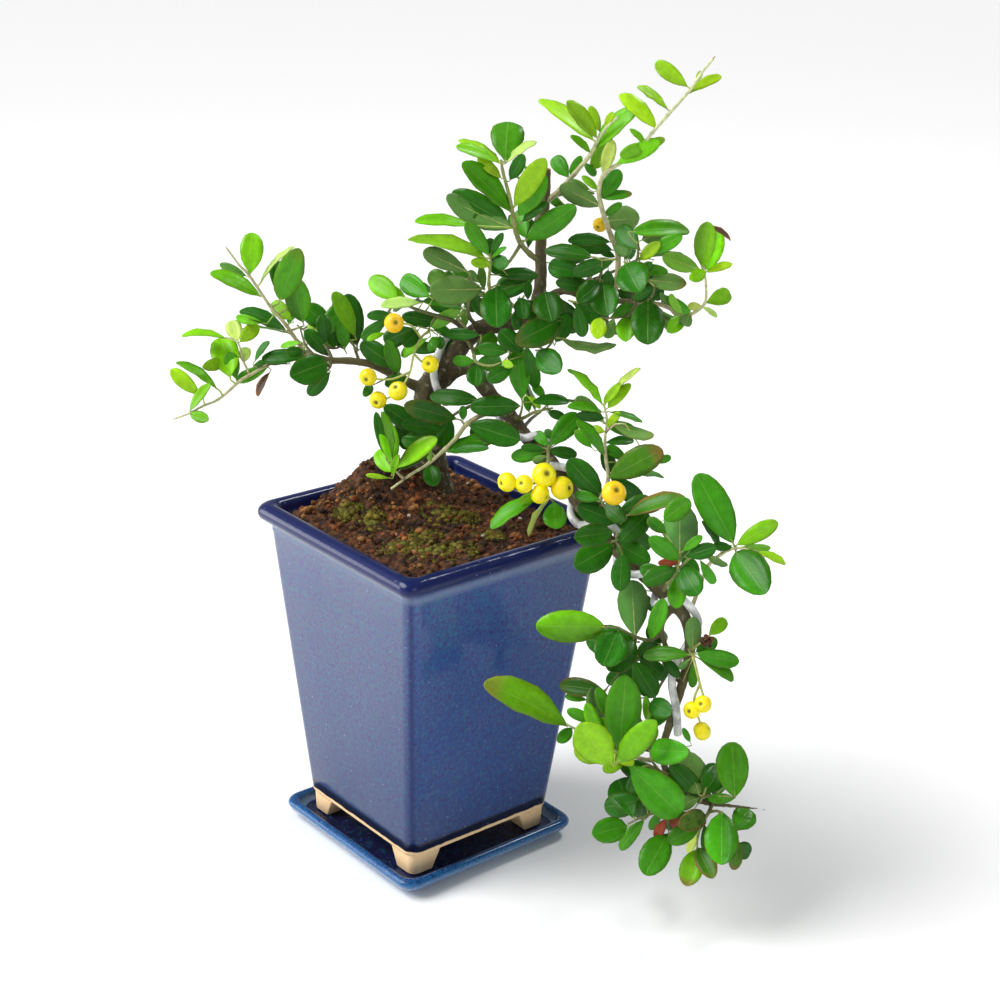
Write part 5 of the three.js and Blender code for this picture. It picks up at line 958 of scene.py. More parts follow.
def shoot_bark(name):
    """A season's stem. It gives the eye smooth skin, green at the tip and brown towards the wood,
    with pale pores."""
    made, add = new_material(name)
    point = add("TexCoord", out="Object")
    tone = add("Attribute", attribute_name="tone")
    patches = add("TexNoise", {"Vector": point, "Scale": per(1.6), "Detail": 3})
    shade = add("MapRange", [patches, 0.3, 0.7, 0.7, 1.25])
    body = add("VectorMath", {0: tone, "Scale": shade}, operation="SCALE")
    pores = add("TexNoise", {"Vector": point, "Scale": per(0.45)})
    pores = add("MapRange", [pores, 0.64, 0.72, 0, 0.5])
    body = add("Mix", {0: pores, A: body, B: "#C8BFA0"}, **COLOUR)
    bump = add("Bump", {"Height": patches, "Distance": 0.1 * MM})
    shader = add("BsdfPrincipled", {"Base Color": body, "Roughness": 0.52, "Normal": bump})
    add("OutputMaterial", [shader])
    return made


def old_bark(name, bark, lichen):
    """Old firethorn bark. It is dull and grey-brown, darker in its long furrows, partly with painted
    shade, flaking in small plates and spotted with lichen, and saw cuts show warm brown wood."""
    made, add = new_material(name)
    point = add("TexCoord", out="Object")
    age = add("Attribute", out="Fac", attribute_name="wood_age")
    furrow = add("Attribute", out="Fac", attribute_name="wood_furrow")
    cut = add("Attribute", out="Fac", attribute_name="wood_cut")
    coarse = add("TexNoise", {"Vector": point, "Scale": per(4.5), "Detail": 4, "Roughness": 0.6})
    fine = add("TexNoise", {"Vector": point, "Scale": per(0.7), "Detail": 4, "Roughness": 0.7})
    plates = add("MapRange", [coarse, 0.35, 0.65])
    # Partly painted shade: the deeper the furrow, the darker the bark, its own darker colour there with
    # shade painted in
    dark = add("MapRange", [furrow, 0.2, 0.55, 0.75, 0])
    young = add("MapRange", [age, 0, 1, 0.75, 0.1])
    spots = add("TexNoise", {"Vector": point, "Scale": per(2.4), "Detail": 3})
    spots = add("MapRange", [spots, 0.56, 0.66, 0, age])
    sawn = add("Mix", {0: fine, A: "#7A4A24", B: "#B9824A"}, **COLOUR)
    body = bark
    for share, over in ((plates, "#524832"), (dark, "#2C2618"), (young, "#6A6440"), (spots, lichen),
                        (cut, sawn)):
        body = add("Mix", {0: share, A: body, B: over}, **COLOUR)
    relief = add("Math", [fine, 0.7, coarse], operation="MULTIPLY_ADD")
    bump = add("Bump", {"Height": relief, "Distance": 0.5 * MM, "Strength": 0.8})
    shader = add("BsdfPrincipled", {"Base Color": body, "Roughness": 0.86, "Normal": bump})
    add("OutputMaterial", [shader])
    return made


def drawn_aluminium(name, colour):
    """Soft aluminium wire, drawn and annealed. It is bright but matt, with faint dents from the
    pliers and greyer stretches."""
    made, add = new_material(name)
    point = add("TexCoord", out="Object")
    dents = add("TexNoise", {"Vector": point, "Scale": per(1.8), "Detail": 3})
    grey = add("TexNoise", {"Vector": point, "Scale": per(5)})
    grey = add("MapRange", [grey, 0.4, 0.7])
    body = add("Mix", {0: grey, A: colour, B: "#A9ACB0"}, **COLOUR)
    matt = add("MapRange", [dents, 0.3, 0.7, 0.4, 0.55])
    bump = add("Bump", {"Height": dents, "Distance": 0.08 * MM})
    shader = add("BsdfPrincipled", {
        "Base Color": body, "Metallic": 0.2, "Roughness": matt, "Normal": bump})
    add("OutputMaterial", [shader])
    return made


def berry_skin(name):
    """Ripe firethorn berry. Its thin waxed skin shines softly, yellow with an orange blush, and is
    greener and duller round the eye."""
    made, add = new_material(name)
    point = add("TexCoord", out="Object")
    tone = add("Attribute", attribute_name="tone")
    near = add("Attribute", out="Fac", attribute_name="berry_eye")
    blush = add("TexNoise", {"Vector": point, "Scale": per(4.5)})
    blush = add("MapRange", [blush, 0.45, 0.7, 0, 0.25])
    body = add("Mix", {0: blush, A: tone, B: "#EFA512"}, **COLOUR)
    near = add("MapRange", [near, 0.86, 1.0])
    body = add("Mix", {0: near, A: body, B: "#A39A26"}, **COLOUR)
    pores = add("TexNoise", {"Vector": point, "Scale": per(0.4)})
    bump = add("Bump", {"Height": pores, "Distance": 0.03 * MM})
    shader = add("BsdfPrincipled", {
        "Base Color": body, "Roughness": 0.36, "Normal": bump, "Subsurface Weight": 0.12,
        "Subsurface Scale": 2 * MM})
    add("OutputMaterial", [shader])
    return made


def granular(name, size, dark, light, relief, toned=False):
    """Dull matter in small grains, such as the dried calyx, damp soil, clay crumbs or moss. It gives
    the eye two colours broken up finely, and where toned, each lump's own colour under them."""
    made, add = new_material(name)
    point = add("TexCoord", out="Object")
    coarse = add("TexNoise", {"Vector": point, "Scale": per(size * 3), "Detail": 3})
    fine = add("TexNoise", {"Vector": point, "Scale": per(size), "Detail": 4, "Roughness": 0.7})
    patches = add("MapRange", [coarse, 0.35, 0.65])
    body = add("Mix", {0: patches, A: dark, B: light}, **COLOUR)
    if toned:
        tone = add("Attribute", attribute_name="tone")
        body = add("Mix", {0: 0.75, A: body, B: tone}, **COLOUR)
    shade = add("MapRange", [fine, 0.3, 0.7, 0.4, 1.65])
    body = add("VectorMath", {0: body, "Scale": shade}, operation="SCALE")
    bump = add("Bump", {"Height": fine, "Distance": relief * MM})
    shader = add("BsdfPrincipled", {"Base Color": body, "Roughness": 0.88, "Normal": bump})
    add("OutputMaterial", [shader])
    return made


def matt_paper(name, colour):
    """White background paper: plain and matt, so that it gives the eye nothing but the shadow."""
    made, add = new_material(name)
    shader = add("BsdfPrincipled", {"Base Color": colour, "Roughness": 0.95})
    add("OutputMaterial", [shader])
    return made


# Where each leaf's solid lies. These repeat the part's own rules, and the solids' own corners then
# tell which of a leaf's possible bends was taken.


def nearest_on_stems(stems, column, row):
    """The picture place with its depth, and the point, on any of the stems that is nearest."""
    best = None
    for stem in stems:
        spots = stem[1:]
        for start, end in zip(spots, spots[1:]):
            reach = (end[0] - start[0]) ** 2 + (end[1] - start[1]) ** 2 + 1e-9
            raw = ((column - start[0]) * (end[0] - start[0])
                   + (row - start[1]) * (end[1] - start[1])) / reach
            t = clamp(raw, high=STEM_END)
            spot = [a + (b - a) * t for a, b in zip(start, end)]
            gap = math.hypot(spot[0] - column, spot[1] - row)
            if best is None or gap < best[1]:
                best = (spot, gap, place(start).lerp(place(end), t))
    return best[0], best[2]


def read_leaf(stems, row, draw):
    """A leaf as the picture shows it, with its tip's depth judged from how short it looks."""
    column0, row0, column1, row1, wide, tone = row[:6]
    spot, root = nearest_on_stems(stems, column0, row0)
    base = place((column0, row0, spot[2]))
    scale = mm_per_pixel(base)
    long = math.hypot(column1 - column0, row1 - row0) * scale
    shown = wide * scale
    full = min(max(SHAPE["stubby"] * shown, long), SHAPE["most"] * long)
    wander = (next(draw) - 0.5) * SHAPE["scatter"] * long
    gain = math.sqrt(max(0.0, full * full - long * long)) * (-1 if row1 < row0 else 1)
    gain = wander if abs(gain) < abs(wander) else gain
    real = max(shown, long / SHAPE["slim"])
    turn = math.degrees(math.acos(min(1, shown / real)))
    lean = row[6] if len(row) > 6 else gain
    return {"root": root, "base": base, "end": (column1, row1), "depth": spot[2] + lean,
            "wide": real, "turn": turn, "tone": tone}


def bent_leaf(read, bend):
    """That leaf with one of the bends, its upper side up, or its underside where its tone says so."""
    extra, roll = bend
    tip = place((*read["end"], read["depth"] + extra))
    along = (tip - read["base"]).normalized()
    flat = facing_eye(read["base"], along)
    side = along.cross(flat)
    up = -1 if side.z < 0 else 1
    angle = rad(read["turn"] + roll)
    face = flat * math.cos(angle) + side * (up * math.sin(angle))
    if read["tone"] in "GHK":
        face = -face
    return {"root": read["root"], "base": read["base"], "tip": tip, "wide": read["wide"],
            "face": face, "tone": read["tone"], "end": read["end"]}


def blade_corners(leaf, plain=False):
    """The outer corners of a leaf's solid, with its tip last."""
    along = leaf["tip"] - leaf["base"]
    length = along.length
    across = along.cross(leaf["face"]).normalized()
    face = across.cross(along).normalized()
    creased = leaf["wide"] > LEAF["broad"]
    if leaf["wide"] < LEAF["thin"]:
        stations = STATIONS["thin"]
    elif length > LEAF["long"] and leaf["wide"] > LEAF["slight"]:
        stations = STATIONS["long"]
    else:
        stations = STATIONS["short"]
    corners = []
    for share, width in STATIONS["short"] if plain else stations:
        bow = LEAF["bow"] * length * 4 * share * (1 - share)
        middle = leaf["base"] + along * share + face * bow
        half = leaf["wide"] * width / 2
        rise = face * (half * 2 * LEAF["fold"] if creased else 0)
        reach = max(half, 0.5)
        corners += [middle + across * reach + rise, middle - across * reach + rise]
    return corners + [leaf["tip"]]


def far_leaf(stems, number):
    """A leaf that the rule tries on a shoot of the far side. The part left out those that touched."""
    stem = stems[number % len(stems)]
    spots = [place(spot) for spot in stem[1:]]
    share = FAR_RULE["first"] + (1 - FAR_RULE["first"]) * (number * FAR_RULE["way_step"] % 1)
    share *= len(spots) - 1
    i = min(len(spots) - 2, math.floor(share))
    root = spots[i].lerp(spots[i + 1], share - i)
    along = (spots[i + 1] - spots[i]).normalized()
    turn = rad(number * FAR_RULE["golden"])
    flat = along.cross(Vector((0, 0, 1))).normalized()
    rise = flat.cross(along)
    out = flat * math.cos(turn) + rise * math.sin(turn)
    lean = out * FAR_RULE["spread"] + along * FAR_RULE["forward"]
    lean = (lean + Vector((0, 0, FAR_RULE["lift"]))).normalized()
    size = FAR_RULE["least_size"] + FAR_RULE["more_size"] * (number * FAR_RULE["size_step"] % 1)
    base = root + lean * FAR_RULE["stalk"]
    tip = base + lean * FAR_RULE["long"] * size
    face = (Vector((0, 0, 1)) + along * FAR_RULE["facing"] - lean * lean.z).normalized()
    return {"root": root, "base": base, "tip": tip, "wide": FAR_RULE["wide"] * size, "face": face,
            "tone": "D" if number % 3 else "M", "end": None}


def share_found(tree, corners):
    found = sum(tree.find(corner * MM)[2] < FOUND_WITHIN * MM for corner in corners)
    return found / len(corners)


def leaves_of(name):
    """The leaves of a shoot, each as its solid lies."""
    tree = tree_of([v.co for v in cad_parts[name].data.vertices])
    if name in FAR_SHOOTS:
        tried = [far_leaf(FAR_SHOOTS[name], number) for number in range(1, FAR_RULE["tries"] + 1)]
        return [leaf for leaf in tried if share_found(tree, blade_corners(leaf, True)) > FOUND_SHARE]
    _, stems, rows = SHOOTS[name]
    draw = draws(101 + len(name) * 7 + len(rows))
    leaves = []
    for row in rows:
        read = read_leaf(stems, row, draw)
        bent = [bent_leaf(read, bend) for bend in BENDS]
        leaves.append(max(bent, key=lambda leaf: share_found(tree, blade_corners(leaf))))
    for leaf in leaves:
        stalk, slim = SLENDER.get(leaf["end"], (0, 1))
        leaf["base"] = leaf["base"].lerp(leaf["tip"], stalk)
        leaf["wide"] *= slim
    return leaves


# Stems and leaves


def smooth_path(points, step):
    """Points every step mm or so on a curve through the given ones, each with its place in their row."""
    padded = [points[0] * 2 - points[1], *points, points[-1] * 2 - points[-2]]
    path = []
    for i in range(1, len(padded) - 2):
        p0, p1, p2, p3 = padded[i - 1:i + 3]
        count = max(1, round((p2 - p1).length / step))
        for k in range(count):
            t = k / count
            path.append((0.5 * (p1 * 2 + (p2 - p0) * t + (p0 * 2 - p1 * 5 + p2 * 4 - p3) * t * t
                                + (p1 * 3 - p0 - p2 * 3 + p3) * t ** 3), i - 1 + t))
    path.append((points[-1], len(points) - 1))
    return path


# Faces of a three-sided spike, whose tip is its last point
SPIKE = [[0, 1, 3], [1, 2, 3], [2, 0, 3], [0, 2, 1]]


class Skin:
    """Points, faces and per-point colours of one piece that is put together from many shapes."""

    def __init__(self, side="leaf_under"):
        self.side = side
        self.points, self.faces, self.uvs = [], [], []
        self.tones, self.marks, self.under, self.slots = [], [], [], []

    def add(self, points, faces, tones, marks=(0, 0, 0, 0), under=0.0, uvs=None, slot=0):
        start = len(self.points)
        count = len(points)
        self.points += points
        self.faces += [[start + i for i in face] for face in faces]
        self.tones += tones if isinstance(tones, list) else [tones] * count
        self.marks += [marks] * count
        self.under += under if isinstance(under, list) else [under] * count
        self.uvs += uvs or [(0.5, 0.5)] * count
        self.slots += [slot] * len(faces)

    def make(self, name, materials):
        obj = object_from(name, self.points, self.faces)
        mesh = obj.data
        dress(obj, *materials)
        mesh.polygons.foreach_set("material_index", self.slots)
        store(mesh, "tone", self.tones, "FLOAT_COLOR")
        store(mesh, "mark", self.marks, "FLOAT_COLOR")
        store(mesh, self.side, self.under)
        blade = mesh.uv_layers.new(name="blade")
        corners = np.zeros(len(mesh.loops), dtype=np.int32)
        mesh.loops.foreach_get("vertex_index", corners)
        blade.data.foreach_set("uv", np.array(self.uvs)[corners].ravel())
        mesh.update()
        return obj


def side_of(along, last):
    """A direction square to the way along, turned as little as possible from the last one."""
    side = last - along * last.dot(along)
    if side.length < 0.1:
        side = Vector((1, 0.3, 0)) - along * along.dot(Vector((1, 0.3, 0)))
    return side.normalized()


def tube_rings(path, radii, sides):
    """Rings round a path, turned as little as possible from one to the next."""
    side = Vector((0, 0, 1))
    rings = []
    for i, (spot, radius) in enumerate(zip(path, radii)):
        along = (path[min(i + 1, len(path) - 1)] - path[max(i - 1, 0)]).normalized()
        side = side_of(along, side)
        other = along.cross(side)
        rings.append([spot + (side * math.cos(2 * math.pi * k / sides)
                              + other * math.sin(2 * math.pi * k / sides)) * radius
                      for k in range(sides)])
    return rings


def tube_faces(count, sides):
    faces = [[i * sides + k, i * sides + (k + 1) % sides, (i + 1) * sides + (k + 1) % sides,
              (i + 1) * sides + k] for i in range(count - 1) for k in range(sides)]
    faces.append(list(range(sides))[::-1])
    faces.append([(count - 1) * sides + k for k in range(sides)])
    return faces


def tube_object(name, path, radii, sides):
    rings = tube_rings(path, radii, sides)
    return object_from(name, [point for ring in rings for point in ring], tube_faces(len(rings), sides))


def add_tube(skin, path, radii, sides, tones, slot=0):
    rings = tube_rings(path, radii, sides)
    points = [point for ring in rings for point in ring]
    spread = [tone for tone in tones for _ in range(sides)] if isinstance(tones, list) else tones
    skin.add(points, tube_faces(len(rings), sides), spread, slot=slot)


def blend_colour(a, b, share):
    return tuple(x + (y - x) * share for x, y in zip(a, b))


def add_stem(skin, stem, green, brown, chance, thorn):
    """A green stem through its picture places, swollen at its joints and thinning to its tip."""
    thick, spots = stem[0], [place(spot) for spot in stem[1:]]
    last = len(spots) - 1
    path, radii, tones = [], [], []
    for point, at in smooth_path(spots, STEP["stem"]):
        share = at / last
        swell = 1 + 0.16 * max(0.0, math.cos(2 * math.pi * at)) ** 6
        path.append(point)
        radii.append(max(0.24, thick / 2 * (1 - 0.62 * share) * swell))
        tones.append(blend_colour(brown, green, min(1, share * 1.25 + 0.05 * chance.random())))
    if thorn:
        ahead = (path[-1] - path[-3]).normalized()
        path += [path[-1] + ahead * 0.9, path[-1] + ahead * 1.8]
        radii += [radii[-1] * 0.6, 0.06]
        tones += [blend_colour(tones[-1], linear("#B5763A"), 0.7)] * 2
    add_tube(skin, path, radii, bpy.context.scene.bonsai_plant.sides, tones, slot=1)


# A blade's half-width at shares of its length, and the radii of its stalk and midrib in mm
HALF_WIDTHS = [(0.0, 0.05), (0.07, 0.19), (0.18, 0.52), (0.33, 0.86), (0.5, 1.05), (0.67, 1.09),
               (0.81, 0.96), (0.92, 0.7), (0.98, 0.38), (1.0, 0.12)]
STALK_RADII = [0.5, 0.42, 0.38, 0.36, 0.28, 0.2, 0.1]


def leaf_blank():
    """One flat leaf blade, modelled as a grid with a thickness, that every leaf is bent from."""
    deselect()
    columns = len(HALF_WIDTHS) - 1
    bpy.ops.mesh.primitive_grid_add(x_subdivisions=columns, y_subdivisions=4, size=2)
    blank = bpy.context.view_layer.objects.active
    for vertex in blank.data.vertices:
        station = round((vertex.co.x + 1) / 2 * columns)
        vertex.co.x = HALF_WIDTHS[station][0]
    apply_modifier(blank, "SOLIDIFY", thickness=0.02, offset=0, use_even_offset=False)
    points, faces = taken_apart(blank)
    return [(x, clamp(y, -1.0), 1 if z > 0 else -1) for x, y, z in points], faces


def width_at(t):
    """A blade's half-width at a share of its length."""
    for (t0, w0), (t1, w1) in zip(HALF_WIDTHS, HALF_WIDTHS[1:]):
        if t <= t1:
            return w0 + (w1 - w0) * (t - t0) / (t1 - t0)
    return HALF_WIDTHS[-1][1]


def tone_of(letter):
    """The colour that a leaf's letter stands for. G, H and K are leaves that show their underside."""
    plant = bpy.context.scene.bonsai_plant
    names = {"Y": plant.young, "B": plant.bright, "M": plant.middle, "D": plant.dark,
             "G": plant.grey, "H": plant.bright, "K": plant.dark, "P": plant.pale, "R": plant.red}
    return names[letter]


def varied(colour, chance, amount):
    """The colour a little lighter or darker, and a little warmer or cooler."""
    light = 1 + (chance.random() - 0.5) * amount
    warm = 1 + (chance.random() - 0.5) * amount * 0.6
    return (colour[0] * light * warm, colour[1] * light, colour[2] * light / warm, 1.0)


def add_leaf(skin, leaf, blank, chance):
    """Bends the blank into one leaf: bowed, folded along its midrib, a little twisted and waved."""
    shape, faces = blank
    along = leaf["tip"] - leaf["base"]
    length = along.length
    forward = along.normalized()
    across = forward.cross(leaf["face"]).normalized()
    face = across.cross(forward).normalized()
    thick = bpy.context.scene.bonsai_plant.leaf_thickness / MM / 2
    fold = 0.1 + 0.26 * chance.random()
    twist = rad((chance.random() - 0.5) * 26)
    wave, phase = 0.05 + 0.09 * chance.random(), chance.random() * 6.28
    droop = -0.05 + 0.13 * chance.random()
    uneven = (chance.random() - 0.5) * 0.14
    broadest = 0.72 + 0.28 * chance.random()
    tone = varied(tone_of(leaf["tone"]), chance, 0.5)
    mark = MARKS.get(leaf["end"], (0.0, 0.0, 0.0))
    tone = blend_colour(tone, linear("#553720"), min(mark[:2]))
    if leaf["end"] not in MARKS and chance.random() < 0.05:
        mark = (0.3 * chance.random(), 0.2 * chance.random(), 0.0)

    def spot(t, s, lift):
        half = leaf["wide"] / 2 * width_at(t ** broadest) * (1 + uneven * s)
        turn = twist * (t - 0.4)
        side = across * math.cos(turn) + face * math.sin(turn)
        up = face * math.cos(turn) - across * math.sin(turn)
        bow = LEAF["bow"] * length * 4 * t * (1 - t) - droop * length * max(0.0, t - 0.55) ** 2 * 3
        ripple = wave * abs(s) * half * math.sin(2.6 * 2 * math.pi * t + phase + (0.9 if s > 0 else 0))
        height = fold * half * (abs(s) ** 1.35 - 0.5) + ripple + lift
        return leaf["base"] + forward * (length * t) + face * bow + side * (s * half) + up * height

    # Painted light and shade: one half of a blade is lighter and the other darker, a little and at random
    # on most leaves and strongly on the listed ones
    half_light = 0.34 if leaf["end"] in HALF_LIT else 0.24 * (chance.random() - 0.5)
    points, under, uvs, tones = [], [], [], []
    for t, s, layer in shape:
        light = 1 + half_light * clamp(s * 4, -1.0)
        tones.append((tone[0] * light, tone[1] * light, tone[2] * light, 1.0))
        taper = 1 - 0.5 * abs(s)
        points.append(spot(t, s, layer * thick * taper))
        under.append(0.0 if layer > 0 else 1.0)
        uvs.append((t, 0.5 + s / 2))
    skin.add(points, faces, tones, marks=(*mark, 1.0), under=under, uvs=uvs)
    stalk = blend_colour(tone, linear("#B9B56A"), 0.55)
    first = leaf["root"]
    second = leaf["base"] - forward * min(1.6, (leaf["base"] - first).length * 0.4)
    path = [first, first.lerp(second, 0.5), second, spot(0.05, 0, -0.1), spot(0.2, 0, -0.12),
            spot(0.45, 0, -0.1), spot(0.72, 0, -0.06)]
    size = clamp(length / 20, 0.55)
    add_tube(skin, path, [radius * size for radius in STALK_RADII], SIDES["leaf_stalk"], stalk, slot=1)


# A stem's colours at its tip and at its foot, by the green of its shoot
STEM_COLOURS = {
    "young": ("#C9CE9C", "#A59670"), "bright": ("#BFC08C", "#A59670"), "middle": ("#8E9A52", "#6E6A3C"),
    "dark": ("#636F36", "#54482C"), "grey": ("#74824E", "#54482C"),
}
# Shoots whose stems end in a thorn
THORNED = {"armTop", "armTip", "whip", "endDown", "hangLeft", "wristRosette", "crownRightTip",
           "farArm", "farCrown", "farEnd"}


def shoot_piece(name, blank, looks):
    """One shoot with its stems and leaves, which stands for the solid of the same name."""
    green, stems = SHOOTS[name][:2] if name in SHOOTS else ("dark", FAR_SHOOTS[name])
    chance = random.Random(len(name) * 31 + ord(name[0]) * 7 + ord(name[-1]))
    skin = Skin()
    tip, foot = [linear(code) for code in STEM_COLOURS[green]]
    for stem in stems:
        add_stem(skin, stem, tip, foot, chance, name in THORNED)
    for leaf in leaves_of(name):
        add_leaf(skin, leaf, blank, chance)
    declare(skin.make("shoot_" + name, looks), "leaf_" + green, name)


# How far back in mm an inner leaf lies where its row doesn't say
INNER_LEAN = -3


def inner_leaf(row):
    """A leaf on the nearest stem of any shoot, leaning away from the eye."""
    column0, row0, column1, row1, wide, tone = row[:6]
    lean = row[6] if len(row) > 6 else INNER_LEAN
    spot, root = nearest_on_stems(SHOWN_STEMS, column0, row0)
    base = place((column0, row0, spot[2] + lean))
    scale = mm_per_pixel(base)
    tip = place((column1, row1, spot[2] + 2 * lean))
    along = (tip - base).normalized()
    face = facing_eye(base, along)
    return {"root": root, "base": base, "tip": tip, "wide": wide * scale, "face": face, "tone": tone,
            "end": None}


def inner_leaves_piece(blank, looks):
    chance = random.Random(SEEDS["inner_leaves"])
    skin = Skin()
    for row in INNER_LEAVES:
        add_leaf(skin, inner_leaf(row), blank, chance)
    declare(skin.make("inner_leaves", looks), "leaf_dark")


# Wood


def wood_path(name):
    """A limb's places with its radius at each."""
    return [(place(row), row[3] / 2) for row in WOOD[name]]


def wood_samples():
    """Close places along every limb's axis, with the radius, way along, and a side to measure from."""
    samples = []
    for name in WOOD:
        path = wood_path(name)
        spots = [spot for spot, _ in path]
        side = Vector((0, 0, 1))
        way = 0.0
        smooth = smooth_path(spots, STEP["limb"])
        for i, (point, at) in enumerate(smooth):
            k = min(len(path) - 2, int(at))
            radius = path[k][1] + (path[k + 1][1] - path[k][1]) * (at - k)
            ahead = smooth[min(i + 1, len(smooth) - 1)][0]
            behind = smooth[max(i - 1, 0)][0]
            along = (ahead - behind).normalized()
            side = side_of(along, side)
            way += (point - behind).length
            samples.append({"limb": name, "spot": point, "radius": radius, "along": along,
                            "side": side, "other": along.cross(side), "way": way})
    return samples


# Cell of the remesh that fuses the limbs, in mm
WOOD_GRAIN = 0.62
# Saw cuts: place as in WOOD, and reach in mm
SCARS = [((548, 168, -12), 1.7), ((553, 199, -10.4), 1.5), ((541, 203, -11), 0.8)]


def build_wood():
    """Limbs as tubes, fused by a remesh, then furrowed lengthwise as old bark is."""
    samples = wood_samples()
    limbs = []
    for name in WOOD:
        mine = [s for s in samples if s["limb"] == name]
        path = [s["spot"] for s in mine]
        radii = [s["radius"] for s in mine]
        limbs.append(tube_object("limb_" + name, path, radii, SIDES["limb"]))
    wood = join(limbs, "firethorn_wood")
    apply_modifier(wood, "REMESH", mode="VOXEL", voxel_size=WOOD_GRAIN * MM, use_smooth_shade=True)
    apply_modifier(wood, "SMOOTH", factor=0.5, iterations=3)
    mesh = wood.data
    tree = tree_of([sample["spot"] for sample in samples])
    plant = bpy.context.scene.bonsai_plant
    depth = plant.bark_depth / MM
    ages, furrows, cuts, moved = [], [], [], []
    for vertex in mesh.vertices:
        point = vertex.co / MM
        sample = samples[tree.find(point)[1]]
        out = point - sample["spot"]
        u, v = out.dot(sample["side"]), out.dot(sample["other"])
        grain = noise.noise(Vector((u * 0.75, v * 0.75, sample["way"] * 0.16)))
        plates = noise.noise(point * 0.42)
        small = noise.noise(point * 1.5)
        furrow = min(1.0, abs(grain) * 3.2)
        age = clamp((sample["radius"] - 1.1) / 2.4)
        cut = clamp(3 * max(1 - (point - place(spot)).length / reach for spot, reach in SCARS))
        lift = depth * (0.25 + 0.75 * age) * (furrow * 0.75 - 0.5 + 0.35 * plates + 0.22 * small)
        lift += 0.05 * sample["radius"] * plates
        moved.append(vertex.co + vertex.normal * lift * (1 - cut) * MM)
        ages.append(age)
        furrows.append(furrow)
        cuts.append(cut)
    for vertex, co in zip(mesh.vertices, moved):
        vertex.co = co
    store(mesh, "wood_age", ages)
    store(mesh, "wood_furrow", furrows)
    store(mesh, "wood_cut", cuts)
    dress(wood, old_bark("old_firethorn_bark", plant.bark, plant.lichen))
    shade_smooth(wood)
    mesh.update()
    declare(wood, "bark", "wood")


# Training wire


def wire_reach(radius):
    """How far the middle of the wire stays from the middle of a limb of this radius."""
    return radius * 1.1 + WIRE_RADIUS + CLEAR * 2


def winding_point(name, at, turn):
    path = wood_path(name)
    i = min(len(path) - 2, math.floor(at))
    (p0, r0), (p1, r1) = path[i], path[i + 1]
    t = at - i
    along = (p1 - p0).normalized()
    radius = r0 + (r1 - r0) * t
    towards = eye["towards"]
    front = (towards - along * towards.dot(along)).normalized()
    side = along.cross(front)
    reach = wire_reach(radius)
    return p0.lerp(p1, t) + front * (reach * math.cos(rad(turn))) + side * (reach * math.sin(rad(turn)))


def winding_points():
    """Places along the wire, evenly turned between the rows of WINDING."""
    points = []
    for (name0, at0, turn0), (name1, at1, turn1) in zip(WINDING, WINDING[1:]):
        steps = max(1, math.floor(abs(turn1 - turn0) / WIRE_STEP + 0.5))
        for k in range(steps):
            t = k / steps
            if name0 == name1:
                points.append(winding_point(name0, at0 + (at1 - at0) * t, turn0 + (turn1 - turn0) * t))
            else:
                points.append(winding_point(name0, at0, turn0).lerp(winding_point(name1, at1, turn1), t))
    return points + [winding_point(*WINDING[-1])]


def pushed_clear(point):
    """The point moved straight out of any limb that the wire would sink into there."""
    for name in WOOD:
        path = wood_path(name)
        for (p0, r0), (p1, r1) in zip(path, path[1:]):
            span = p1 - p0
            t = clamp((point - p0).dot(span) / span.length_squared)
            near = p0 + span * t
            out = point - near
            least = wire_reach(r0 + (r1 - r0) * t)
            if out.length < least:
                point = near + out.normalized() * least
    return point


def build_wire():
    """Round wire along the winding, with its two ends nipped off."""
    points = winding_points()
    for _ in range(3):
        points = [pushed_clear(point) for point in points]
    path = [point for point, _ in smooth_path(points, STEP["wire"])]
    first = path[0] - (path[1] - path[0]).normalized() * NIPPED
    final = path[-1] + (path[-1] - path[-2]).normalized() * NIPPED
    end_radius = WIRE_RADIUS * 0.7
    radii = [end_radius, *[WIRE_RADIUS] * len(path), end_radius]
    wire = tube_object("training_wire_wound", [first, *path, final], radii, SIDES["wire"])
    smooth_by_angle(wire, 50)
    dress(wire, drawn_aluminium("drawn_aluminium", bpy.context.scene.bonsai_plant.wire))
    declare(wire, "wire", "training_wire")


# Berries


# Berries of a deeper yellow, by picture place
DEEP_YELLOW = "#FFD20A"
ORANGE_BERRIES = {(394, 323), (614, 493), (600, 225)}


def berry_blank():
    """A ball drawn in at the eye and at the stalk, with its five-lobed rim."""
    deselect()
    bpy.ops.mesh.primitive_uv_sphere_add(segments=20, ring_count=14, radius=1)
    points, faces = taken_apart(bpy.context.view_layer.objects.active)
    shape = []
    for x, y, z in points:
        bearing = math.atan2(y, x)
        at_eye = clamp((z - 0.93) / 0.06)
        at_eye = at_eye * at_eye * (3 - 2 * at_eye)
        at_stalk = clamp((-z - 0.82) / 0.18)
        lobes = 1 + 0.02 * math.cos(5 * bearing) * max(0.0, z)
        height = z * BERRY_FLAT - 0.24 * at_eye + 0.1 * at_stalk
        shape.append((x * lobes, y * lobes, height, clamp((z - 0.55) / 0.45)))
    return shape, faces


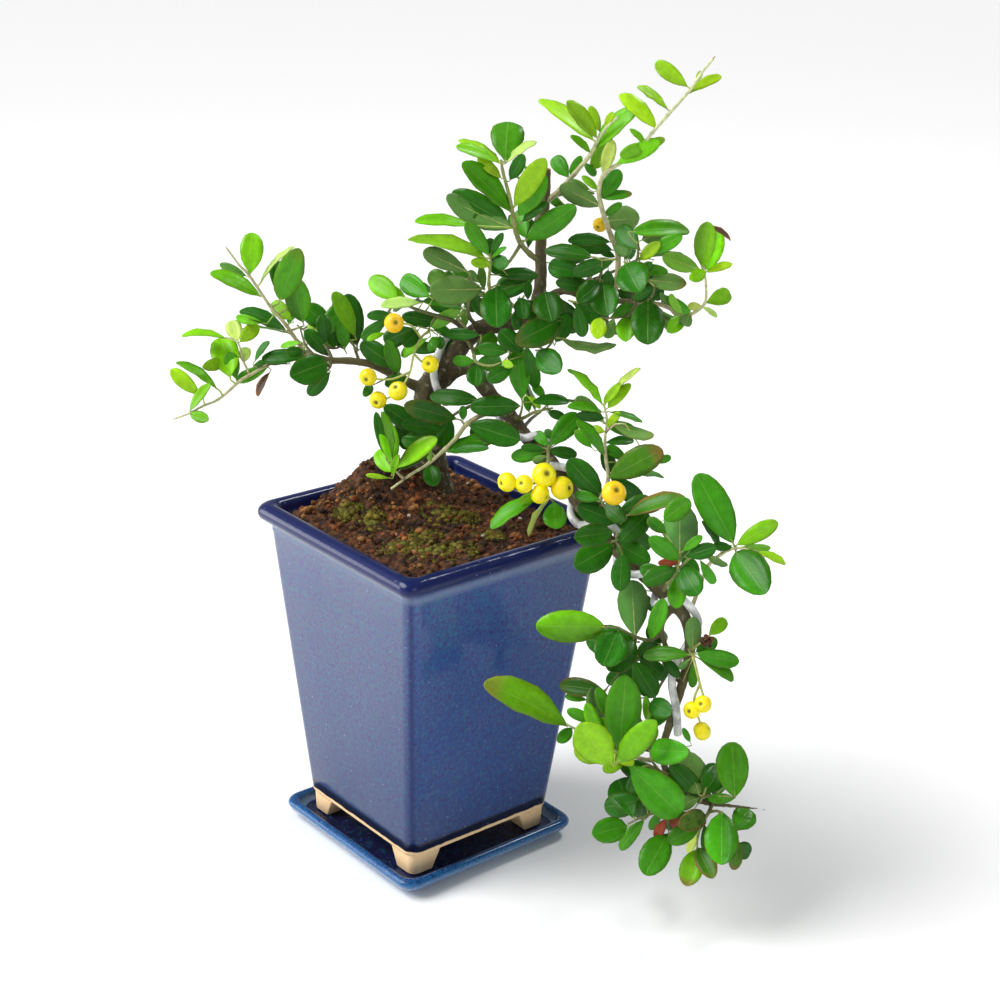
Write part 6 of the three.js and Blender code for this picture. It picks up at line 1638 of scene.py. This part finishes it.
def add_berry(skin, row, blank, chance):
    """A berry turned so that its eye is where the row says, with the dried lobes and threads in it."""
    shape, faces = blank
    column, line, depth, width, eye_column, eye_row = row
    middle = place((column, line, depth))
    scale = mm_per_pixel(middle)
    radius = width * scale / 2
    aside, above = (eye_column - column) * scale, (line - eye_row) * scale
    front = math.sqrt(max(0.1 * radius * radius, radius * radius - aside ** 2 - above ** 2))
    axis = (eye["right"] * aside + eye["up"] * above + eye["back"] * front).normalized()
    across = axis.cross(Vector((0.3, 0.2, 1))).normalized()
    other = axis.cross(across)
    deep = (column, line) in ORANGE_BERRIES
    tone = varied(linear(DEEP_YELLOW) if deep else bpy.context.scene.bonsai_plant.berry, chance, 0.16)

    def spot(x, y, z):
        return middle + (across * x + other * y + axis * z) * radius

    skin.add([spot(x, y, z) for x, y, z, _ in shape], faces, tone, under=[e for *_, e in shape])
    for k in range(5):
        bearing = 2 * math.pi * (k + 0.3 * chance.random()) / 5
        c, s = math.cos(bearing), math.sin(bearing)
        inner = 0.03 + 0.04 * chance.random()
        rise = 0.7 + 0.08 * chance.random()
        corners = [spot(c * 0.16 - s * 0.05, s * 0.16 + c * 0.05, 0.66),
                   spot(c * 0.16 + s * 0.05, s * 0.16 - c * 0.05, 0.66),
                   spot(c * 0.12, s * 0.12, 0.75), spot(c * inner, s * inner, rise)]
        skin.add(corners, [[0, 1, 2], [1, 3, 2], [0, 2, 3], [0, 3, 1]], tone, slot=1)
    for k in range(7):
        bearing = 2 * math.pi * k / 7 + chance.random()
        c, s = math.cos(bearing) * 0.07, math.sin(bearing) * 0.07
        foot = [spot(c - 0.03, s, 0.60), spot(c + 0.03, s, 0.60), spot(c, s + 0.04, 0.60),
                spot(c * 1.5, s * 1.5, 0.84 + 0.08 * chance.random())]
        skin.add(foot, SPIKE, tone, slot=1)


def bunch_piece(name, blank, looks):
    """One bunch with its stalks, which stands for the solid of the same name."""
    stalks, berries = BUNCHES[name]
    chance = random.Random(len(name) * 17 + ord(name[-1]))
    skin = Skin("berry_eye")
    for row in berries:
        add_berry(skin, row, blank, chance)
    green, brown = linear("#B8C763"), linear("#9AA052")
    for thick, *spots in stalks:
        last = len(spots) - 1
        path = smooth_path([place(spot) for spot in spots], STEP["berry_stalk"])
        radii = [thick * 0.55 * (1 - 0.3 * at / last) for _, at in path]
        tones = [blend_colour(brown, green, at / last) for _, at in path]
        add_tube(skin, [point for point, _ in path], radii, SIDES["berry_stalk"], tones, slot=2)
    declare(skin.make("bunch_" + name, looks), "berry", name)


# Last year's withered fruit on the cascade: picture column and row, and size in mm
DRIED = [(702, 640, 1.3), (706, 637, 1.1), (709, 642, 1.5), (705, 644, 1.2), (712, 639, 1.0),
         (710, 646, 0.9)]


def build_dried_fruit(look):
    chance = random.Random(SEEDS["dried_fruit"])
    skin, blank = Skin(), lump_blank()
    brown = linear("#4A2E18")
    for column, row, size in DRIED:
        spot, root = nearest_on_stems(SHOWN_STEMS, column, row)
        middle = place((column, row, spot[2]))
        add_lump(skin, blank, middle, size, brown, chance, 1)
        path = [root, root.lerp(middle, 0.5), middle]
        add_tube(skin, path, [0.3, 0.25, 0.25], SIDES["dried_stalk"], brown)
    declare(skin.make("dried_fruit", [look]), "berry")


# Soil, moss and grit


# Half the soil's width and the radius of its corners in mm, and how many squares it has to a side
SOIL_HALF = 40.4
SOIL_CORNER = 4.0
SOIL_SQUARES = 104
# Lumps, clods and grains of the soil: how fine, and how deep in mm
SOIL_GRAIN = ((0.2, 0.9), (0.55, 0.7), (1.3, 0.4))


def soil_height(x, y):
    """The height of the soil's solid, by the part's own formula."""
    reach = math.hypot(x - SOIL["mound_x"], y - SOIL["mound_y"]) / SOIL["mound_reach"]
    edge_half = inner_half(SOIL["edge"])
    inside = 1 - (max(abs(x), abs(y)) / edge_half) ** SOIL["steep"]
    lumps = math.sin(x * 0.61 + y * 0.23) * math.cos(y * 0.47 - x * 0.31)
    crumbs = math.sin(x * 1.37 - y * 0.71 + 2) * math.sin(y * 1.13 + x * 0.37)
    mound = SOIL["mound"] * math.exp(-reach * reach)
    return SOIL["edge"] + inside * (mound + 1.2 + SOIL["lump"] * (lumps + crumbs))


def inner_half(z):
    """Half the width inside the pot at a height."""
    part = (z - WALL_Z) / (LIP_Z - WALL_Z)
    return POT["bottom_half"] + (POT["lip_joint"] - POT["bottom_half"]) * part - POT["wall"]


def soil_point(x, y):
    """A point on the soil, its grain included."""
    point = Vector((x, y, 0))
    grain = sum(noise.noise(point * fine) * depth for fine, depth in SOIL_GRAIN)
    return Vector((x, y, soil_height(x, y) + grain))


def on_soil(column, row):
    """Where the picture place meets the soil."""
    for step in range(-240, 240):
        point = place((column, row, -step / 4))
        if max(abs(point.x), abs(point.y)) < SOIL_HALF and point.z <= soil_height(point.x, point.y):
            return point
    raise RuntimeError(f"picture place {column}, {row} isn't on the soil")


def build_soil(look):
    """A grid pressed into the soil's shape, then drawn down inside the pot and closed below."""
    deselect()
    bpy.ops.mesh.primitive_grid_add(x_subdivisions=SOIL_SQUARES, y_subdivisions=SOIL_SQUARES, size=2)
    soil = bpy.context.view_layer.objects.active
    inner = SOIL_HALF - SOIL_CORNER
    for vertex in soil.data.vertices:
        x, y = vertex.co.x * SOIL_HALF, vertex.co.y * SOIL_HALF
        out = Vector((max(0.0, abs(x) - inner), max(0.0, abs(y) - inner)))
        if out.x and out.y and out.length > SOIL_CORNER:
            out = out.normalized() * SOIL_CORNER
            x, y = math.copysign(inner + out.x, x), math.copysign(inner + out.y, y)
        vertex.co = soil_point(x, y) * MM
    edit_all(soil)
    bpy.ops.mesh.region_to_loop()
    bottom = FLOOR_Z + CLEAR * 2 + 1
    for z, half in ((LIP_Z, SOIL_HALF), (bottom, inner_half(bottom) - CLEAR)):
        bpy.ops.mesh.extrude_edges_move()
        editable = bmesh.from_edit_mesh(soil.data)
        for vertex in editable.verts:
            if vertex.select:
                share = half / SOIL_HALF if half != SOIL_HALF else 1
                vertex.co = Vector((vertex.co.x * share, vertex.co.y * share, z * MM))
        bmesh.update_edit_mesh(soil.data)
    bpy.ops.mesh.edge_face_add()
    bpy.ops.object.mode_set(mode="OBJECT")
    recalculate_normals(soil)
    shade_smooth(soil)
    soil.name = "soil_bed"
    soil.data.name = "soil_bed"
    dress(soil, look)
    declare(soil, "soil", "soil")


def lump_blank():
    """A rough ball that crumbs, grits, moss and dried fruit are made from."""
    deselect()
    bpy.ops.mesh.primitive_ico_sphere_add(subdivisions=1, radius=1)
    points, faces = taken_apart(bpy.context.view_layer.objects.active)
    return [Vector(point) for point in points], faces


def add_lump(skin, blank, spot, radius, tone, chance, flat=0.8):
    shape, faces = blank
    turn = Matrix.Rotation(chance.random() * 6.28, 3, Vector((chance.random(), chance.random(), 1)))
    stretch = Vector((0.75 + 0.5 * chance.random(), 0.75 + 0.5 * chance.random(), flat))
    points = []
    for corner in shape:
        point = turn @ (corner * (0.8 + 0.4 * chance.random()))
        points.append(spot + Vector(a * b for a, b in zip(point, stretch)) * radius)
    skin.add(points, faces, tone)


# Pale grits, and moss patches with their reach in mm, by picture place
GRIT_RADIUS = 0.85
GRIT = [(409, 517), (396, 536), (483, 537), (468, 485), (449, 477), (520, 520), (371, 500)]
MOSS = [(430, 552, 11), (402, 549, 9), (458, 549, 8), (440, 515, 8), (425, 534, 7), (347, 512, 6),
        (372, 523, 7), (490, 538, 6), (466, 520, 6)]


# The crumbs' colours, from black humus to ochre clay
BROWNS = ["#100804", "#23130A", "#4A2412", "#5C4A18", "#80481C", "#8A4A20", "#AE753E"]


def build_crumbs(blank, looks):
    """Crumbs scattered over the soil, patch by patch of like colour, and the pale grits."""
    ground = bpy.context.scene.bonsai_ground
    chance = random.Random(SEEDS["crumbs"])
    skin = Skin()
    for _ in range(ground.crumbs):
        x = (chance.random() * 2 - 1) * (SOIL_HALF - 1)
        y = (chance.random() * 2 - 1) * (SOIL_HALF - 1)
        spot = soil_point(x, y)
        radius = ground.crumb / MM * (0.35 + 0.9 * chance.random() ** 1.8)
        patch = 0.5 + 0.75 * noise.noise(Vector((x, y, 3)) * 0.13) + 0.5 * (chance.random() - 0.5)
        brown = BROWNS[clamp(int(patch * len(BROWNS)), 0, len(BROWNS) - 1)]
        tone = varied(linear(brown), chance, 0.3)
        add_lump(skin, blank, spot + Vector((0, 0, radius * 0.25)), radius, tone, chance)
    for column, row in GRIT:
        tone = varied(ground.grit, chance, 0.15)
        add_lump(skin, blank, on_soil(column, row) + Vector((0, 0, 0.6)), GRIT_RADIUS, tone, chance)
    declare(skin.make("soil_crumbs", looks), "soil")


def build_moss(blank, looks):
    """Moss in small cushions with their blades, drawn coarser than real moss so that they show."""
    ground = bpy.context.scene.bonsai_ground
    chance = random.Random(SEEDS["moss"])
    skin = Skin()
    patches = [(on_soil(column, row), reach) for column, row, reach in MOSS]
    for _ in range(ground.tufts):
        middle, reach = chance.choice(patches)
        bearing = chance.random() * 2 * math.pi
        away = reach * math.sqrt(chance.random())
        x, y = middle.x + away * math.cos(bearing), middle.y + away * math.sin(bearing)
        if max(abs(x), abs(y)) > SOIL_HALF - 0.8:
            continue
        spot = soil_point(x, y) + Vector((0, 0, 0.2 * (1 - away / reach)))
        tone = varied(ground.moss, chance, 0.7)
        add_lump(skin, blank, spot, 0.9 + 0.9 * (1 - away / reach), tone, chance, 0.7)
        for _ in range(4):
            lean = Vector((chance.random() - 0.5, chance.random() - 0.5, 0.75)).normalized()
            foot = spot + Vector((chance.random() - 0.5, chance.random() - 0.5, 0.3)) * 1.6
            tip = foot + lean * (0.7 + chance.random())
            across = lean.cross(Vector((0.3, 1, 0.2))).normalized() * 0.17
            other = lean.cross(across)
            skin.add([foot + across, foot - across * 0.5 + other, foot - across * 0.5 - other, tip],
                     SPIKE, varied(tone, chance, 0.4))
    declare(skin.make("soil_moss", looks), "soil")


# Pot and saucer


def pot_profile():
    """Half-width and height from the foot of the wall, over the lip and down to the inner floor."""
    bottom, joint = POT["bottom_half"], POT["lip_joint"]
    half, top = POT["rim_half"], POT["rim_top"]
    outer = [(bottom - 2.4, WALL_Z), (bottom - 0.9, WALL_Z + 0.1), (bottom - 0.25, WALL_Z + 0.5),
             (bottom, WALL_Z + 1.2)]
    rise = LIP_Z - WALL_Z - 1.2
    outer += [(bottom + (joint - bottom) * k / 8, WALL_Z + 1.2 + rise * k / 8) for k in range(1, 9)]
    outer += [(joint + 0.22, LIP_Z + 0.5), (joint + 0.18, LIP_Z + 1.1), (joint + 0.2, LIP_Z + 1.8),
              (joint + 0.5, LIP_Z + 2.7), (joint + 1.2, LIP_Z + 3.6), (joint + 2.1, LIP_Z + 4.2)]
    outer += arc((half - 3.6, top - 3.7), (3.6, 3.7), -34, 90, 9)
    inner = arc((half - 4.4, top - 3.6), (2.6, 3.6), 90, 180, 5)[1:]
    inner += [(half - 7.5, top - 5), (joint - POT["wall"], LIP_Z)]
    inner += [(inner_half(FLOOR_Z), FLOOR_Z)]
    return outer, inner


def foot_piece(number):
    """An L-shaped foot under a corner, its two arms drawn in towards the saucer."""
    def outline(z, arm, half):
        far, deep, c = half - arm, half - POT["foot_deep"], POT["corner"] * 0.6
        corner = [(half - c + c * math.cos(rad(a)), half - c + c * math.sin(rad(a)))
                  for a in (0, 18, 36, 54, 72, 90)]
        points = [(far, deep), (deep, deep), (deep, far), (half, far), *corner, (far, half)]
        turn = Matrix.Rotation(number * math.pi / 2, 3, "Z")
        return [turn @ Vector((x, y, z)) for x, y in points]

    low = outline(FEET_Z, POT["foot_short"], POT["bottom_half"] - 1.6)
    high = outline(WALL_Z + 2, POT["foot_long"], POT["bottom_half"] - 1.2)
    mid = [a.lerp(b, 0.55) for a, b in zip(low, high)]
    foot = object_from(f"foot_{number}", low + mid + high, tube_faces(3, len(low)))
    recalculate_normals(foot)
    apply_modifier(foot, "BEVEL", width=0.6 * MM, segments=2, limit_method="ANGLE", angle_limit=rad(40))
    return foot


def build_pot(look):
    """The wall drawn up from the drain hole, over the lip and back down to it, on four feet."""
    outer, inner = pot_profile()
    corner = bpy.context.scene.bonsai_pot.corner / MM
    model = square_ring(outer[0][0], corner, outer[0][1])
    hole = POT["drain_hole"] / 2
    rings = [round_ring(hole, WALL_Z, model)]
    rings += [square_ring(half, corner, z) for half, z in outer]
    rings += [square_ring(half, corner - 1.5, z) for half, z in inner]
    rings += [round_ring(hole, FLOOR_Z, model), round_ring(hole, WALL_Z, model)]
    pot = loft("pot_wall", rings)
    recalculate_normals(pot, merge=0.02)
    pot = join([pot, *[foot_piece(k) for k in range(4)]], "glazed_pot")
    smooth_by_angle(pot, 48)
    dress(pot, look)
    declare(pot, "glaze", "pot")


def build_saucer(looks):
    """The saucer drawn up from its foot and over its rim, its foot and its floor then closed."""
    foot, rim, corner = SAUCER["foot_half"], SAUCER["rim_half"], SAUCER["corner"]
    floor, inner = SAUCER["floor"], SAUCER["rim_half"] - SAUCER["rim_width"]
    profile = [(foot - 6, 0), (foot - 0.8, 0), (foot - 0.3, 0), (foot, 0.1), (foot + 0.4, 0.9),
               (foot + 1, 1.7), (foot + 2.2, 2.3), (foot + 3.6, 2.8), (rim - 1, 3.7)]
    profile += arc((rim - 1.9, 6.05), (1.9, 1.95), -32, 90, 7)
    profile += arc((rim - 2.2, 6.4), (1.3, 1.6), 90, 170, 4)[1:]
    profile += [(inner - 0.2, 6), (inner - 0.9, 4.9), (inner - 1.8, floor + 0.15), (inner - 3, floor)]
    rings = [square_ring(half, corner, z) for half, z in profile]
    saucer = loft("glazed_saucer", rings)
    choose(saucer)
    for ring_z in (0.0, floor):
        bpy.ops.object.mode_set(mode="EDIT")
        bpy.ops.mesh.select_all(action="DESELECT")
        editable = bmesh.from_edit_mesh(saucer.data)
        for edge in editable.edges:
            flat = all(abs(v.co.z / MM - ring_z) < 0.02 for v in edge.verts)
            if edge.is_boundary and flat:
                edge.select = True
        bmesh.update_edit_mesh(saucer.data)
        bpy.ops.mesh.edge_face_add()
        bpy.ops.object.mode_set(mode="OBJECT")
    recalculate_normals(saucer)
    smooth_by_angle(saucer, 40)
    dress(saucer, *looks)
    # Painted shade: the saucer's floor round the pot gets a near-black glaze
    for face in saucer.data.polygons:
        if face.normal.z > 0.9 and face.center.z < (floor + 1) * MM:
            face.material_index = 1
    declare(saucer, "glaze", "saucer")


# Camera, lights and floor


# Width of the camera's sensor in mm
SENSOR = 36
# Studio lamps: name, kind, place in metres, strength, and size in metres or spread in radians
LAMPS = [
    ("key", "SUN", (-0.45, -0.75, 1.1), 3.2, 0.7),
    ("low_window", "AREA", (-0.9, -0.85, 0.22), 7, 0.7),
    ("side", "AREA", (1.3, -0.3, 0.9), 3, 0.7),
    ("back", "AREA", (0.0, 0.75, 1.15), 5, 0.25),
]
# The point in metres that the lamps are aimed at
LAMP_AIM = (0.02, 0, 0.16)


def build_stage():
    """The camera that the plant was read with, soft lamps and a white floor."""
    camera_data = bpy.data.cameras.new("camera")
    camera_data.sensor_width = SENSOR
    camera_data.lens = EYE["focal"] / (2 * EYE["centre"]) * SENSOR
    camera_data.clip_start = 0.01
    camera = bpy.data.objects.new("camera", camera_data)
    axes = Matrix((eye["right"], eye["up"], eye["back"])).transposed()
    camera.matrix_world = Matrix.Translation(eye["at"] * MM) @ axes.to_4x4()
    bpy.context.scene.collection.objects.link(camera)
    bpy.context.scene.camera = camera
    deselect()
    bpy.ops.mesh.primitive_plane_add(size=40)
    floor = bpy.context.view_layer.objects.active
    floor.name = "studio_floor"
    dress(floor, matt_paper("matt_paper", "#F6F6F5"))
    world = bpy.data.worlds.new("studio")
    world.use_nodes = True
    world.node_tree.nodes.clear()
    add = partial(node, world.node_tree)
    rise = add("SeparateXYZ", [add("TexCoord")], "Z")
    glow = add("MapRange", [rise, 0.05, 0.25, 0.95, 0.28])
    wall = add("Background", {"Color": "#F4F6F8", "Strength": glow})
    add("OutputWorld", [wall])
    bpy.context.scene.world = world
    bpy.context.scene.view_settings.view_transform = "Standard"
    for name, kind, spot, strength, spread in LAMPS:
        light = bpy.data.lights.new(name, kind)
        light.energy = strength
        setattr(light, "size" if kind == "AREA" else "angle", spread)
        lamp = bpy.data.objects.new(name, light)
        lamp.location = Vector(spot)
        lamp.rotation_euler = (Vector(LAMP_AIM) - Vector(spot)).to_track_quat("-Z", "Y").to_euler()
        bpy.context.scene.collection.objects.link(lamp)


# Operators


class BONSAI_OT_pot(bpy.types.Operator):
    """Builds the glazed pot with its lip, drain hole and bare clay feet"""

    bl_idname = "bonsai.pot"
    bl_label = "Pot"

    def execute(self, context):
        settings = context.scene.bonsai_pot
        bare_z = WALL_Z + settings.bare_edge / MM
        build_pot(glazed_stoneware(
            "blue_glazed_stoneware", settings.glaze, settings.glaze_deep, settings.glaze_pale,
            settings.clay, settings.speck / MM, bare_z, LIP_Z, POT_SHEEN))
        return {"FINISHED"}


class BONSAI_OT_saucer(bpy.types.Operator):
    """Builds the glazed saucer that the pot stands in"""

    bl_idname = "bonsai.saucer"
    bl_label = "Saucer"

    def execute(self, context):
        settings = context.scene.bonsai_pot
        deep, clay, speck = settings.glaze_deep, settings.clay, settings.speck / MM
        build_saucer([
            glazed_stoneware("saucer_glaze", settings.saucer, deep, "#4E98D8", clay, speck,
                             ALL_COVERED, SAUCER_LIP_Z, 0),
            # Painted shade: a near-black copy of the glaze for the saucer's floor
            glazed_stoneware("saucer_floor_shade", "#0A1636", deep, "#13264E", clay, speck,
                             ALL_COVERED, LIP_Z, 0)])
        return {"FINISHED"}


class BONSAI_OT_screen(bpy.types.Operator):
    """Gives the mesh over the drain hole its plastic"""

    bl_idname = "bonsai.screen"
    bl_label = "Drainage screen"

    def execute(self, context):
        dress(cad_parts["drain_screen"],
              granular("moulded_polyethylene", 0.5, "#141414", "#2B2B2B", 0.04))
        return {"FINISHED"}


class BONSAI_OT_ground(bpy.types.Operator):
    """Builds the soil bed with its crumbs, grit and moss"""

    bl_idname = "bonsai.ground"
    bl_label = "Soil and moss"

    def execute(self, context):
        ground = context.scene.bonsai_ground
        blank = lump_blank()
        build_soil(granular("damp_clay_soil", 0.8, "#1A0D06", ground.soil, 0.5))
        build_crumbs(blank, [granular("loose_clay_crumbs", 0.5, "#3A2118", ground.soil, 0.3, True)])
        build_moss(blank, [granular("cushion_moss", 0.6, "#2F2E12", ground.moss, 0.3, True)])
        return {"FINISHED"}


class BONSAI_OT_wood(bpy.types.Operator):
    """Builds the trunk, its limbs and the cascade with furrowed bark"""

    bl_idname = "bonsai.wood"
    bl_label = "Wood"

    def execute(self, context):
        build_wood()
        return {"FINISHED"}


class BONSAI_OT_wire(bpy.types.Operator):
    """Builds the training wire wound round the wood"""

    bl_idname = "bonsai.wire"
    bl_label = "Training wire"

    def execute(self, context):
        build_wire()
        return {"FINISHED"}


class BONSAI_OT_shoots(bpy.types.Operator):
    """Builds every leafy shoot, those on the far side included"""

    bl_idname = "bonsai.shoots"
    bl_label = "Leafy shoots"

    def execute(self, context):
        blank = leaf_blank()
        looks = [waxy_leaf("waxy_firethorn_leaf"), shoot_bark("young_shoot_bark")]
        for name in [*SHOOTS, *FAR_SHOOTS]:
            shoot_piece(name, blank, looks)
        inner_leaves_piece(blank, looks)
        return {"FINISHED"}


class BONSAI_OT_berries(bpy.types.Operator):
    """Builds the berries with their withered calyx and stalks"""

    bl_idname = "bonsai.berries"
    bl_label = "Berries"

    def execute(self, context):
        blank = berry_blank()
        calyx = granular("dried_calyx", 0.5, "#20180C", "#54441F", 0.1)
        looks = [berry_skin("ripe_berry_skin"), calyx, shoot_bark("berry_stalk")]
        for name in BUNCHES:
            bunch_piece(name, blank, looks)
        build_dried_fruit(granular("dried_fruit", 0.7, "#2A170C", "#6B3F22", 0.3))
        return {"FINISHED"}


class BONSAI_OT_stage(bpy.types.Operator):
    """Sets the camera, the soft studio light and the pale floor"""

    bl_idname = "bonsai.stage"
    bl_label = "Stage"

    def execute(self, context):
        build_stage()
        return {"FINISHED"}


OPERATORS = [BONSAI_OT_stage, BONSAI_OT_saucer, BONSAI_OT_pot, BONSAI_OT_screen, BONSAI_OT_ground,
             BONSAI_OT_wood, BONSAI_OT_wire, BONSAI_OT_shoots, BONSAI_OT_berries]


class BONSAI_PT_panel(bpy.types.Panel):
    """The bonsai's settings and the steps that build it"""

    bl_idname = "BONSAI_PT_panel"
    bl_label = "Firethorn bonsai"
    bl_space_type = "VIEW_3D"
    bl_region_type = "UI"
    bl_category = "Bonsai"

    def draw(self, context):
        for settings in SETTINGS:
            box = self.layout.box()
            group = getattr(context.scene, settings)
            for name in group.__annotations__:
                box.prop(group, name)
        for operator in OPERATORS:
            self.layout.operator(operator.bl_idname)


def register():
    for made in (*SETTINGS.values(), *OPERATORS, BONSAI_PT_panel):
        bpy.utils.register_class(made)
    for name, settings in SETTINGS.items():
        setattr(bpy.types.Scene, name, PointerProperty(type=settings))


def unregister():
    for name in SETTINGS:
        delattr(bpy.types.Scene, name)
    for made in (BONSAI_PT_panel, *reversed(OPERATORS), *SETTINGS.values()):
        bpy.utils.unregister_class(made)


def main():
    register()
    for operator in OPERATORS:
        group, name = operator.bl_idname.split(".")
        getattr(getattr(bpy.ops, group), name)()
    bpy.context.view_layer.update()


if __name__ == "__main__":
    main()
